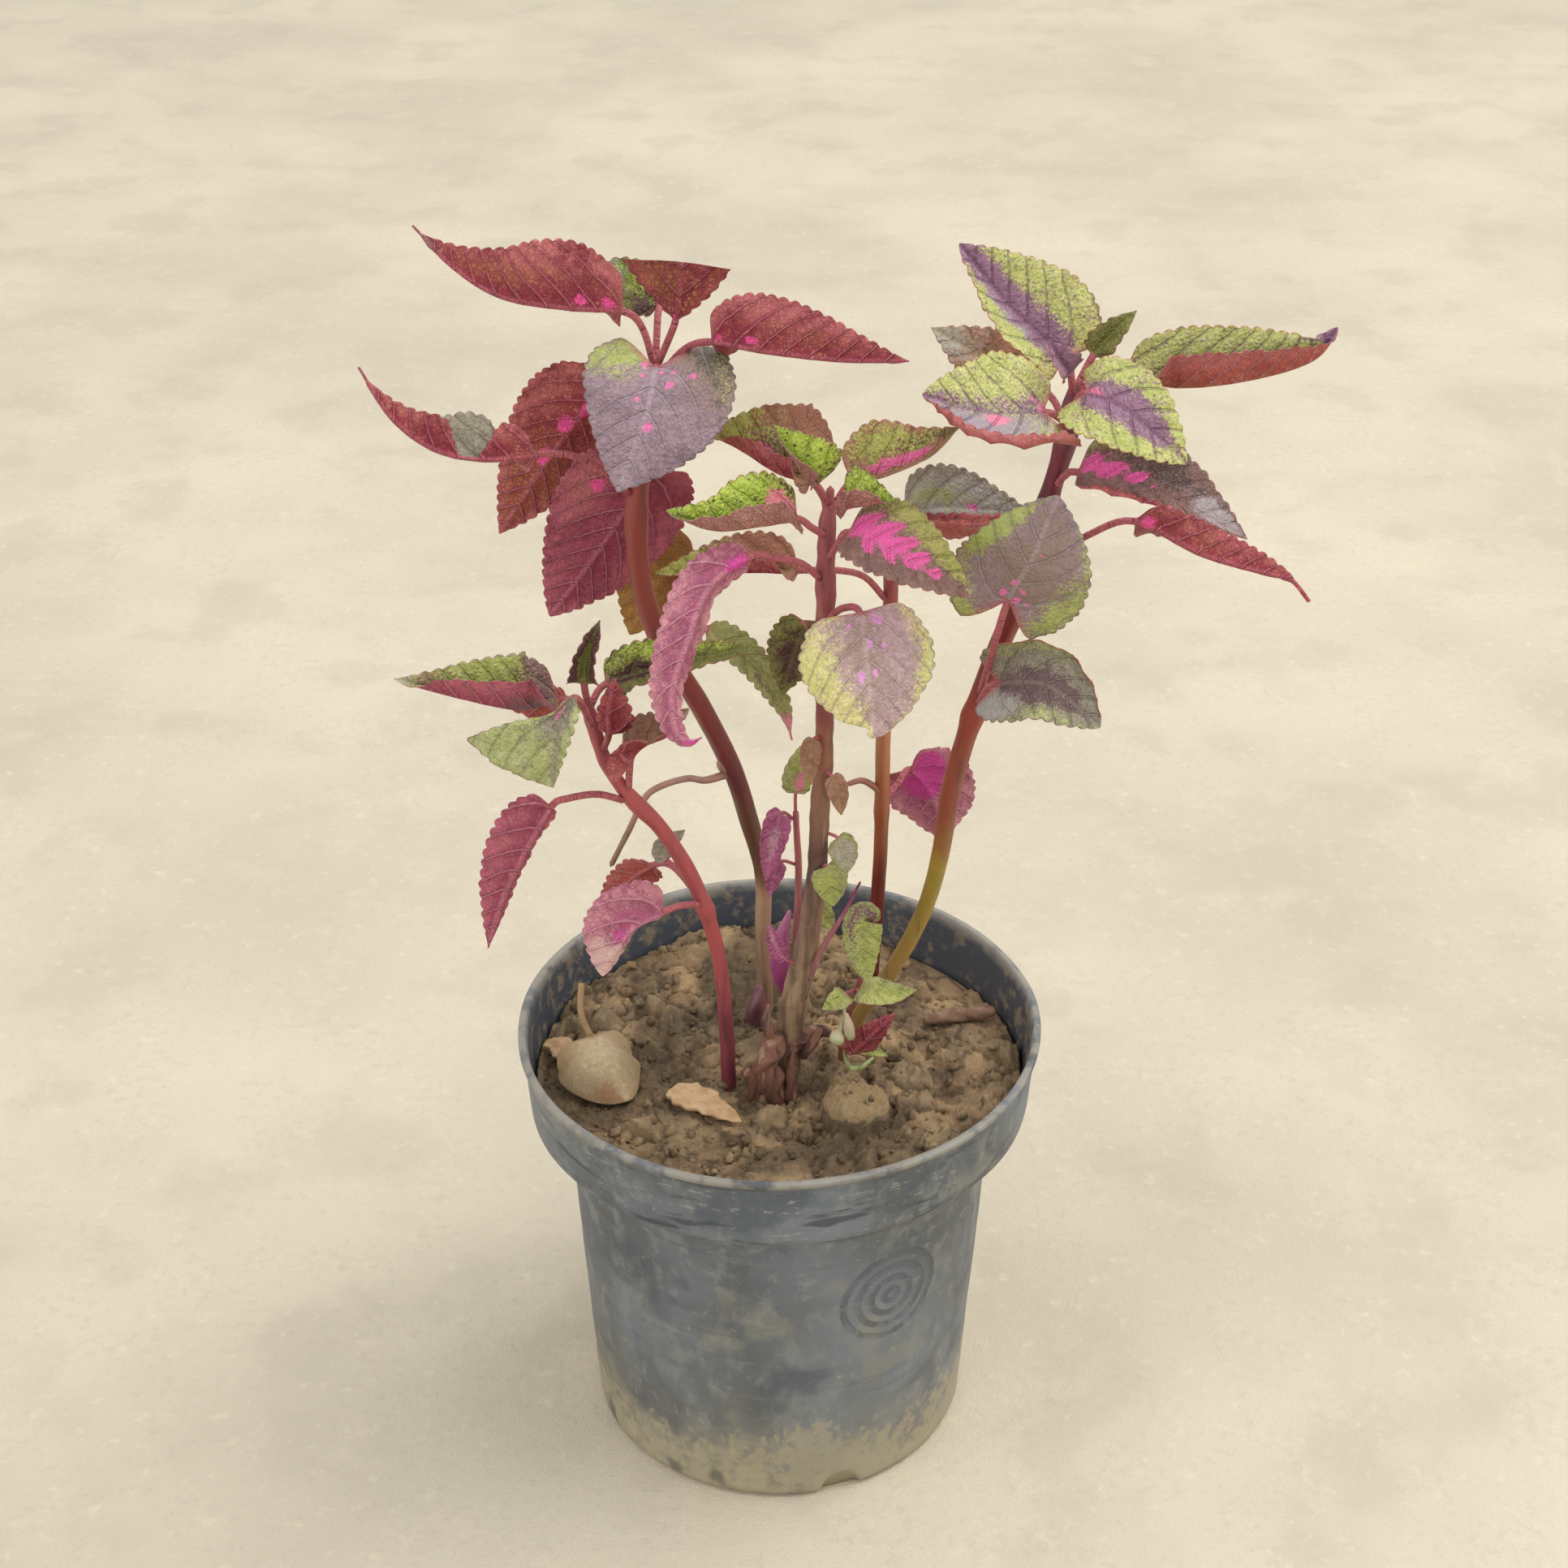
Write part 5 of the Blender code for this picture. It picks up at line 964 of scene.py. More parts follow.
def ragged_group(group, given):
    """A mask from a soft field, its edge broken up by coarse and fine noise of a size in millimetres."""
    place = vector("SCALE", object_place(group), scale=1000.0)[0]
    place = vector("ADD", place, given["Turn"] * 100.0)[0]
    coarse = noise(place, 1.0 / given["Size"], 2.0, 0.5) - 0.5
    fine = noise(place, 5.5 / given["Size"], 3.0, 0.75) - 0.5
    field = calc("MINIMUM", given["Field"], given["Cap"])
    field = calc("MULTIPLY_ADD", coarse * 2.2 + fine * given["Speckle"], given["Ragged"], field)
    inside = field.ramp(0.5 - given["Softness"], given["Softness"] + 0.5)
    return (inside * given["Field"].ramp(0.02, 0.12),)


def grain_group(group, given):
    """Broad and fine noise on Object coordinates, and a relief of both."""
    ratio = add(group, "ShaderNodeCombineXYZ", {0: 1.0, 1: 1.0, 2: given["Stretch"]})[0]
    place = vector("MULTIPLY", object_place(group), ratio)[0]
    broad = noise(place, given["Scale"])
    fine = noise(place, given["Scale"] * 7.0, 4.0, 0.65)
    return broad, fine, broad * 0.4 + fine * 0.6


def dust_group(group, given):
    """Dust that fades out with height, with a ragged upper edge, on Object coordinates."""
    place = object_place(group)
    broken = noise(place, given["Scale"], 5.0, 0.65) - 0.5
    height = split(place)[2] + broken * given["Ragged"]
    return (height.ramp(given["Full Height"], given["Clear Height"], 1.0, 0.0),)


# Each shared group: its function, its inputs and its outputs in the order that the function returns them.
GROUPS = {
    "Leaf Veins": (
        vein_group, {"Pitch": VEIN_PITCH, "Vein Width": 0.36, "Net Size": 1.5},
        ("Vein", "Midrib", "Net", "Cushion", "Dots", "Between")),
    "Ragged Mask": (
        ragged_group,
        {"Field": 0.0, "Size": 3.0, "Ragged": 0.5, "Softness": 0.08, "Turn": 0.0, "Cap": 9.0, "Speckle": 4.0},
        ("Mask",)),
    "Surface Grain": (grain_group, {"Scale": 100.0, "Stretch": 1.0}, ("Broad", "Fine", "Relief")),
    "Dust": (
        dust_group, {"Full Height": 0.0, "Clear Height": 0.05, "Scale": 40.0, "Ragged": 0.03}, ("Mask",)),
}


def group_node(tree, name, **inputs):
    """A node of a shared group, which is built when it is first used; returns its outputs by name."""
    group = bpy.data.node_groups.get(name)
    if not group:
        maker, sockets, outputs = GROUPS[name]
        group = bpy.data.node_groups.new(name, "ShaderNodeTree")
        for label, value in sockets.items():
            socket = group.interface.new_socket(label, in_out="INPUT", socket_type="NodeSocketFloat")
            socket.default_value = value
        for label in outputs:
            group.interface.new_socket(label, in_out="OUTPUT", socket_type="NodeSocketFloat")
        results = maker(group, add(group, "NodeGroupInput"))
        add(group, "NodeGroupOutput", dict(zip(outputs, results)))
    given = {label.replace("_", " "): value for label, value in inputs.items()}
    return add(tree, "ShaderNodeGroup", given, node_tree=group)


class Finish:
    """A material in the making: its node tree, its shader's inputs and the colour laid on so far."""

    def __init__(self, name):
        """Starts a material with its shader ready."""
        self.material = bpy.data.materials.new(name)
        self.material.use_nodes = True
        self.tree = self.material.node_tree
        self.shader = self.tree.nodes["Principled BSDF"].inputs
        self.colour = None

    def grain(self, scale, stretch=1.0):
        """Surface grain of a scale, squeezed in height by the stretch."""
        return group_node(self.tree, "Surface Grain", Scale=scale, Stretch=stretch)

    def patches(self, field, size, ragged, softness, turn, cap=9.0, speckle=4.0):
        """Ragged patches where a field is high."""
        return group_node(
            self.tree, "Ragged Mask", Field=field, Size=size, Ragged=ragged, Softness=softness, Turn=turn,
            Cap=cap, Speckle=speckle)["Mask"]

    def tints(self):
        """The strength of each tint on a blade, with the stalk and the reach across."""
        found = []
        for label in ("tone", "tone_b"):
            tone = add(self.tree, "ShaderNodeAttribute", attribute_name=label)
            parts = add(self.tree, "ShaderNodeSeparateColor", {0: tone["Color"]})
            found += [parts[0], parts[1], parts[2], tone["Alpha"]]
        return dict(zip(TINTS, found))

    def coat(self, share, tint, kind="MIX"):
        """Lays a tint over the colour so far, by a share from 0 to 1."""
        self.colour = blend(share, self.colour, tint, kind)

    def coats(self, rows):
        """Lays on tints, each by the smooth step of a value: low, high, first share and last share."""
        for value, low, high, first, last, tint in rows:
            self.coat(value.ramp(low, high, first, last), tint)

    def done(self, rough, relief, depth, strength):
        """Feeds the colour, a roughness and a relief with its depth in metres; returns the material."""
        bump = add(self.tree, "ShaderNodeBump", {"Height": relief, "Strength": strength, "Distance": depth})
        for label, value in (("Base Color", self.colour), ("Roughness", rough), ("Normal", bump[0])):
            feed(self.tree, self.shader[label], value)
        return self.material


# Finishes

def leaf_start(name, look, gloss, scale, **vein_sizes):
    """A leaf's finish with its mottled base; returns it with its veins, tints, grain and mottle."""
    skin = Finish(name)
    skin.shader["Specular IOR Level"].default_value = gloss
    grain = skin.grain(scale)
    mottle = grain["Relief"].ramp(0.40, 0.60)
    skin.colour = blend(mottle, shade(look["base"], 0.84), shade(look["base"], 1.20))
    return skin, group_node(skin.tree, "Leaf Veins", **vein_sizes), skin.tints(), grain, mottle


def upper_material(name, look, settings):
    """Upper side of a leaf: its base, with ragged patches of each tint, dark dots, veins, painted shade along
    a fine net and a thin edge.
    """
    skin, veins, tints, grain, mottle = leaf_start(name, look, 0.36, 90.0)
    for tint, size, ragged, soft, turn in (
            ("bright", 6.0, 0.5, 0.30, 0.0), ("dark", 3.4, 0.55, 0.20, 0.31), ("pale", 6.0, 0.4, 0.30, 0.55)):
        skin.coat(skin.patches(tints[tint], size, ragged, soft, turn, 0.9), look[tint])
    warm = skin.patches(tints["warm"], 4.2, 0.50, 0.26, 0.83, 0.86, 6.5)
    warm = warm * veins["Vein"].ramp(0.3, 1.0, 1.0, look["vein_cut"])
    brightest = tuple(channel * gain for channel, gain in zip(look["warm"], (1.22, 1.12, 1.5)))
    lime = blend(mottle, shade(look["warm"], 0.90), brightest)
    skin.coat(warm, blend(veins["Dots"] * look["dots"], lime, look["dark"]))
    feather = look.get("feather", 0.1)
    reach = tints["pink"] * veins["Between"].ramp(0.0, 0.9, 1.0 + feather, 1.0 - feather)
    rose = blend(grain["Fine"], look["pink"], shade(look["pink"], 1.35, 0.95))
    skin.coat(skin.patches(reach, 3.0, 0.46, 0.04, 0.47, 0.98) * 0.93, rose)
    line = calc("MAXIMUM", veins["Vein"] * 0.65, veins["Midrib"] * 0.8)
    quiet = calc("MULTIPLY_ADD", warm, -0.70, 1.0) * look["vein_show"]
    skin.coat(line * quiet, look["vein"])
    # Painted shade: the look's dark colour along the fine net, in the small creases between the raised cells.
    skin.coat(veins["Net"] * look.get("net", 0.12), look["dark"])
    skin.coat(tints["across"].ramp(0.955, 0.995, 0.0, 0.75), look["edge"])
    skin.coat(tints["stalk"], tuple(settings.stalk_colour))
    rough = grain["Broad"].ramp(0.3, 0.7, look["rough"] - 0.05, look["rough"] + 0.07)
    relief = veins["Cushion"] * 0.9 - veins["Vein"] * 1.3 + grain["Fine"] * 0.25
    return skin.done(rough, relief, 0.00034, 0.9)


def under_material(name, look, settings):
    """Underside of a leaf: its base, with a warmer painted sheen on the panels between the veins and on the
    granules, pale raised veins and a fine net.
    """
    skin, veins, tints, grain, mottle = leaf_start(
        name, look, 0.32, 70.0, Vein_Width=0.40, Net_Size=look["net"])
    # Painted sheen: a lighter, warmer colour in the middle of each panel between the side veins, stronger
    # towards the margin, for light on the bulging quilt.
    panel_sheen = veins["Between"].ramp(0.1, 0.9, 0.35, 1.0) * tints["across"].ramp(0.10, 0.75, 0.15, 0.85)
    skin.coat(panel_sheen * grain["Broad"].ramp(0.38, 0.62, 0.25, 1.0), look["panel_sheen"])
    speck = skin.grain(430.0)
    # Painted sheen on the granules: a golden colour at the middle of each cell of the fine net, partly the
    # skin's own golden tint and partly light on the raised cells.
    gold_sheen = speck["Broad"].ramp(0.48, 0.60) * veins["Cushion"].ramp(0.05, 0.6, 0.1, 0.75)
    skin.coat(gold_sheen * grain["Broad"].ramp(0.36, 0.60, 0.2, 1.0), look["gold_sheen"])
    skin.coat(speck["Fine"].ramp(0.34, 0.44, 0.22, 0.0), shade(look["base"], 0.5))
    warm = skin.patches(tints["warm"], 9.0, 0.30, 0.35, 0.2) * veins["Cushion"].ramp(0.0, 1.0, 0.45, 1.0)
    skin.coat(warm * 0.85, look["warm"])
    skin.coat(skin.patches(tints["dark"], 6.0, 0.3, 0.3, 0.7), look["dark"])
    skin.coat(tints["across"].ramp(0.35, 1.0, 0.0, 0.85) * mottle, look["edge"])
    skin.coat(veins["Net"] * look["net_show"], look["vein"])
    skin.coat(calc("MAXIMUM", veins["Vein"], veins["Midrib"] * 0.8) * look["vein_show"], look["vein"])
    skin.coat(skin.patches(tints["pink"], 3.4, 0.40, 0.04, 0.4, 0.95) * 0.92, look["pink"])
    skin.coat(tints["stalk"], look.get("stalk") or tuple(settings.stalk_colour))
    relief = veins["Vein"] * look.get("rise", 1.1) + veins["Net"] * look["net_rise"] + grain["Fine"] * 0.25
    return skin.done(grain["Broad"].ramp(0.3, 0.7, 0.44, 0.58), relief, 0.00042, 0.95)


# In each upper look, net gives the strength of the painted shade along the fine net.
UPPER_LOOKS = {
    "mauve": dict(
        base=(0.322, 0.222, 0.262), warm=(0.400, 0.470, 0.115), pink=(0.860, 0.170, 0.400),
        dark=(0.114, 0.099, 0.071), bright=(0.312, 0.215, 0.177), pale=(0.437, 0.394, 0.448),
        vein=(0.541, 0.464, 0.507), edge=(0.312, 0.209, 0.177), dots=0.25, vein_cut=0.85, vein_show=0.42,
        rough=0.38, net=0.05),
    "faded": dict(
        base=(0.528, 0.370, 0.377), warm=(0.744, 0.731, 0.257), pink=(0.882, 0.330, 0.688),
        dark=(0.211, 0.160, 0.104), bright=(0.436, 0.304, 0.252), pale=(0.660, 0.551, 0.562),
        vein=(0.739, 0.580, 0.562), edge=(0.475, 0.362, 0.266), dots=0.25, vein_cut=0.9, vein_show=0.45,
        rough=0.42, net=0.05),
    "purple": dict(
        base=(0.319, 0.170, 0.250), warm=(0.530, 0.590, 0.160), pink=(0.903, 0.225, 0.350),
        dark=(0.124, 0.069, 0.085), bright=(0.354, 0.213, 0.195), pale=(0.425, 0.350, 0.403),
        vein=(0.153, 0.056, 0.124), edge=(0.496, 0.250, 0.130), dots=0.55, vein_cut=0.80, vein_show=0.60,
        rough=0.43, net=0.10),
    "olive": dict(
        base=(0.365, 0.186, 0.119), warm=(0.462, 0.513, 0.115), pink=(0.882, 0.150, 0.375),
        dark=(0.149, 0.117, 0.049), bright=(0.405, 0.172, 0.112), pale=(0.486, 0.455, 0.378),
        vein=(0.459, 0.345, 0.140), edge=(0.405, 0.179, 0.126), dots=0.4, vein_cut=0.9, vein_show=0.35,
        rough=0.45),
    "green": dict(
        base=(0.206, 0.200, 0.058), warm=(0.439, 0.594, 0.071), pink=(0.903, 0.195, 0.300),
        dark=(0.094, 0.037, 0.039), bright=(0.288, 0.163, 0.091), pale=(0.500, 0.475, 0.442),
        vein=(0.325, 0.400, 0.104), edge=(0.338, 0.125, 0.091), dots=0.95, vein_cut=0.95, vein_show=0.25,
        rough=0.44),
    "greygreen": dict(
        base=(0.300, 0.265, 0.195), warm=(0.400, 0.450, 0.150), pink=(0.819, 0.180, 0.450),
        dark=(0.162, 0.100, 0.103), bright=(0.324, 0.137, 0.086), pale=(0.432, 0.420, 0.389),
        vein=(0.356, 0.326, 0.238), edge=(0.292, 0.210, 0.173), dots=0.3, vein_cut=0.9, vein_show=0.35,
        rough=0.38, net=0.06),
    "dusk": dict(
        feather=0.55, base=(0.250, 0.138, 0.119), warm=(0.368, 0.380, 0.083), pink=(0.930, 0.105, 0.375),
        dark=(0.100, 0.062, 0.056), bright=(0.300, 0.188, 0.112), pale=(0.425, 0.362, 0.375),
        vein=(0.338, 0.188, 0.163), edge=(0.375, 0.188, 0.138), dots=0.3, vein_cut=0.9, vein_show=0.30,
        rough=0.44),
    "rose": dict(
        base=(0.414, 0.098, 0.218), warm=(0.524, 0.546, 0.153), pink=(0.598, 0.149, 0.345),
        dark=(0.184, 0.046, 0.092), bright=(0.483, 0.161, 0.230), pale=(0.632, 0.345, 0.414),
        vein=(0.690, 0.322, 0.437), edge=(0.483, 0.161, 0.276), dots=0.2, vein_cut=0.9, vein_show=0.4,
        rough=0.40),
    "lime": dict(
        base=(0.347, 0.357, 0.133), warm=(0.407, 0.465, 0.107), pink=(0.735, 0.195, 0.325),
        dark=(0.214, 0.107, 0.122), bright=(0.337, 0.224, 0.133), pale=(0.469, 0.408, 0.347),
        vein=(0.469, 0.490, 0.184), edge=(0.326, 0.286, 0.204), dots=0.4, vein_cut=0.95, vein_show=0.45,
        rough=0.44),
}
# Each underside look also gives the colours of the painted sheen on the panels between the veins and on the
# granules.
UNDER_LOOKS = {
    "plum": dict(
        base=(0.300, 0.042, 0.085), warm=(0.520, 0.190, 0.130), panel_sheen=(0.560, 0.160, 0.200),
        dark=(0.212, 0.174, 0.165), gold_sheen=(0.430, 0.130, 0.120), pink=(0.930, 0.102, 0.360),
        edge=(0.540, 0.140, 0.200), vein=(0.660, 0.250, 0.330), vein_show=0.50, net=1.6, net_show=0.12,
        net_rise=0.7, rise=1.8),
    "wine": dict(
        base=(0.190, 0.022, 0.032), warm=(0.300, 0.110, 0.035), panel_sheen=(0.290, 0.052, 0.045),
        dark=(0.180, 0.120, 0.110), gold_sheen=(0.470, 0.230, 0.090), pink=(0.930, 0.102, 0.360),
        edge=(0.340, 0.080, 0.070), vein=(0.400, 0.080, 0.120), vein_show=0.50, net=1.4, net_show=0.12,
        net_rise=0.7, rise=1.8),
    "crimson": dict(
        base=(0.270, 0.022, 0.042), warm=(0.450, 0.150, 0.065), panel_sheen=(0.570, 0.170, 0.160),
        dark=(0.212, 0.174, 0.165), gold_sheen=(0.540, 0.190, 0.130), pink=(0.930, 0.102, 0.360),
        edge=(0.640, 0.190, 0.200), vein=(0.660, 0.190, 0.250), vein_show=0.56, net=1.4, net_show=0.12,
        net_rise=0.8, rise=1.9),
    "rust": dict(
        base=(0.370, 0.060, 0.048), warm=(0.401, 0.176, 0.072), panel_sheen=(0.520, 0.130, 0.105),
        dark=(0.177, 0.081, 0.065), gold_sheen=(0.560, 0.230, 0.150), pink=(0.930, 0.095, 0.348),
        edge=(0.519, 0.162, 0.174), vein=(0.637, 0.257, 0.275), vein_show=0.45, net=1.5, net_show=0.16,
        net_rise=0.6),
    "pink": dict(
        base=(0.370, 0.082, 0.170), warm=(0.520, 0.220, 0.235), panel_sheen=(0.470, 0.160, 0.225),
        dark=(0.700, 0.470, 0.420), gold_sheen=(0.620, 0.280, 0.300), pink=(0.672, 0.063, 0.351),
        edge=(0.744, 0.336, 0.390), vein=(0.780, 0.380, 0.440), vein_show=0.42, net=1.8, net_show=0.22,
        net_rise=0.6),
    "ochre": dict(
        base=(0.347, 0.165, 0.041), warm=(0.315, 0.110, 0.036), panel_sheen=(0.430, 0.240, 0.063),
        dark=(0.242, 0.085, 0.032), gold_sheen=(0.500, 0.300, 0.100), pink=(0.840, 0.070, 0.216),
        edge=(0.410, 0.210, 0.063), vein=(0.462, 0.260, 0.108), vein_show=0.40, net=1.6, net_show=0.15,
        net_rise=0.4),
    "quilt": dict(
        base=(0.416, 0.158, 0.135), warm=(0.338, 0.195, 0.090), panel_sheen=(0.640, 0.330, 0.270),
        dark=(0.286, 0.128, 0.098), gold_sheen=(0.640, 0.360, 0.260), pink=(0.930, 0.105, 0.360),
        edge=(0.572, 0.270, 0.270), vein=(0.728, 0.450, 0.360), vein_show=0.30, net=1.15, net_show=0.25,
        net_rise=-1.3),
}


def leaf_skins(pairs, settings):
    """The materials of pairs of upper and under finishes, each built when it is first used."""
    skins = []
    for upper, under in pairs:
        for label, maker, look in (
                ("leaf " + upper, upper_material, UPPER_LOOKS[upper]),
                ("underside " + under, under_material, UNDER_LOOKS[under])):
            skins.append(bpy.data.materials.get(label) or maker(label, look, settings))
    return skins


def stem_material(name, stops, settings, bark=0.0):
    """Stem skin: a colour for each height, blurred by noise, with pale streaks, flecks and bark."""
    skin = Finish(name)
    grain = skin.grain(220.0, 0.12)
    blotch = skin.grain(110.0)
    height = split(object_place(skin.tree))[2] + (blotch["Broad"] - 0.5) * 0.016
    low = stops[0][0] * MM
    high = stops[-1][0] * MM
    steps = add(skin.tree, "ShaderNodeMapRange", {"Value": height, "From Min": low, "From Max": high})[0]
    skin.colour = add(skin.tree, "ShaderNodeValToRGB", {0: steps})[0]
    bands = skin.colour.socket.node.color_ramp
    bands.interpolation = "EASE"
    for number, (level, tint) in enumerate(stops):
        at = (level * MM - low) / (high - low)
        stop = bands.elements[number] if number < 2 else bands.elements.new(at)
        stop.position = at
        stop.color = (*tint, 1.0)
    skin.coat(grain["Broad"].ramp(0.40, 0.68, 0.0, 0.35), (0.95, 0.62, 0.55), "SOFT_LIGHT")
    skin.coats([
        (grain["Broad"], 0.46, 0.30, 0.0, 0.45, (0.070, 0.022, 0.018)),
        (grain["Fine"], 0.62, 0.80, 0.0, 0.30, (0.60, 0.34, 0.27)),
        (blotch["Fine"], 0.30, 0.42, 0.35, 0.0, (0.10, 0.04, 0.03))])
    if bark:
        crack = grain["Broad"].ramp(0.50, 0.38) * blotch["Fine"].ramp(0.36, 0.52)
        skin.coat(crack * (0.8 * bark), (0.055, 0.026, 0.020))
        peel = grain["Broad"].ramp(0.56, 0.62) * blotch["Broad"].ramp(0.40, 0.60)
        skin.coat(peel * (0.7 * bark), (0.480, 0.350, 0.245))
    rough = settings.stem_roughness + 0.3 * bark
    rough = blotch["Broad"].ramp(0.3, 0.7, rough - 0.06, rough + 0.10)
    return skin.done(rough, grain["Relief"] + blotch["Relief"] * 0.5, 0.00030 + 0.0011 * bark, 0.7)


def wood_material(name, light, dark, scale, depth):
    """Dry wood: grain between a light and a dark colour, worn pale on the high parts."""
    skin = Finish(name)
    grain = skin.grain(scale)
    blotch = skin.grain(scale * 0.6)
    skin.colour = blend(grain["Broad"].ramp(0.32, 0.66), dark, light)
    skin.coats([
        (blotch["Fine"], 0.52, 0.70, 0.0, 0.5, shade(light, 1.3, 0.9)),
        (blotch["Broad"], 0.26, 0.42, 0.6, 0.0, shade(dark, 0.6))])
    return skin.done(blotch["Fine"].ramp(0.3, 0.7, 0.7, 0.92), grain["Relief"] + blotch["Relief"], depth, 0.9)


def soil_material(name, settings):
    """Clay soil: grey-brown lumps, paler on the taller clods, with dark damp patches, painted shade in the
    cracks, and sand.
    """
    skin = Finish(name)
    tone = add(skin.tree, "ShaderNodeAttribute", attribute_name="tone")
    parts = add(skin.tree, "ShaderNodeSeparateColor", {0: tone["Color"]})
    openness = parts[0]
    clod = parts[1]
    grain = skin.grain(60.0)
    sand = skin.grain(420.0)
    base = tuple(settings.soil_colour)
    skin.colour = blend(grain["Broad"].ramp(0.36, 0.62), shade(base, 0.50), shade(base, 1.38))
    skin.coats([
        (clod, 0.2, 0.9, 0.0, 0.60, (0.440, 0.330, 0.190)),
        (clod, 1.2, 1.9, 0.0, 0.85, (0.520, 0.360, 0.185)),
        (clod, 0.45, 0.15, 0.0, 0.55, (0.170, 0.110, 0.060)),
        (sand["Broad"], 0.52, 0.68, 0.0, 0.6, (0.460, 0.370, 0.250)),
        (sand["Fine"], 0.30, 0.44, 0.55, 0.0, (0.075, 0.050, 0.028)),
        # Painted shade: a dark colour in the cracks between the clods, where the ground is least open.
        (openness, 0.12, 0.58, 1.0, 0.0, (0.052, 0.034, 0.018))])
    damp = skin.grain(26.0)["Broad"].ramp(0.50, 0.60) * clod.ramp(1.6, 1.2)
    skin.coat(damp * 0.62, (0.110, 0.072, 0.038))
    rough = sand["Fine"].ramp(0.3, 0.7, 0.80, 0.96) - damp * 0.38
    return skin.done(rough, grain["Fine"] * 0.8 + sand["Relief"] * 0.9, 0.0014, 1.0)


# Plain raised rings on the wall: centre, pitch and outer radius in metres.
RING_CENTRE = (0.0340, -0.0545, 0.0800)
RING_PITCH = 0.0023
RING_REACH = 0.0180


def pot_material(name, settings):
    """Thin moulded plastic: slate, hazed and scuffed, with a pale lip and dust that climbs from the foot."""
    skin = Finish(name)
    place = object_place(skin.tree)
    height = split(place)[2]
    haze = skin.grain(22.0, 0.6)
    streak = skin.grain(15.0, 16.0)
    scratch = skin.grain(130.0)
    scuff = skin.grain(21.0, 1.8)
    stain = skin.grain(31.0)
    rubbed = skin.grain(30.0, 7.0)
    splash = skin.grain(46.0, 0.7)
    wall = tuple(settings.wall_colour)
    skin.colour = blend(haze["Broad"].ramp(0.30, 0.70), shade(wall, 0.60), shade(wall, 1.45))
    skin.coats([
        (haze["Fine"], 0.48, 0.68, 0.0, 0.55, (0.250, 0.265, 0.262)),
        (scuff["Fine"], 0.58, 0.70, 0.0, 0.45, (0.290, 0.295, 0.280)),
        (scuff["Broad"], 0.40, 0.30, 0.0, 0.55, (0.052, 0.062, 0.082)),
        (stain["Broad"], 0.56, 0.66, 0.0, 0.60, (0.055, 0.070, 0.100)),
        (stain["Broad"], 0.42, 0.34, 0.0, 0.45, (0.270, 0.265, 0.220)),
        (streak["Broad"], 0.58, 0.75, 0.0, 0.30, (0.250, 0.260, 0.255)),
        (streak["Broad"], 0.30, 0.42, 0.25, 0.0, (0.050, 0.058, 0.072))])
    band = height.ramp(0.1060, 0.1110)
    patchy = stain["Fine"].ramp(0.46, 0.62) * band
    skin.coat(rubbed["Relief"].ramp(0.53, 0.61, 0.0, 0.75) * patchy, (0.350, 0.340, 0.300))
    skin.coat(rubbed["Broad"].ramp(0.44, 0.36, 0.0, 0.75) * band, (0.034, 0.042, 0.058))
    smear = group_node(skin.tree, "Dust", Full_Height=-0.03, Clear_Height=0.10, Scale=55.0, Ragged=0.16)
    dust = group_node(skin.tree, "Dust", Full_Height=-0.012, Clear_Height=0.042, Scale=24.0, Ragged=0.085)
    skin.coat(smear["Mask"] * 0.30, (0.270, 0.250, 0.190))
    powder = dust["Mask"] * settings.dust * scuff["Relief"].ramp(0.42, 0.56, 0.55, 1.0)
    skin.coat(powder, (0.480, 0.410, 0.270))
    caked = calc("MULTIPLY_ADD", height.ramp(0.048, 0.004), 0.20, splash["Relief"]).ramp(0.60, 0.70)
    skin.coat(caked * 0.55, (0.450, 0.385, 0.250))
    bare = splash["Broad"].ramp(0.42, 0.34) * height.ramp(0.036, 0.012)
    skin.coat(bare * 0.7, (0.110, 0.110, 0.095))
    away = vector("DISTANCE", place, RING_CENTRE)[1]
    rings = calc("PINGPONG", away, RING_PITCH).ramp(0.35 * RING_PITCH, 0.75 * RING_PITCH)
    rings = rings * away.ramp(RING_REACH + 0.001, RING_REACH) * stain["Fine"].ramp(0.36, 0.50, 0.15, 1.0)
    skin.coat(rings * haze["Fine"].ramp(0.40, 0.60, 0.20, 0.70), (0.062, 0.075, 0.100))
    normal = add(skin.tree, "ShaderNodeTexCoord")["Normal"]
    inside = vector("DOT_PRODUCT", normal, vector("NORMALIZE", place)[0])[1].ramp(-0.10, -0.30)
    inner = blend(stain["Relief"].ramp(0.50, 0.60, 0.0, 0.85), (0.078, 0.096, 0.125), (0.340, 0.280, 0.185))
    inner = blend(scratch["Broad"].ramp(0.56, 0.68, 0.0, 0.6), inner, (0.340, 0.290, 0.190))
    skin.coat(inside * 0.9, inner)
    worn = height.ramp(0.1395, 0.1425) * scratch["Broad"].ramp(0.36, 0.58, 0.10, 0.85)
    skin.coat(worn, (0.330, 0.310, 0.260))
    skin.coat(scratch["Fine"].ramp(0.66, 0.74, 0.0, 0.8), (0.420, 0.390, 0.310))
    rough = haze["Broad"].ramp(0.3, 0.7, 0.42, 0.58) + dust["Mask"] * 0.28
    return skin.done(rough, streak["Relief"] * 0.45 + scratch["Relief"] * 0.5 - rings * 2.6, 0.00035, 0.6)


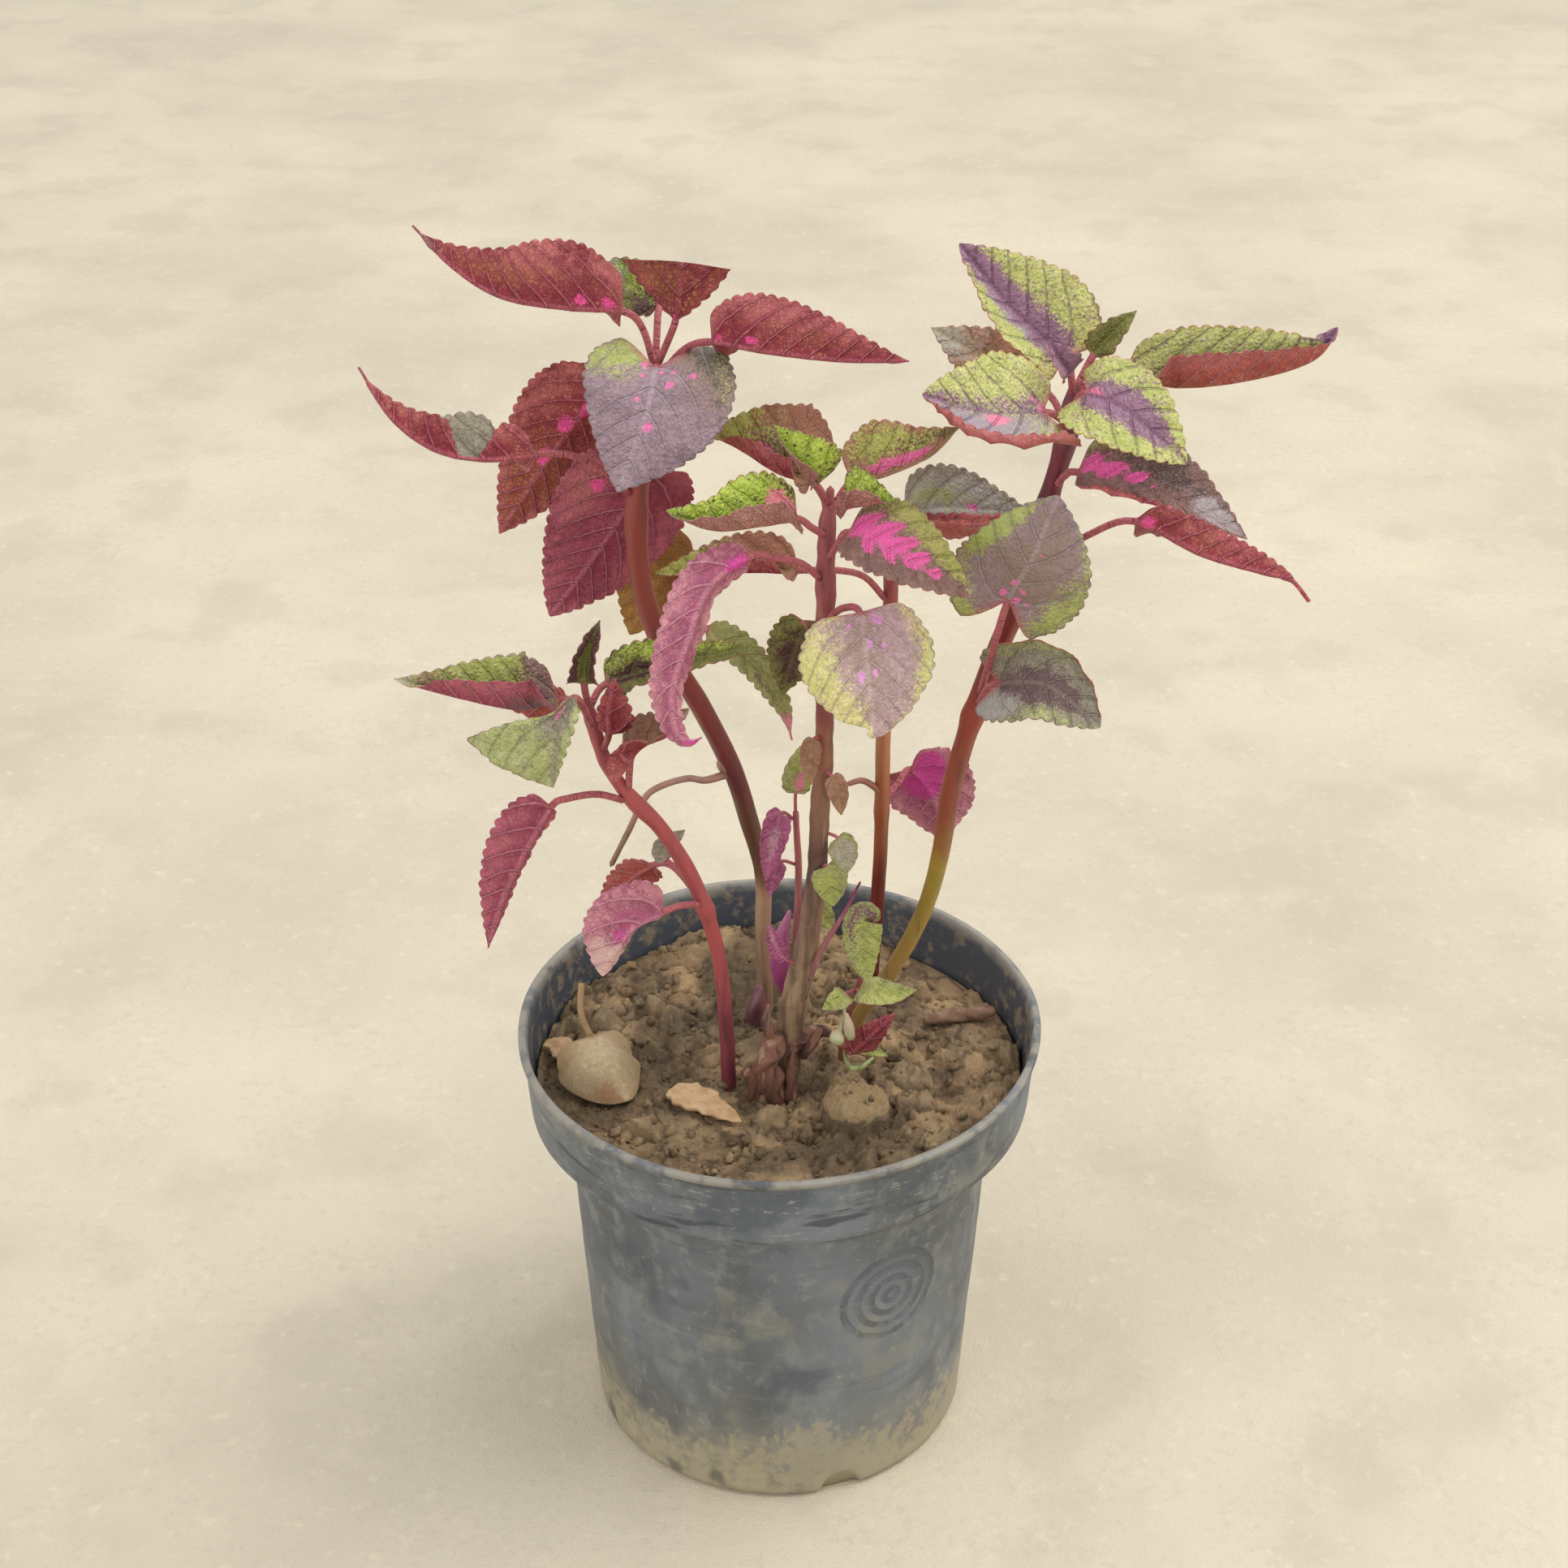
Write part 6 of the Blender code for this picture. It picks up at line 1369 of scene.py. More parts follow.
def floor_material(settings):
    """Plain pale floor with a barely visible mottle."""
    skin = Finish("pale floor")
    base = tuple(settings.floor_colour)
    sand = skin.grain(34.0)
    patch = skin.grain(15.0)
    grit = skin.grain(150.0)
    skin.colour = blend(skin.grain(5.0)["Broad"].ramp(0.3, 0.7), shade(base, 0.90), shade(base, 1.06))
    skin.coats([
        (patch["Broad"], 0.50, 0.66, 0.0, 0.40, shade(base, 0.80)),
        (sand["Relief"], 0.50, 0.66, 0.0, 0.45, shade(base, 0.80)),
        (sand["Broad"], 0.52, 0.72, 0.0, 0.35, shade(base, 1.10, 0.95)),
        (grit["Fine"], 0.60, 0.72, 0.0, 0.45, shade(base, 0.62)),
        (grit["Broad"], 0.58, 0.74, 0.0, 0.40, shade(base, 1.18, 0.95))])
    return skin.done(0.9, sand["Relief"] + grit["Relief"], 0.0016, 0.5)


# Stems and sprouts

SOFT = [("warm", 0.6, 0.3, 0.5, 0.8, 1.2)]
# Each sprig of a stem: half width, first material slot and marks.
SPRIG_LOOKS = {
    "centre_stem": [
        (5.4, 2, SOFT), (4.4, 2, [("pale", 0.5, 0.0, 0.6, 1.0, 1.0)]), (3.0, 4, []), (3.2, 4, []),
        (2.6, 6, [("pale", 0.6, 0.0, 0.3, 0.6, 0.8)]), (1.8, 4, [("dark", 0.5, 0.0, 0.6, 1.0, 1.0)]),
        (1.8, 4, [("dark", 0.5, 0.0, 0.6, 1.0, 1.0)])],
    "low_stem": [(3.4, 2, [])],
}
# Upper and under finishes of the sprigs, two material slots for each pair, from slot 2 on.
STEM_LEAVES = {
    "centre_stem": [("lime", "pink"), ("olive", "crimson"), ("rose", "pink")],
}
# Old wood about the crown, each a path with how rough it is.
MORE_STALKS = {
    "centre_stem": [
        ([(0, -14, 116, 3.4), (-1.2, -17, 126, 4.6), (-3.0, -18.5, 134, 4.2), (-3.4, -18, 142, 3.6),
        (-1.0, -17, 146, 3.0), (1.0, -16, 150, 1.2)], 0.30),
        ([(-4, -17, 118, 2.0), (-6.8, -19, 127, 2.2), (-7.6, -20, 135, 1.7),
        (-6.6, -20.5, 143, 0.5)], 0.30),
        ([(-2, -19, 120, 2.0), (-1.6, -21.4, 128, 1.9), (-2.6, -22.0, 136, 1.3),
        (-2.2, -21.6, 141, 0.4)], 0.35),
        ([(3, -17, 118, 2.0), (4.0, -19, 127, 2.0), (3.6, -18.5, 137, 1.5), (4.4, -17, 144, 0.5)], 0.35),
        ([(2, -15, 143, 2.9), (7, -14, 146, 2.7), (12, -11, 146, 2.3), (16, -9, 145, 1.4)], 0.28),
        ([(7, -14, 140, 1.4), (10, -16, 145, 1.5), (13, -14, 150, 0.8)], 0.30),
        ([(-1, -15, 144, 1.8), (-3.4, -16, 152, 1.6), (-3.0, -15.5, 160, 0.7)], 0.32),
        ([(5, -13, 156, 2.2), (9, -14, 168, 1.2), (13, -15, 180, 0.9), (19, -15, 192, 0.6),
        (24, -14, 203, 0.35)], 0.12)],
    "left_stem": [
        ([(-5, 26, 116, 2.0), (-6.5, 22, 124, 3.4), (-7.0, 20, 133, 3.0), (-6.0, 21, 141, 0.9)], 0.30),
        ([(-15, 22.5, 217, 1.3), (-16.5, 20.5, 221, 1.6), (-17.5, 20, 224, 1.1)], 0.35)],
}
# Colours of bare stalks and old wood: height in millimetres, then the colour.
STALK_COLOURS = {
    "left_stem": [
        (118, (0.120, 0.060, 0.060)), (138, (0.200, 0.080, 0.090)), (160, (0.200, 0.090, 0.070)),
        (195, (0.260, 0.150, 0.100)), (212, (0.300, 0.180, 0.130)), (222, (0.400, 0.230, 0.190))],
    "back_stem": [(195, (0.380, 0.150, 0.110)), (210, (0.330, 0.160, 0.120))],
    "centre_stem": [
        (112, (0.060, 0.032, 0.020)), (130, (0.150, 0.066, 0.044)), (146, (0.230, 0.110, 0.072)),
        (158, (0.270, 0.160, 0.115)), (182, (0.340, 0.130, 0.140)), (203, (0.300, 0.060, 0.160))],
}
# Skin colours of the sprouts: height in millimetres, then the colour.
SPROUT_COLOURS = {
    "front_sprout": [
        (114, (0.150, 0.090, 0.040)), (150, (0.300, 0.120, 0.080)), (176, (0.420, 0.110, 0.140))],
    "back_sprout": [
        (114, (0.240, 0.150, 0.130)), (165, (0.400, 0.180, 0.190)), (220, (0.420, 0.120, 0.130))],
}
# Leaves of the shoots: axis, half width, marks, first material slot, fold and which way the upper side faces.
SHOOT_LEAVES = {
    "front_sprout": [
        ([(24, -5, 158), (24, -13, 163), (27, -16, 165), (34, -17, 165),
        (41, -18, 167)], 4.6, SOFT, 1, 20, (-90, 50)),
        ([(24, -5, 158), (20, -13, 162), (18, -16, 162), (13, -18, 160)], 3.6, SOFT, 1, 20, (-90, 45)),
        ([(28, -6, 173), (27, -9, 184), (25, -11, 187), (25, -13, 177),
        (27, -14, 166)], 6.0, [("dark", 0.25, 0.3, 0.30, 0.5, 1.2),
        ("warm", 0.6, -0.3, 0.5, 0.8, 1.4)], 1, 8, (-90, 20)),
        ([(20, -3, 140), (21, -9, 140), (22, -14, 141), (28, -17, 150),
        (35, -17, 158)], 5.6, [], 3, 10, (90, 10)),
        ([(20, -2, 136), (23, -8, 139), (25, -12, 142), (33, -16, 141)], 3.0, SOFT, 1, 25, (-90, 40))],
    "back_sprout": [
        ([(5, 5, 212), (1, 3, 216), (-1, 1, 210),
        (-4, -2, 195)], 4.4, [("pale", 0.5, 0.0, 0.3, 0.6, 0.8)], 3, 20, (-90, 30)),
        ([(5, 5, 214), (5, 4, 222), (6, 4, 230), (9, 5, 240)], 4.6, [("pink", 0.25, 0.2, 0.2, 0.4, 1.2),
        ("warm", 0.7, 0.2, 0.4, 0.8, 1.2)], 1, 20, (-90, 35)),
        ([(5, 6, 196), (1, 3, 199), (-1, 2, 196), (-3, 0, 188)], 3.0, [], 3, 25, (-90, 30)),
        ([(5, 7, 175), (9, 5, 181), (12, 3, 181), (17, 1, 176)], 4.4, SOFT, 1, 15, (-90, 35))],
}
# Buds and closed leaves of the shoots, each a path of points with the radius there.
SHOOT_BUDS = {
    "front_sprout": [
        [(20, -4, 147, 0.6), (18.5, -14, 149, 0.9), (17.6, -19, 150.5, 2.0), (17.5, -20.5, 151.2, 2.3),
        (17.4, -22, 151.8, 1.8)],
        [(20, -4, 150, 0.5), (20.5, -14, 150, 0.8), (21.5, -19, 151, 1.5), (20.8, -20, 155.5, 1.6),
        (20.2, -20, 160, 0.4)],
        [(20, -3, 137, 0.6), (20.4, -14, 138.5, 0.6), (22, -19, 139, 0.8), (25, -20, 140, 0.9),
        (28.6, -20, 143.6, 0.4)]],
    "back_sprout": [
        [(4, 8, 146, 0.8), (2.4, 5, 150, 1.9), (0.4, 4, 160, 3.0), (0.8, 4, 170, 2.4), (3.4, 4, 181, 0.5)]],
}
# Colours of the buds: height in millimetres, then the colour.
BUD_COLOURS = {
    "front_sprout": [
        (136, (0.360, 0.440, 0.150)), (148, (0.520, 0.580, 0.300)), (160, (0.560, 0.400, 0.340))],
    "back_sprout": [
        (146, (0.300, 0.040, 0.160)), (166, (0.420, 0.085, 0.260)), (181, (0.500, 0.170, 0.330))],
}
# Upper and under finishes of the shoot leaves, two material slots for each pair, from slot 1 on.
SHOOT_FINISH = {
    "front_sprout": [("lime", "crimson"), ("dusk", "crimson")],
    "back_sprout": [("lime", "pink"), ("rose", "pink")],
}
# Sides and rows of each kind of tube.
STEM_GRID = (30, 170)
STALK_GRID = (16, 60)
WOOD_GRID = (26, 84)
SPROUT_GRID = (18, 80)
BUD_GRID = (24, 60)
TWIG_GRID = (20, 60)
# A swelling of a stem: how far it lies below its leaf, its share of the radius and its reach.
SWELLING_DROP = 3
SWELLING_SIZE = 0.13
SWELLING_REACH = 3.2


def leaf_nodes(name):
    """The height, size and reach of each swelling of a stem, one where each of its leaves grows."""
    own = name.split("_")[0]
    axes = [spec["axis"] for leaf, spec in LEAVES.items() if leaf.split("_")[0] == own]
    levels = sorted({round(axis[0][2]) for axis in axes})
    return [(level - SWELLING_DROP, SWELLING_SIZE, SWELLING_REACH) for level in levels]


def make_stems(settings):
    """Each stem as a slightly square tube with swellings at its leaves, its bare stalks and its sprigs."""
    for number, name in enumerate(STEMS):
        woody = name == "centre_stem"
        path = np.array(STEMS[name], float)
        path[-1, 3] *= TOP_TAPER
        rough, square = (0.07, 0.02) if woody else (0.02, 0.05)
        parts = [tube_part(path, *STEM_GRID, 0, rough, 1.3 + number, leaf_nodes(name), square)]
        if name in BARE_STALKS:
            parts.append(tube_part(BARE_STALKS[name], *STALK_GRID, 1, 0.05, 4.1 + number))
        for path, rough in MORE_STALKS.get(name, []):
            parts.append(tube_part(path, *WOOD_GRID, 1, rough, 7.7 + number))
        for count, axis in enumerate(SPRIGS.get(name, [])):
            half, slot, marks = SPRIG_LOOKS[name][count]
            parts.append(sprig_part(axis, half, marks, settings, 3.3 + count, slot))
        bark = 1.0 if woody else 0.0
        stalk_colours = STALK_COLOURS.get(name, STEM_COLOURS[name])
        skins = [
            stem_material(name + " skin", STEM_COLOURS[name], settings, 0.45 * bark),
            stem_material(name + " old wood", stalk_colours, settings, bark)]
        skins += leaf_skins(STEM_LEAVES.get(name, [("greygreen", "pink")]), settings)
        hand_over(make_piece(name + "_bark", parts, skins), "woody_stem" if woody else "red_stem", name)


def make_sprouts(settings):
    """The thin sprouts beside the centre stem, each with its small leaves, buds and closed leaves."""
    for number, (name, path) in enumerate(SPROUTS.items()):
        parts = [tube_part(path, *SPROUT_GRID, 0, 0.05, 2.0 + number)]
        for count, (axis, half, marks, slot, fold, face) in enumerate(SHOOT_LEAVES[name]):
            seed = 1.9 + 2 * count + number
            parts.append(sprig_part(axis, half, marks, settings, seed, slot, fold, face))
        parts += [tube_part(bud, *BUD_GRID, 5, 0.06, 3.0) for bud in SHOOT_BUDS[name]]
        skins = [stem_material(name + " skin", SPROUT_COLOURS[name], settings)]
        skins += leaf_skins(SHOOT_FINISH[name], settings)
        skins.append(stem_material(name + " bud", BUD_COLOURS[name], settings))
        hand_over(make_piece(name + "_shoot", parts, skins), "sprout", name)


# Soil

SOIL_TURNS = 380
SOIL_ROWS = 150
HOLLOW_CENTRE = (52.0, 52.0)
HOLLOW_REACH = (19.0, 14.0)
HOLLOW_DEPTH = 4.5
BANK_CENTRE = (-15.0, 68.0)
BANK_REACH = (30.0, 13.0)
BANK_HEIGHT = 4.0
CRUMB_SEED = 41
CRUMB_ROWS = 5
CRUMB_SIDES = 8
CRUMB_SPREAD = 72.0


def soil_height(x, y):
    """Crossing waves with creases, a clod sqrt(1 - r^2), and flat pads where litter lies."""
    lumps = 1.6 * np.abs(np.sin(0.115 * x + 0.05 * y + 0.8)) - 1.9
    lumps += 1.3 * np.abs(np.sin(0.13 * y - 0.06 * x + 2.1))
    lumps += 0.9 * np.abs(np.sin(0.27 * x + 1.3 * np.sin(0.09 * y)))
    reach = np.hypot(x - CLOD_CENTRE[0], y - CLOD_CENTRE[1]) / CLOD_RADIUS
    lumps += CLOD_HEIGHT * np.sqrt(np.clip(1 - reach**2, 0, 1))
    for px, py, radius in SOIL_PADS:
        near = np.hypot(x - px, y - py) / radius
        lumps *= np.clip((near - 0.85) / 0.3, 0.0, 1.0)
    return SOIL_LEVEL + lumps - 0.12 * np.maximum(np.hypot(x, y) - 62.0, 0.0)


def bell(x, y, centre, reach):
    """A smooth hill exp(-(a^2 + b^2)), with a and b the distances from its centre over its reach."""
    return np.exp(-(((x - centre[0]) / reach[0]) ** 2 + ((y - centre[1]) / reach[1]) ** 2))


def soil_relief(x, y, settings):
    """Broken clods: each cell of three sizes of scattered points is a lump with cracks between.

    Returns the height, how open the ground is (0 in a crack), and a number for each clod.
    """
    wx = x + 2.6 * ripple(x, y, 17.0, 1.0) + 0.8 * ripple(x, y, 5.0, 2.2)
    wy = y + 2.6 * ripple(x, y, 15.0, 4.0) + 0.8 * ripple(x, y, 5.5, 5.1)
    near, second, owner = cells(wx, wy, settings.clod_size, 3.0)
    big = smooth_step(0.0, 0.55, second - near)
    near2, second2, owner2 = cells(wx + 31.0, wy, settings.clod_size * 0.40, 11.0)
    small = smooth_step(0.0, 0.55, second2 - near2)
    near3, second3, _ = cells(wx, wy + 17.0, settings.clod_size * 0.15, 23.0)
    tiny = smooth_step(0.0, 0.6, second3 - near3)
    calm = np.ones_like(x)
    for px, py, radius in SOIL_PADS:
        calm = np.minimum(calm, smooth_step(0.7, 1.25, np.hypot(x - px, y - py) / radius) + 0.12)
    broken = smooth_step(-0.5, 0.7, ripple(x + 9.0, y, 31.0, 6.3))
    big_rise = settings.clod_height * (big * (0.15 + 1.15 * owner**1.5) - 0.40) * (0.45 + 0.75 * broken)
    rise = big_rise * calm + 1.1 * (small * (0.1 + 1.3 * owner2**2) - 0.4) * (0.35 + 0.65 * calm)
    rise = rise + 0.55 * (tiny - 0.6) * smooth_step(-0.6, 0.5, ripple(x, y + 4.0, 14.0, 8.8))
    rise = rise + 0.40 * ripple(x, y, 2.1, 7.0) + 0.5 * ripple(x, y, 4.6, 9.0)
    hollow = bell(x, y, HOLLOW_CENTRE, HOLLOW_REACH)
    rise = rise - HOLLOW_DEPTH * hollow + BANK_HEIGHT * bell(x, y, BANK_CENTRE, BANK_REACH)
    clod = 1 - smooth_step(0.85, 1.0, np.hypot(x - CLOD_CENTRE[0], y - CLOD_CENTRE[1]) / CLOD_RADIUS)
    grains = 0.8 * ripple(x, y, 3.6, 12.0) + 0.5 * ripple(x, y, 1.5, 13.0)
    rise = rise * (1 - clod) + grains * clod
    openness = np.clip(0.45 + 0.55 * big, 0, 1) * np.clip(0.60 + 0.40 * small, 0, 1)
    openness = np.maximum(openness, 0.9 * clod)
    return rise, openness, owner * (1 - clod) + 2.0 * clod


def make_soil(settings):
    """The soil as a closed body: a ring grid of its broken top, and a plain side and underside."""
    gap = CLEARANCE
    wall_gap = WALL + gap
    shoulder = POT_HEIGHT - BAND_HEIGHT
    side = np.array([
        (3.0, FLOOR + gap), (BASE_RADIUS - wall_gap - 3.5, FLOOR + gap),
        (BASE_RADIUS - wall_gap - 1.0, FLOOR + gap + 2.5),
        (SHOULDER_RADIUS - wall_gap - 0.6, shoulder + 2.2)])
    turns = np.arange(SOIL_TURNS) * TAU / SOIL_TURNS
    top_radii = (BAND_RADIUS - wall_gap - 0.4) * np.linspace(1, 0.01, SOIL_ROWS) ** 0.8
    radii = np.concatenate([side[:, 0], top_radii])
    x = radii[:, None] * np.cos(turns)
    y = radii[:, None] * np.sin(turns)
    rise, openness, owner = soil_relief(x, y, settings)
    z = soil_height(x, y) + rise
    outer = smooth_step(SHOULDER_RADIUS - 6.0, SHOULDER_RADIUS - 1.0, radii[4:])[:, None]
    z[4:] = np.maximum(z[4:], (shoulder + 5.2) * outer)
    z[4:8] = z[4:8] * 0 + z[8]
    shelf = SHOULDER_RADIUS - wall_gap - 0.5
    inner = np.minimum(radii[4], shelf) / radii[4]
    z[:4] = side[:, 1][:, None]
    low = z[4] < shoulder + 2.6
    x[4] = np.where(low, x[4] * inner, x[4])
    y[4] = np.where(low, y[4] * inner, y[4])
    tints = np.zeros(z.shape + (8,))
    tints[..., 0] = openness
    tints[..., 1] = owner
    part = closed_part(np.stack([x, y, z], -1), tints=tints)
    clay = soil_material("clay soil", settings)
    hand_over(make_piece("soil_clods", [part], [clay]), "soil", "soil")
    hand_over(make_piece("soil_crumbs", [crumb_part(settings)], [clay]), "soil")


def crumb_part(settings):
    """Loose crumbs: one lumpy ball, r (1 + 0.25 ripple), copied to scattered places with its own size."""
    random = np.random.default_rng(CRUMB_SEED)
    count = settings.crumb_count
    rise = np.linspace(-1.25, 1.25, CRUMB_ROWS)[:, None]
    turn = (np.arange(CRUMB_SIDES) * TAU / CRUMB_SIDES)[None, :]
    across = np.cos(rise)
    first = closed_part(np.stack([across * np.cos(turn), across * np.sin(turn), np.sin(rise) + 0 * turn], -1))
    ball = first["points"]
    radius = CRUMB_SPREAD * np.sqrt(random.random(count))
    angle = TAU * random.random(count)
    size = 0.55 + 1.5 * random.random(count) ** 2.5
    place = np.stack([radius * np.cos(angle), radius * np.sin(angle)], -1)
    for px, py, keep in SOIL_PADS:
        away = np.hypot(place[:, 0] - px, place[:, 1] - py) > keep * 0.8
        size = np.where(away, size, 0.5)
    floor = soil_height(place[:, 0], place[:, 1]) + soil_relief(place[:, 0], place[:, 1], settings)[0]
    centre = np.concatenate([place, (floor + 0.35 * size)[:, None]], -1)
    shape = 1 + 0.25 * random.standard_normal((count, len(ball), 1)).clip(-1.5, 1.5)
    squash = 0.7 + 0.5 * random.random((count, 1, 3))
    points = centre[:, None] + ball[None] * shape * squash * size[:, None, None]
    offsets = np.arange(count) * len(ball)
    quads = (first["quads"][None] + offsets[:, None, None]).reshape(-1, 4)
    rings = [ring + offset for offset in offsets for ring in first["rings"]]
    tints = np.zeros((count * len(ball), 8))
    tints[:, 0] = 1.0
    tints[:, 1] = np.repeat(random.random(count), len(ball))
    return dict(
        points=points.reshape(-1, 3), quads=quads, rings=rings, slots=np.zeros(len(quads), int),
        ring_slot=0, uv=np.zeros((count * len(ball), 2)), tints=tints)


# Pot

POT_TURNS = 420
# Grooves of the band: height above the shoulder, depth and width.
GROOVES = ((6.5, 0.22, 0.7), (13.5, 0.18, 0.8), (20.8, 0.30, 0.6))
SEEN_STEP = 1.5
HIDDEN_STEP = 4.0


def pot_profile():
    """The pot's section, outside up and inside down.

    Its steps are wider under the foot and below the soil, where they are hidden.
    """
    shoulder = POT_HEIGHT - BAND_HEIGHT
    lip = POT_HEIGHT - LIP_HEIGHT
    lip_foot = RIM_RADIUS - 1.2
    corners = np.array([
        (4, 0), (BASE_RADIUS - 4.0, 0), (BASE_RADIUS - FOOT_ROUNDING, 0), (BASE_RADIUS, FOOT_ROUNDING),
        (SHOULDER_RADIUS, shoulder), (BAND_RADIUS - 1.0, shoulder), (BAND_RADIUS, shoulder + 1.2),
        (lip_foot, lip), (RIM_RADIUS, lip + 0.6), (RIM_RADIUS, POT_HEIGHT - 0.3),
        (RIM_RADIUS - 0.5, POT_HEIGHT), (RIM_RADIUS - 2.2, POT_HEIGHT),
        (lip_foot - WALL - 0.2, lip - 1.0), (BAND_RADIUS - WALL, shoulder + 2.4),
        (SHOULDER_RADIUS - WALL, shoulder + 2.0), (BASE_RADIUS - WALL, FLOOR + 1.0),
        (BASE_RADIUS - WALL - 1.0, FLOOR), (4, FLOOR)], float)
    length = running_length(corners)
    marks = []
    for number, (a, b) in enumerate(zip(length[:-1], length[1:])):
        step = SEEN_STEP if 0 < number < 13 else HIDDEN_STEP
        marks.append(np.linspace(a, b, max(int((b - a) / step), 2), endpoint=False))
    marks = np.concatenate(marks + [[length[-1]]])
    return np.stack([np.interp(marks, length, corners[:, 0]), np.interp(marks, length, corners[:, 1])], -1)


def make_pot(settings):
    """The pot: its section turned about Z, out of round by a few waves, with grooves and a foot notch.

    The notch lifts the foot by sqrt(n^2 - d^2) for d across the notch, less with height.
    """
    profile = pot_profile()
    turns = np.arange(POT_TURNS) * TAU / POT_TURNS
    radius = profile[:, 0][:, None] + 0 * turns
    z = profile[:, 1][:, None] + 0 * turns
    shoulder = POT_HEIGHT - BAND_HEIGHT
    outer = smooth_step(20.0, 60.0, radius)
    wobble = 0.45 * np.sin(2 * turns + 0.6) + 0.25 * np.sin(3 * turns + 2.0) + 0.12 * np.sin(7 * turns + 1.0)
    radius = radius + wobble * outer * (z / POT_HEIGHT) ** 2
    for level, depth, width in GROOVES:
        shallow = 0.55 + 0.45 * np.sin(3 * turns + level)
        radius = radius - depth * shallow * np.exp(-(((z - shoulder - level) / width) ** 2)) * (radius > 70)
    radius = radius + 0.10 * ripple(TAU * 10 * np.cos(turns), z + 40 * np.sin(turns), 26.0, 1.7) * outer
    z = z + 0.30 * np.sin(2 * turns + 1.1) * smooth_step(POT_HEIGHT - 9.0, POT_HEIGHT, z)
    across = (turns - math.radians(NOTCH_ANGLE) + math.pi) % TAU - math.pi
    arch = np.sqrt(np.clip(NOTCH_RADIUS**2 - (across * BASE_RADIUS) ** 2, 0, None))
    z = z + arch * (radius > BASE_RADIUS - 2.6) * (1 - smooth_step(0.0, 16.0, z))
    part = closed_part(np.stack([radius * np.cos(turns), radius * np.sin(turns), z], -1))
    plastic = pot_material("dusty slate plastic", settings)
    hand_over(make_piece("pot_shell", [part], [plastic]), "pot", "pot")


# Litter

# Each chip: centre, length, width, turn in degrees and seed.
CHIPS = {
    "chip_front": ((-22.0, -25.0), 26.0, 12.5, -36.0, 3.0),
    "chip_left": ((-67.0, 1.0), 16.0, 8.5, -60.0, 8.0),
}
# The dry leaf, the twig and the dry leaf's colours.
DRY_LEAF = dict(
    axis=[(-61, 8, 151), (-61, 2, 144), (-58, -2, 138), (-53, -12, 137), (-46, -24, 129.8)], start=2,
    face=((-60, 70), (-50, 50)), half=(16, 16), fold=(-12, -12), curl=(-40, -40), round=1.1, sweep=0.1,
    fine=0.12)
TWIG = [
    (46, 17.4, 128.8, 0.9), (52, 19.4, 128.9, 1.5), (58, 21.2, 129.0, 1.6), (64, 22.0, 129.0, 1.9),
    (69, 23.4, 128.9, 1.2)]
DRY_LOOK = dict(
    base=(0.430, 0.330, 0.185), warm=(0.570, 0.470, 0.300), dark=(0.300, 0.165, 0.085),
    pink=(0.40, 0.30, 0.18), edge=(0.400, 0.260, 0.140), vein=(0.480, 0.360, 0.220), vein_show=0.10,
    net=2.4, net_show=0.05, net_rise=0.2, panel_sheen=(0.400, 0.290, 0.150), gold_sheen=(0.360, 0.240, 0.120), rise=0.1,
    stalk=(0.400, 0.260, 0.130))
CHIP_ROWS = 70
CHIP_SIDES = 40
CHIP_LIFT = 1.9
CHIP_RUN = 26


def chip_part(centre, length, width, turn, seed):
    """A pointed chip: a flat section w(s) cos t, h(s) sin t along its length, w with ragged steps."""
    s = np.linspace(0, 1, CHIP_ROWS)
    t = np.arange(CHIP_SIDES) * TAU / CHIP_SIDES
    edge = np.minimum(1.0, 3.5 * s + 0.45) * (1 - s**2.4) ** 0.8 + 0.03
    run = s * CHIP_RUN
    ragged = edge * (1 + 0.13 * ripple(run, 0 * s, 7.0, seed) + 0.04 * ripple(run, 0 * s, 2.3, seed + 1))
    left = 0.5 * width * ragged
    right = 0.5 * width * edge * (1 + 0.16 * ripple(run, 0 * s, 6.0, seed + 4))
    wide = np.where(np.cos(t)[None, :] > 0, left[:, None], right[:, None])
    rough = 1 + 0.20 * ripple(run[:, None], 6 * np.cos(t), 4.0, seed + 2)
    thick = (1.15 * (1 - s**3) + 0.12)[:, None] * rough
    a = length * (s[:, None] - 0.5) + 0 * t + 0.5 * np.cos(t) * np.sin(7 * s[:, None])
    b = wide * np.sign(np.cos(t)) * np.abs(np.cos(t)) ** 0.8
    c = thick * np.sign(np.sin(t)) * np.abs(np.sin(t)) ** 0.6
    bow = 0.9 * (1 - (2 * s - 1) ** 2)[:, None] + 0.02 * b**2
    turn = math.radians(turn)
    return closed_part(np.stack([
        centre[0] + a * math.cos(turn) - b * math.sin(turn),
        centre[1] + a * math.sin(turn) + b * math.cos(turn), SOIL_LEVEL + CHIP_LIFT + c + bow], -1))


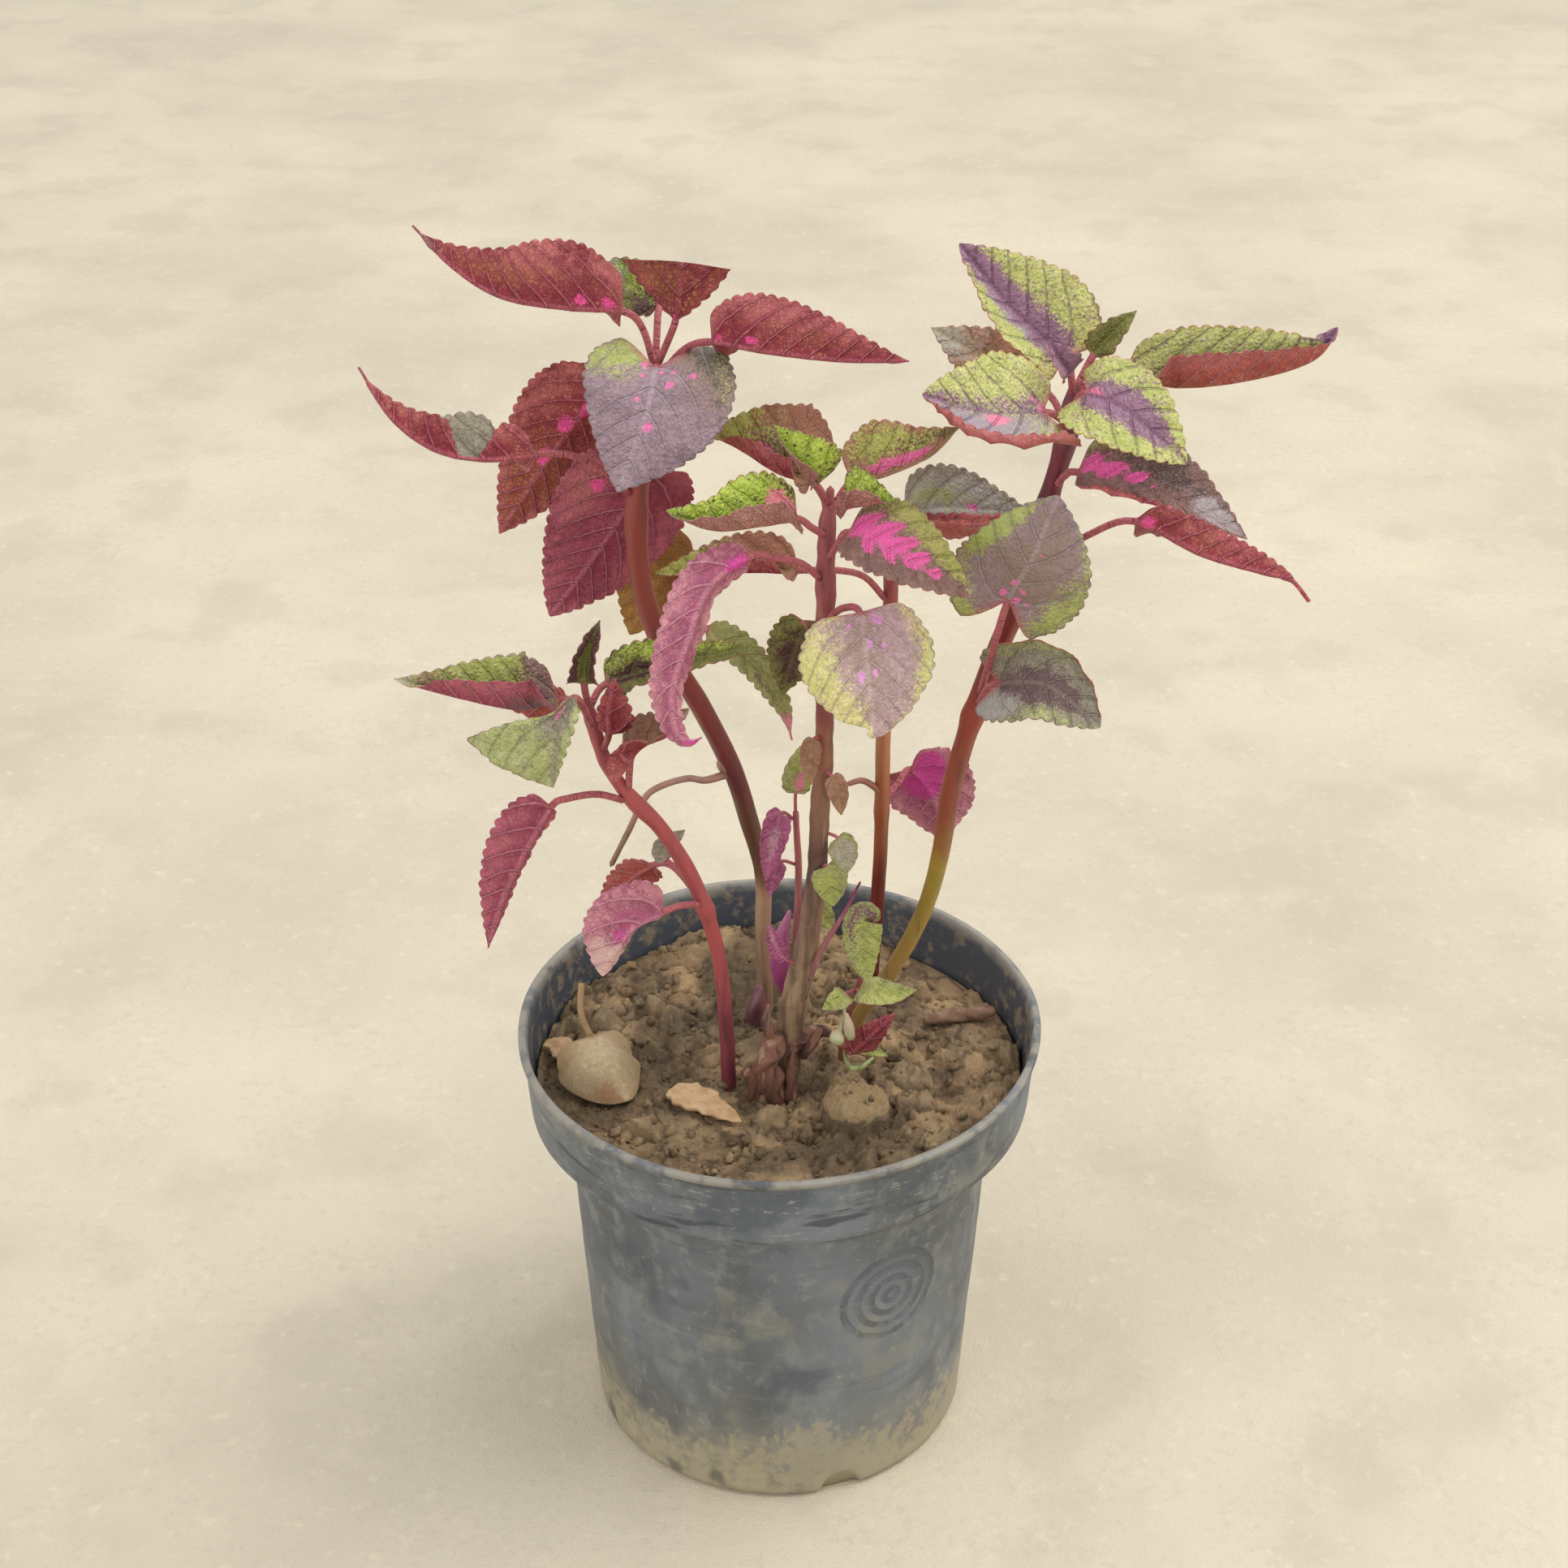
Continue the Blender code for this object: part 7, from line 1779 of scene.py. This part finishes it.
def make_litter(settings):
    """The dry leaf, the two chips and the twig that lie on the soil."""
    tan = wood_material("tan chip", (0.620, 0.430, 0.245), (0.480, 0.300, 0.150), 190.0, 0.0004)
    for name, sizes in CHIPS.items():
        hand_over(make_piece(name + "_flake", [chip_part(*sizes)], [tan]), "bark_chip", name)
    dry = under_material("dry leaf skin", DRY_LOOK, settings)
    marks = [("dark", 0.9, 0.5, 0.2, 0.5, 1.0), ("warm", 0.2, 0.0, 0.4, 0.6, 1.0)]
    part = leaf_part(DRY_LEAF, marks, settings, 5.5)
    hand_over(make_piece("dry_leaf_blade", [part], [dry, dry]), "dry_leaf", "dry_leaf")
    bark = wood_material("twig bark", (0.330, 0.200, 0.130), (0.190, 0.100, 0.065), 260.0, 0.0006)
    thick = [(x, y, z + 0.4, 1.3 * radius) for x, y, z, radius in TWIG]
    twig = tube_part(thick, *TWIG_GRID, 0, 0.16, 6.0)
    hand_over(make_piece("twig_bark", [twig], [bark]), "twig", "twig")


# Stage

CAMERA_PLACE = (0.0016, -0.6528, 0.6199)
CAMERA_PITCH = 31.0
LENS = 60.0
SENSOR_WIDTH = 36.0
FLOOR_REACH = 6.0
PLANT_MIDDLE = (0.0, 0.0, 0.2)
KEY_LIGHT = dict(place=(1.7, 0.2, 3.2), size=2.8, colour=(1.0, 0.975, 0.93))
FILL_LIGHT = dict(place=(-2.4, -1.6, 1.6), size=2.0, colour=(0.96, 0.98, 1.0))
SKY_COLOUR = (1.0, 0.985, 0.96, 1.0)


def add_camera():
    """The camera, level from side to side and looking along +Y and down."""
    data = bpy.data.cameras.new("camera")
    data.lens = LENS
    data.sensor_width = SENSOR_WIDTH
    data.clip_start = 0.01
    camera = bpy.data.objects.new("camera", data)
    camera.matrix_world = Matrix.Translation(CAMERA_PLACE) @ Matrix.Rotation(
        math.radians(90.0 - CAMERA_PITCH), 4, "X")
    bpy.context.scene.collection.objects.link(camera)
    bpy.context.scene.camera = camera


def add_light(name, energy, place, size, colour):
    """A square soft light that faces the middle of the plant."""
    data = bpy.data.lights.new(name, "AREA")
    data.size = size
    data.energy = energy
    data.color = colour
    light = bpy.data.objects.new(name, data)
    light.location = place
    light.rotation_euler = (Vector(PLANT_MIDDLE) - Vector(place)).to_track_quat("-Z", "Y").to_euler()
    bpy.context.scene.collection.objects.link(light)


def make_stage(settings):
    """Pale floor, soft key light, weak fill and an even sky."""
    corners = [(-FLOOR_REACH, -FLOOR_REACH), (FLOOR_REACH, -FLOOR_REACH)]
    corners += [(-x, -y) for x, y in corners]
    mesh = bpy.data.meshes.new("floor")
    mesh.from_pydata([(x, y, 0) for x, y in corners], [], [(0, 1, 2, 3)])
    floor = bpy.data.objects.new("floor", mesh)
    mesh.materials.append(floor_material(settings))
    bpy.context.scene.collection.objects.link(floor)
    add_light("key", energy=settings.key_power, **KEY_LIGHT)
    add_light("fill", energy=settings.fill_power, **FILL_LIGHT)
    world = bpy.data.worlds.new("even sky")
    world.use_nodes = True
    sky = world.node_tree.nodes["Background"]
    sky.inputs["Color"].default_value = SKY_COLOUR
    sky.inputs["Strength"].default_value = settings.sky_power
    bpy.context.scene.world = world
    bpy.context.scene.view_settings.view_transform = "Standard"


# Settings, operators and panel

class PlantLeafSettings(bpy.types.PropertyGroup):
    """Settings of the leaves and stems"""
    scallop_pitch: bpy.props.FloatProperty(
        name="Scallop Pitch", description="Length of one scallop along a leaf's edge, in millimetres",
        default=3.4, min=1.0, max=10.0)
    scallop_depth: bpy.props.FloatProperty(
        name="Scallop Depth", description="How far a scallop stands out, in millimetres",
        default=1.15, min=0.0, max=3.0)
    droop: bpy.props.FloatProperty(
        name="Edge Droop", description="How far the rim of each half turns down",
        default=0.4, min=0.0, max=1.0, subtype="FACTOR")
    stalk_colour: bpy.props.FloatVectorProperty(
        name="Stalk Colour", description="Skin colour of the leaf stalks", default=(0.480, 0.130, 0.150),
        size=3, min=0.0, max=1.0, subtype="COLOR")
    stem_roughness: bpy.props.FloatProperty(
        name="Stem Roughness", description="How dull the stems are", default=0.42, min=0.0, max=1.0,
        subtype="FACTOR")


class PlantSoilSettings(bpy.types.PropertyGroup):
    """Settings of the soil"""
    clod_size: bpy.props.FloatProperty(
        name="Clod Size", description="Width of the larger clods, in millimetres",
        default=12.0, min=3.0, max=20.0)
    clod_height: bpy.props.FloatProperty(
        name="Clod Height", description="Rise of the larger clods, in millimetres",
        default=3.4, min=0.0, max=8.0)
    crumb_count: bpy.props.IntProperty(
        name="Crumbs", description="Number of loose crumbs", default=560, min=0, max=2000)
    soil_colour: bpy.props.FloatVectorProperty(
        name="Soil Colour", description="Colour of the dry clay", default=(0.560, 0.380, 0.200), size=3,
        min=0.0, max=1.0, subtype="COLOR")


class PlantPotSettings(bpy.types.PropertyGroup):
    """Settings of the pot"""
    wall_colour: bpy.props.FloatVectorProperty(
        name="Wall Colour", description="Colour of the plastic under its dust",
        default=(0.126, 0.145, 0.166), size=3, min=0.0, max=1.0, subtype="COLOR")
    dust: bpy.props.FloatProperty(
        name="Dust", description="How much dust hides the foot of the pot", default=0.85, min=0.0, max=1.0,
        subtype="FACTOR")


class PlantStageSettings(bpy.types.PropertyGroup):
    """Settings of the floor, lights and sky"""
    floor_colour: bpy.props.FloatVectorProperty(
        name="Floor Colour", description="Colour of the pale floor", default=(0.680, 0.610, 0.480), size=3,
        min=0.0, max=1.0, subtype="COLOR")
    key_power: bpy.props.FloatProperty(
        name="Key Light", description="Power of the soft key light", default=72.0, min=0.0, unit="POWER")
    fill_power: bpy.props.FloatProperty(
        name="Fill Light", description="Power of the fill light", default=14.0, min=0.0, unit="POWER")
    sky_power: bpy.props.FloatProperty(
        name="Sky", description="Strength of the even sky", default=0.84, min=0.0, max=5.0)


class PLANT_OT_stage(bpy.types.Operator):
    """Add the floor, the soft lights and the camera"""
    bl_idname = "plant.add_stage"
    bl_label = "Stage"

    def execute(self, context):
        add_camera()
        make_stage(context.scene.plant_stage)
        return {"FINISHED"}


class PLANT_OT_pot(bpy.types.Operator):
    """Add the dusty nursery pot"""
    bl_idname = "plant.add_pot"
    bl_label = "Pot"

    def execute(self, context):
        make_pot(context.scene.plant_pot)
        return {"FINISHED"}


class PLANT_OT_soil(bpy.types.Operator):
    """Add the broken clay soil and its loose crumbs"""
    bl_idname = "plant.add_soil"
    bl_label = "Soil"

    def execute(self, context):
        make_soil(context.scene.plant_soil)
        return {"FINISHED"}


class PLANT_OT_litter(bpy.types.Operator):
    """Add the dry leaf, chips and twig on the soil"""
    bl_idname = "plant.add_litter"
    bl_label = "Litter"

    def execute(self, context):
        make_litter(context.scene.plant_leaves)
        return {"FINISHED"}


class PLANT_OT_stems(bpy.types.Operator):
    """Add the five stems with their bare stalks and small sprigs"""
    bl_idname = "plant.add_stems"
    bl_label = "Stems"

    def execute(self, context):
        make_stems(context.scene.plant_leaves)
        return {"FINISHED"}


class PLANT_OT_sprouts(bpy.types.Operator):
    """Add the thin sprouts at the foot of the plant"""
    bl_idname = "plant.add_sprouts"
    bl_label = "Sprouts"

    def execute(self, context):
        make_sprouts(context.scene.plant_leaves)
        return {"FINISHED"}


class PLANT_OT_leaves(bpy.types.Operator):
    """Add every large leaf"""
    bl_idname = "plant.add_leaves"
    bl_label = "Leaves"

    def execute(self, context):
        make_leaves(context.scene.plant_leaves)
        return {"FINISHED"}


OPERATORS = (
    PLANT_OT_stage, PLANT_OT_pot, PLANT_OT_soil, PLANT_OT_litter, PLANT_OT_stems, PLANT_OT_sprouts,
    PLANT_OT_leaves)


class PLANT_PT_panel(bpy.types.Panel):
    """Lists the plant's operators and settings"""
    bl_label = "Potted Coleus"
    bl_idname = "PLANT_PT_panel"
    bl_space_type = "VIEW_3D"
    bl_region_type = "UI"
    bl_category = "Plant"

    def draw(self, context):
        layout = self.layout
        for operator in OPERATORS:
            layout.operator(operator.bl_idname)
        for group in SETTINGS:
            settings = getattr(context.scene, group)
            for label in SETTINGS[group].__annotations__:
                layout.prop(settings, label)


SETTINGS = {
    "plant_leaves": PlantLeafSettings, "plant_soil": PlantSoilSettings, "plant_pot": PlantPotSettings,
    "plant_stage": PlantStageSettings}


def register():
    """Adds the settings, operators and panel to Blender."""
    for group, kind in SETTINGS.items():
        bpy.utils.register_class(kind)
        setattr(bpy.types.Scene, group, bpy.props.PointerProperty(type=kind))
    for kind in OPERATORS + (PLANT_PT_panel,):
        bpy.utils.register_class(kind)


def unregister():
    """Takes the settings, operators and panel out again."""
    for kind in reversed(OPERATORS + (PLANT_PT_panel,)):
        bpy.utils.unregister_class(kind)
    for group, kind in SETTINGS.items():
        delattr(bpy.types.Scene, group)
        bpy.utils.unregister_class(kind)


def main():
    """Builds the plant and its stage."""
    register()
    bpy.ops.plant.add_stage()
    bpy.ops.plant.add_pot()
    bpy.ops.plant.add_soil()
    bpy.ops.plant.add_litter()
    bpy.ops.plant.add_stems()
    bpy.ops.plant.add_sprouts()
    bpy.ops.plant.add_leaves()


if __name__ == "__main__":
    main()
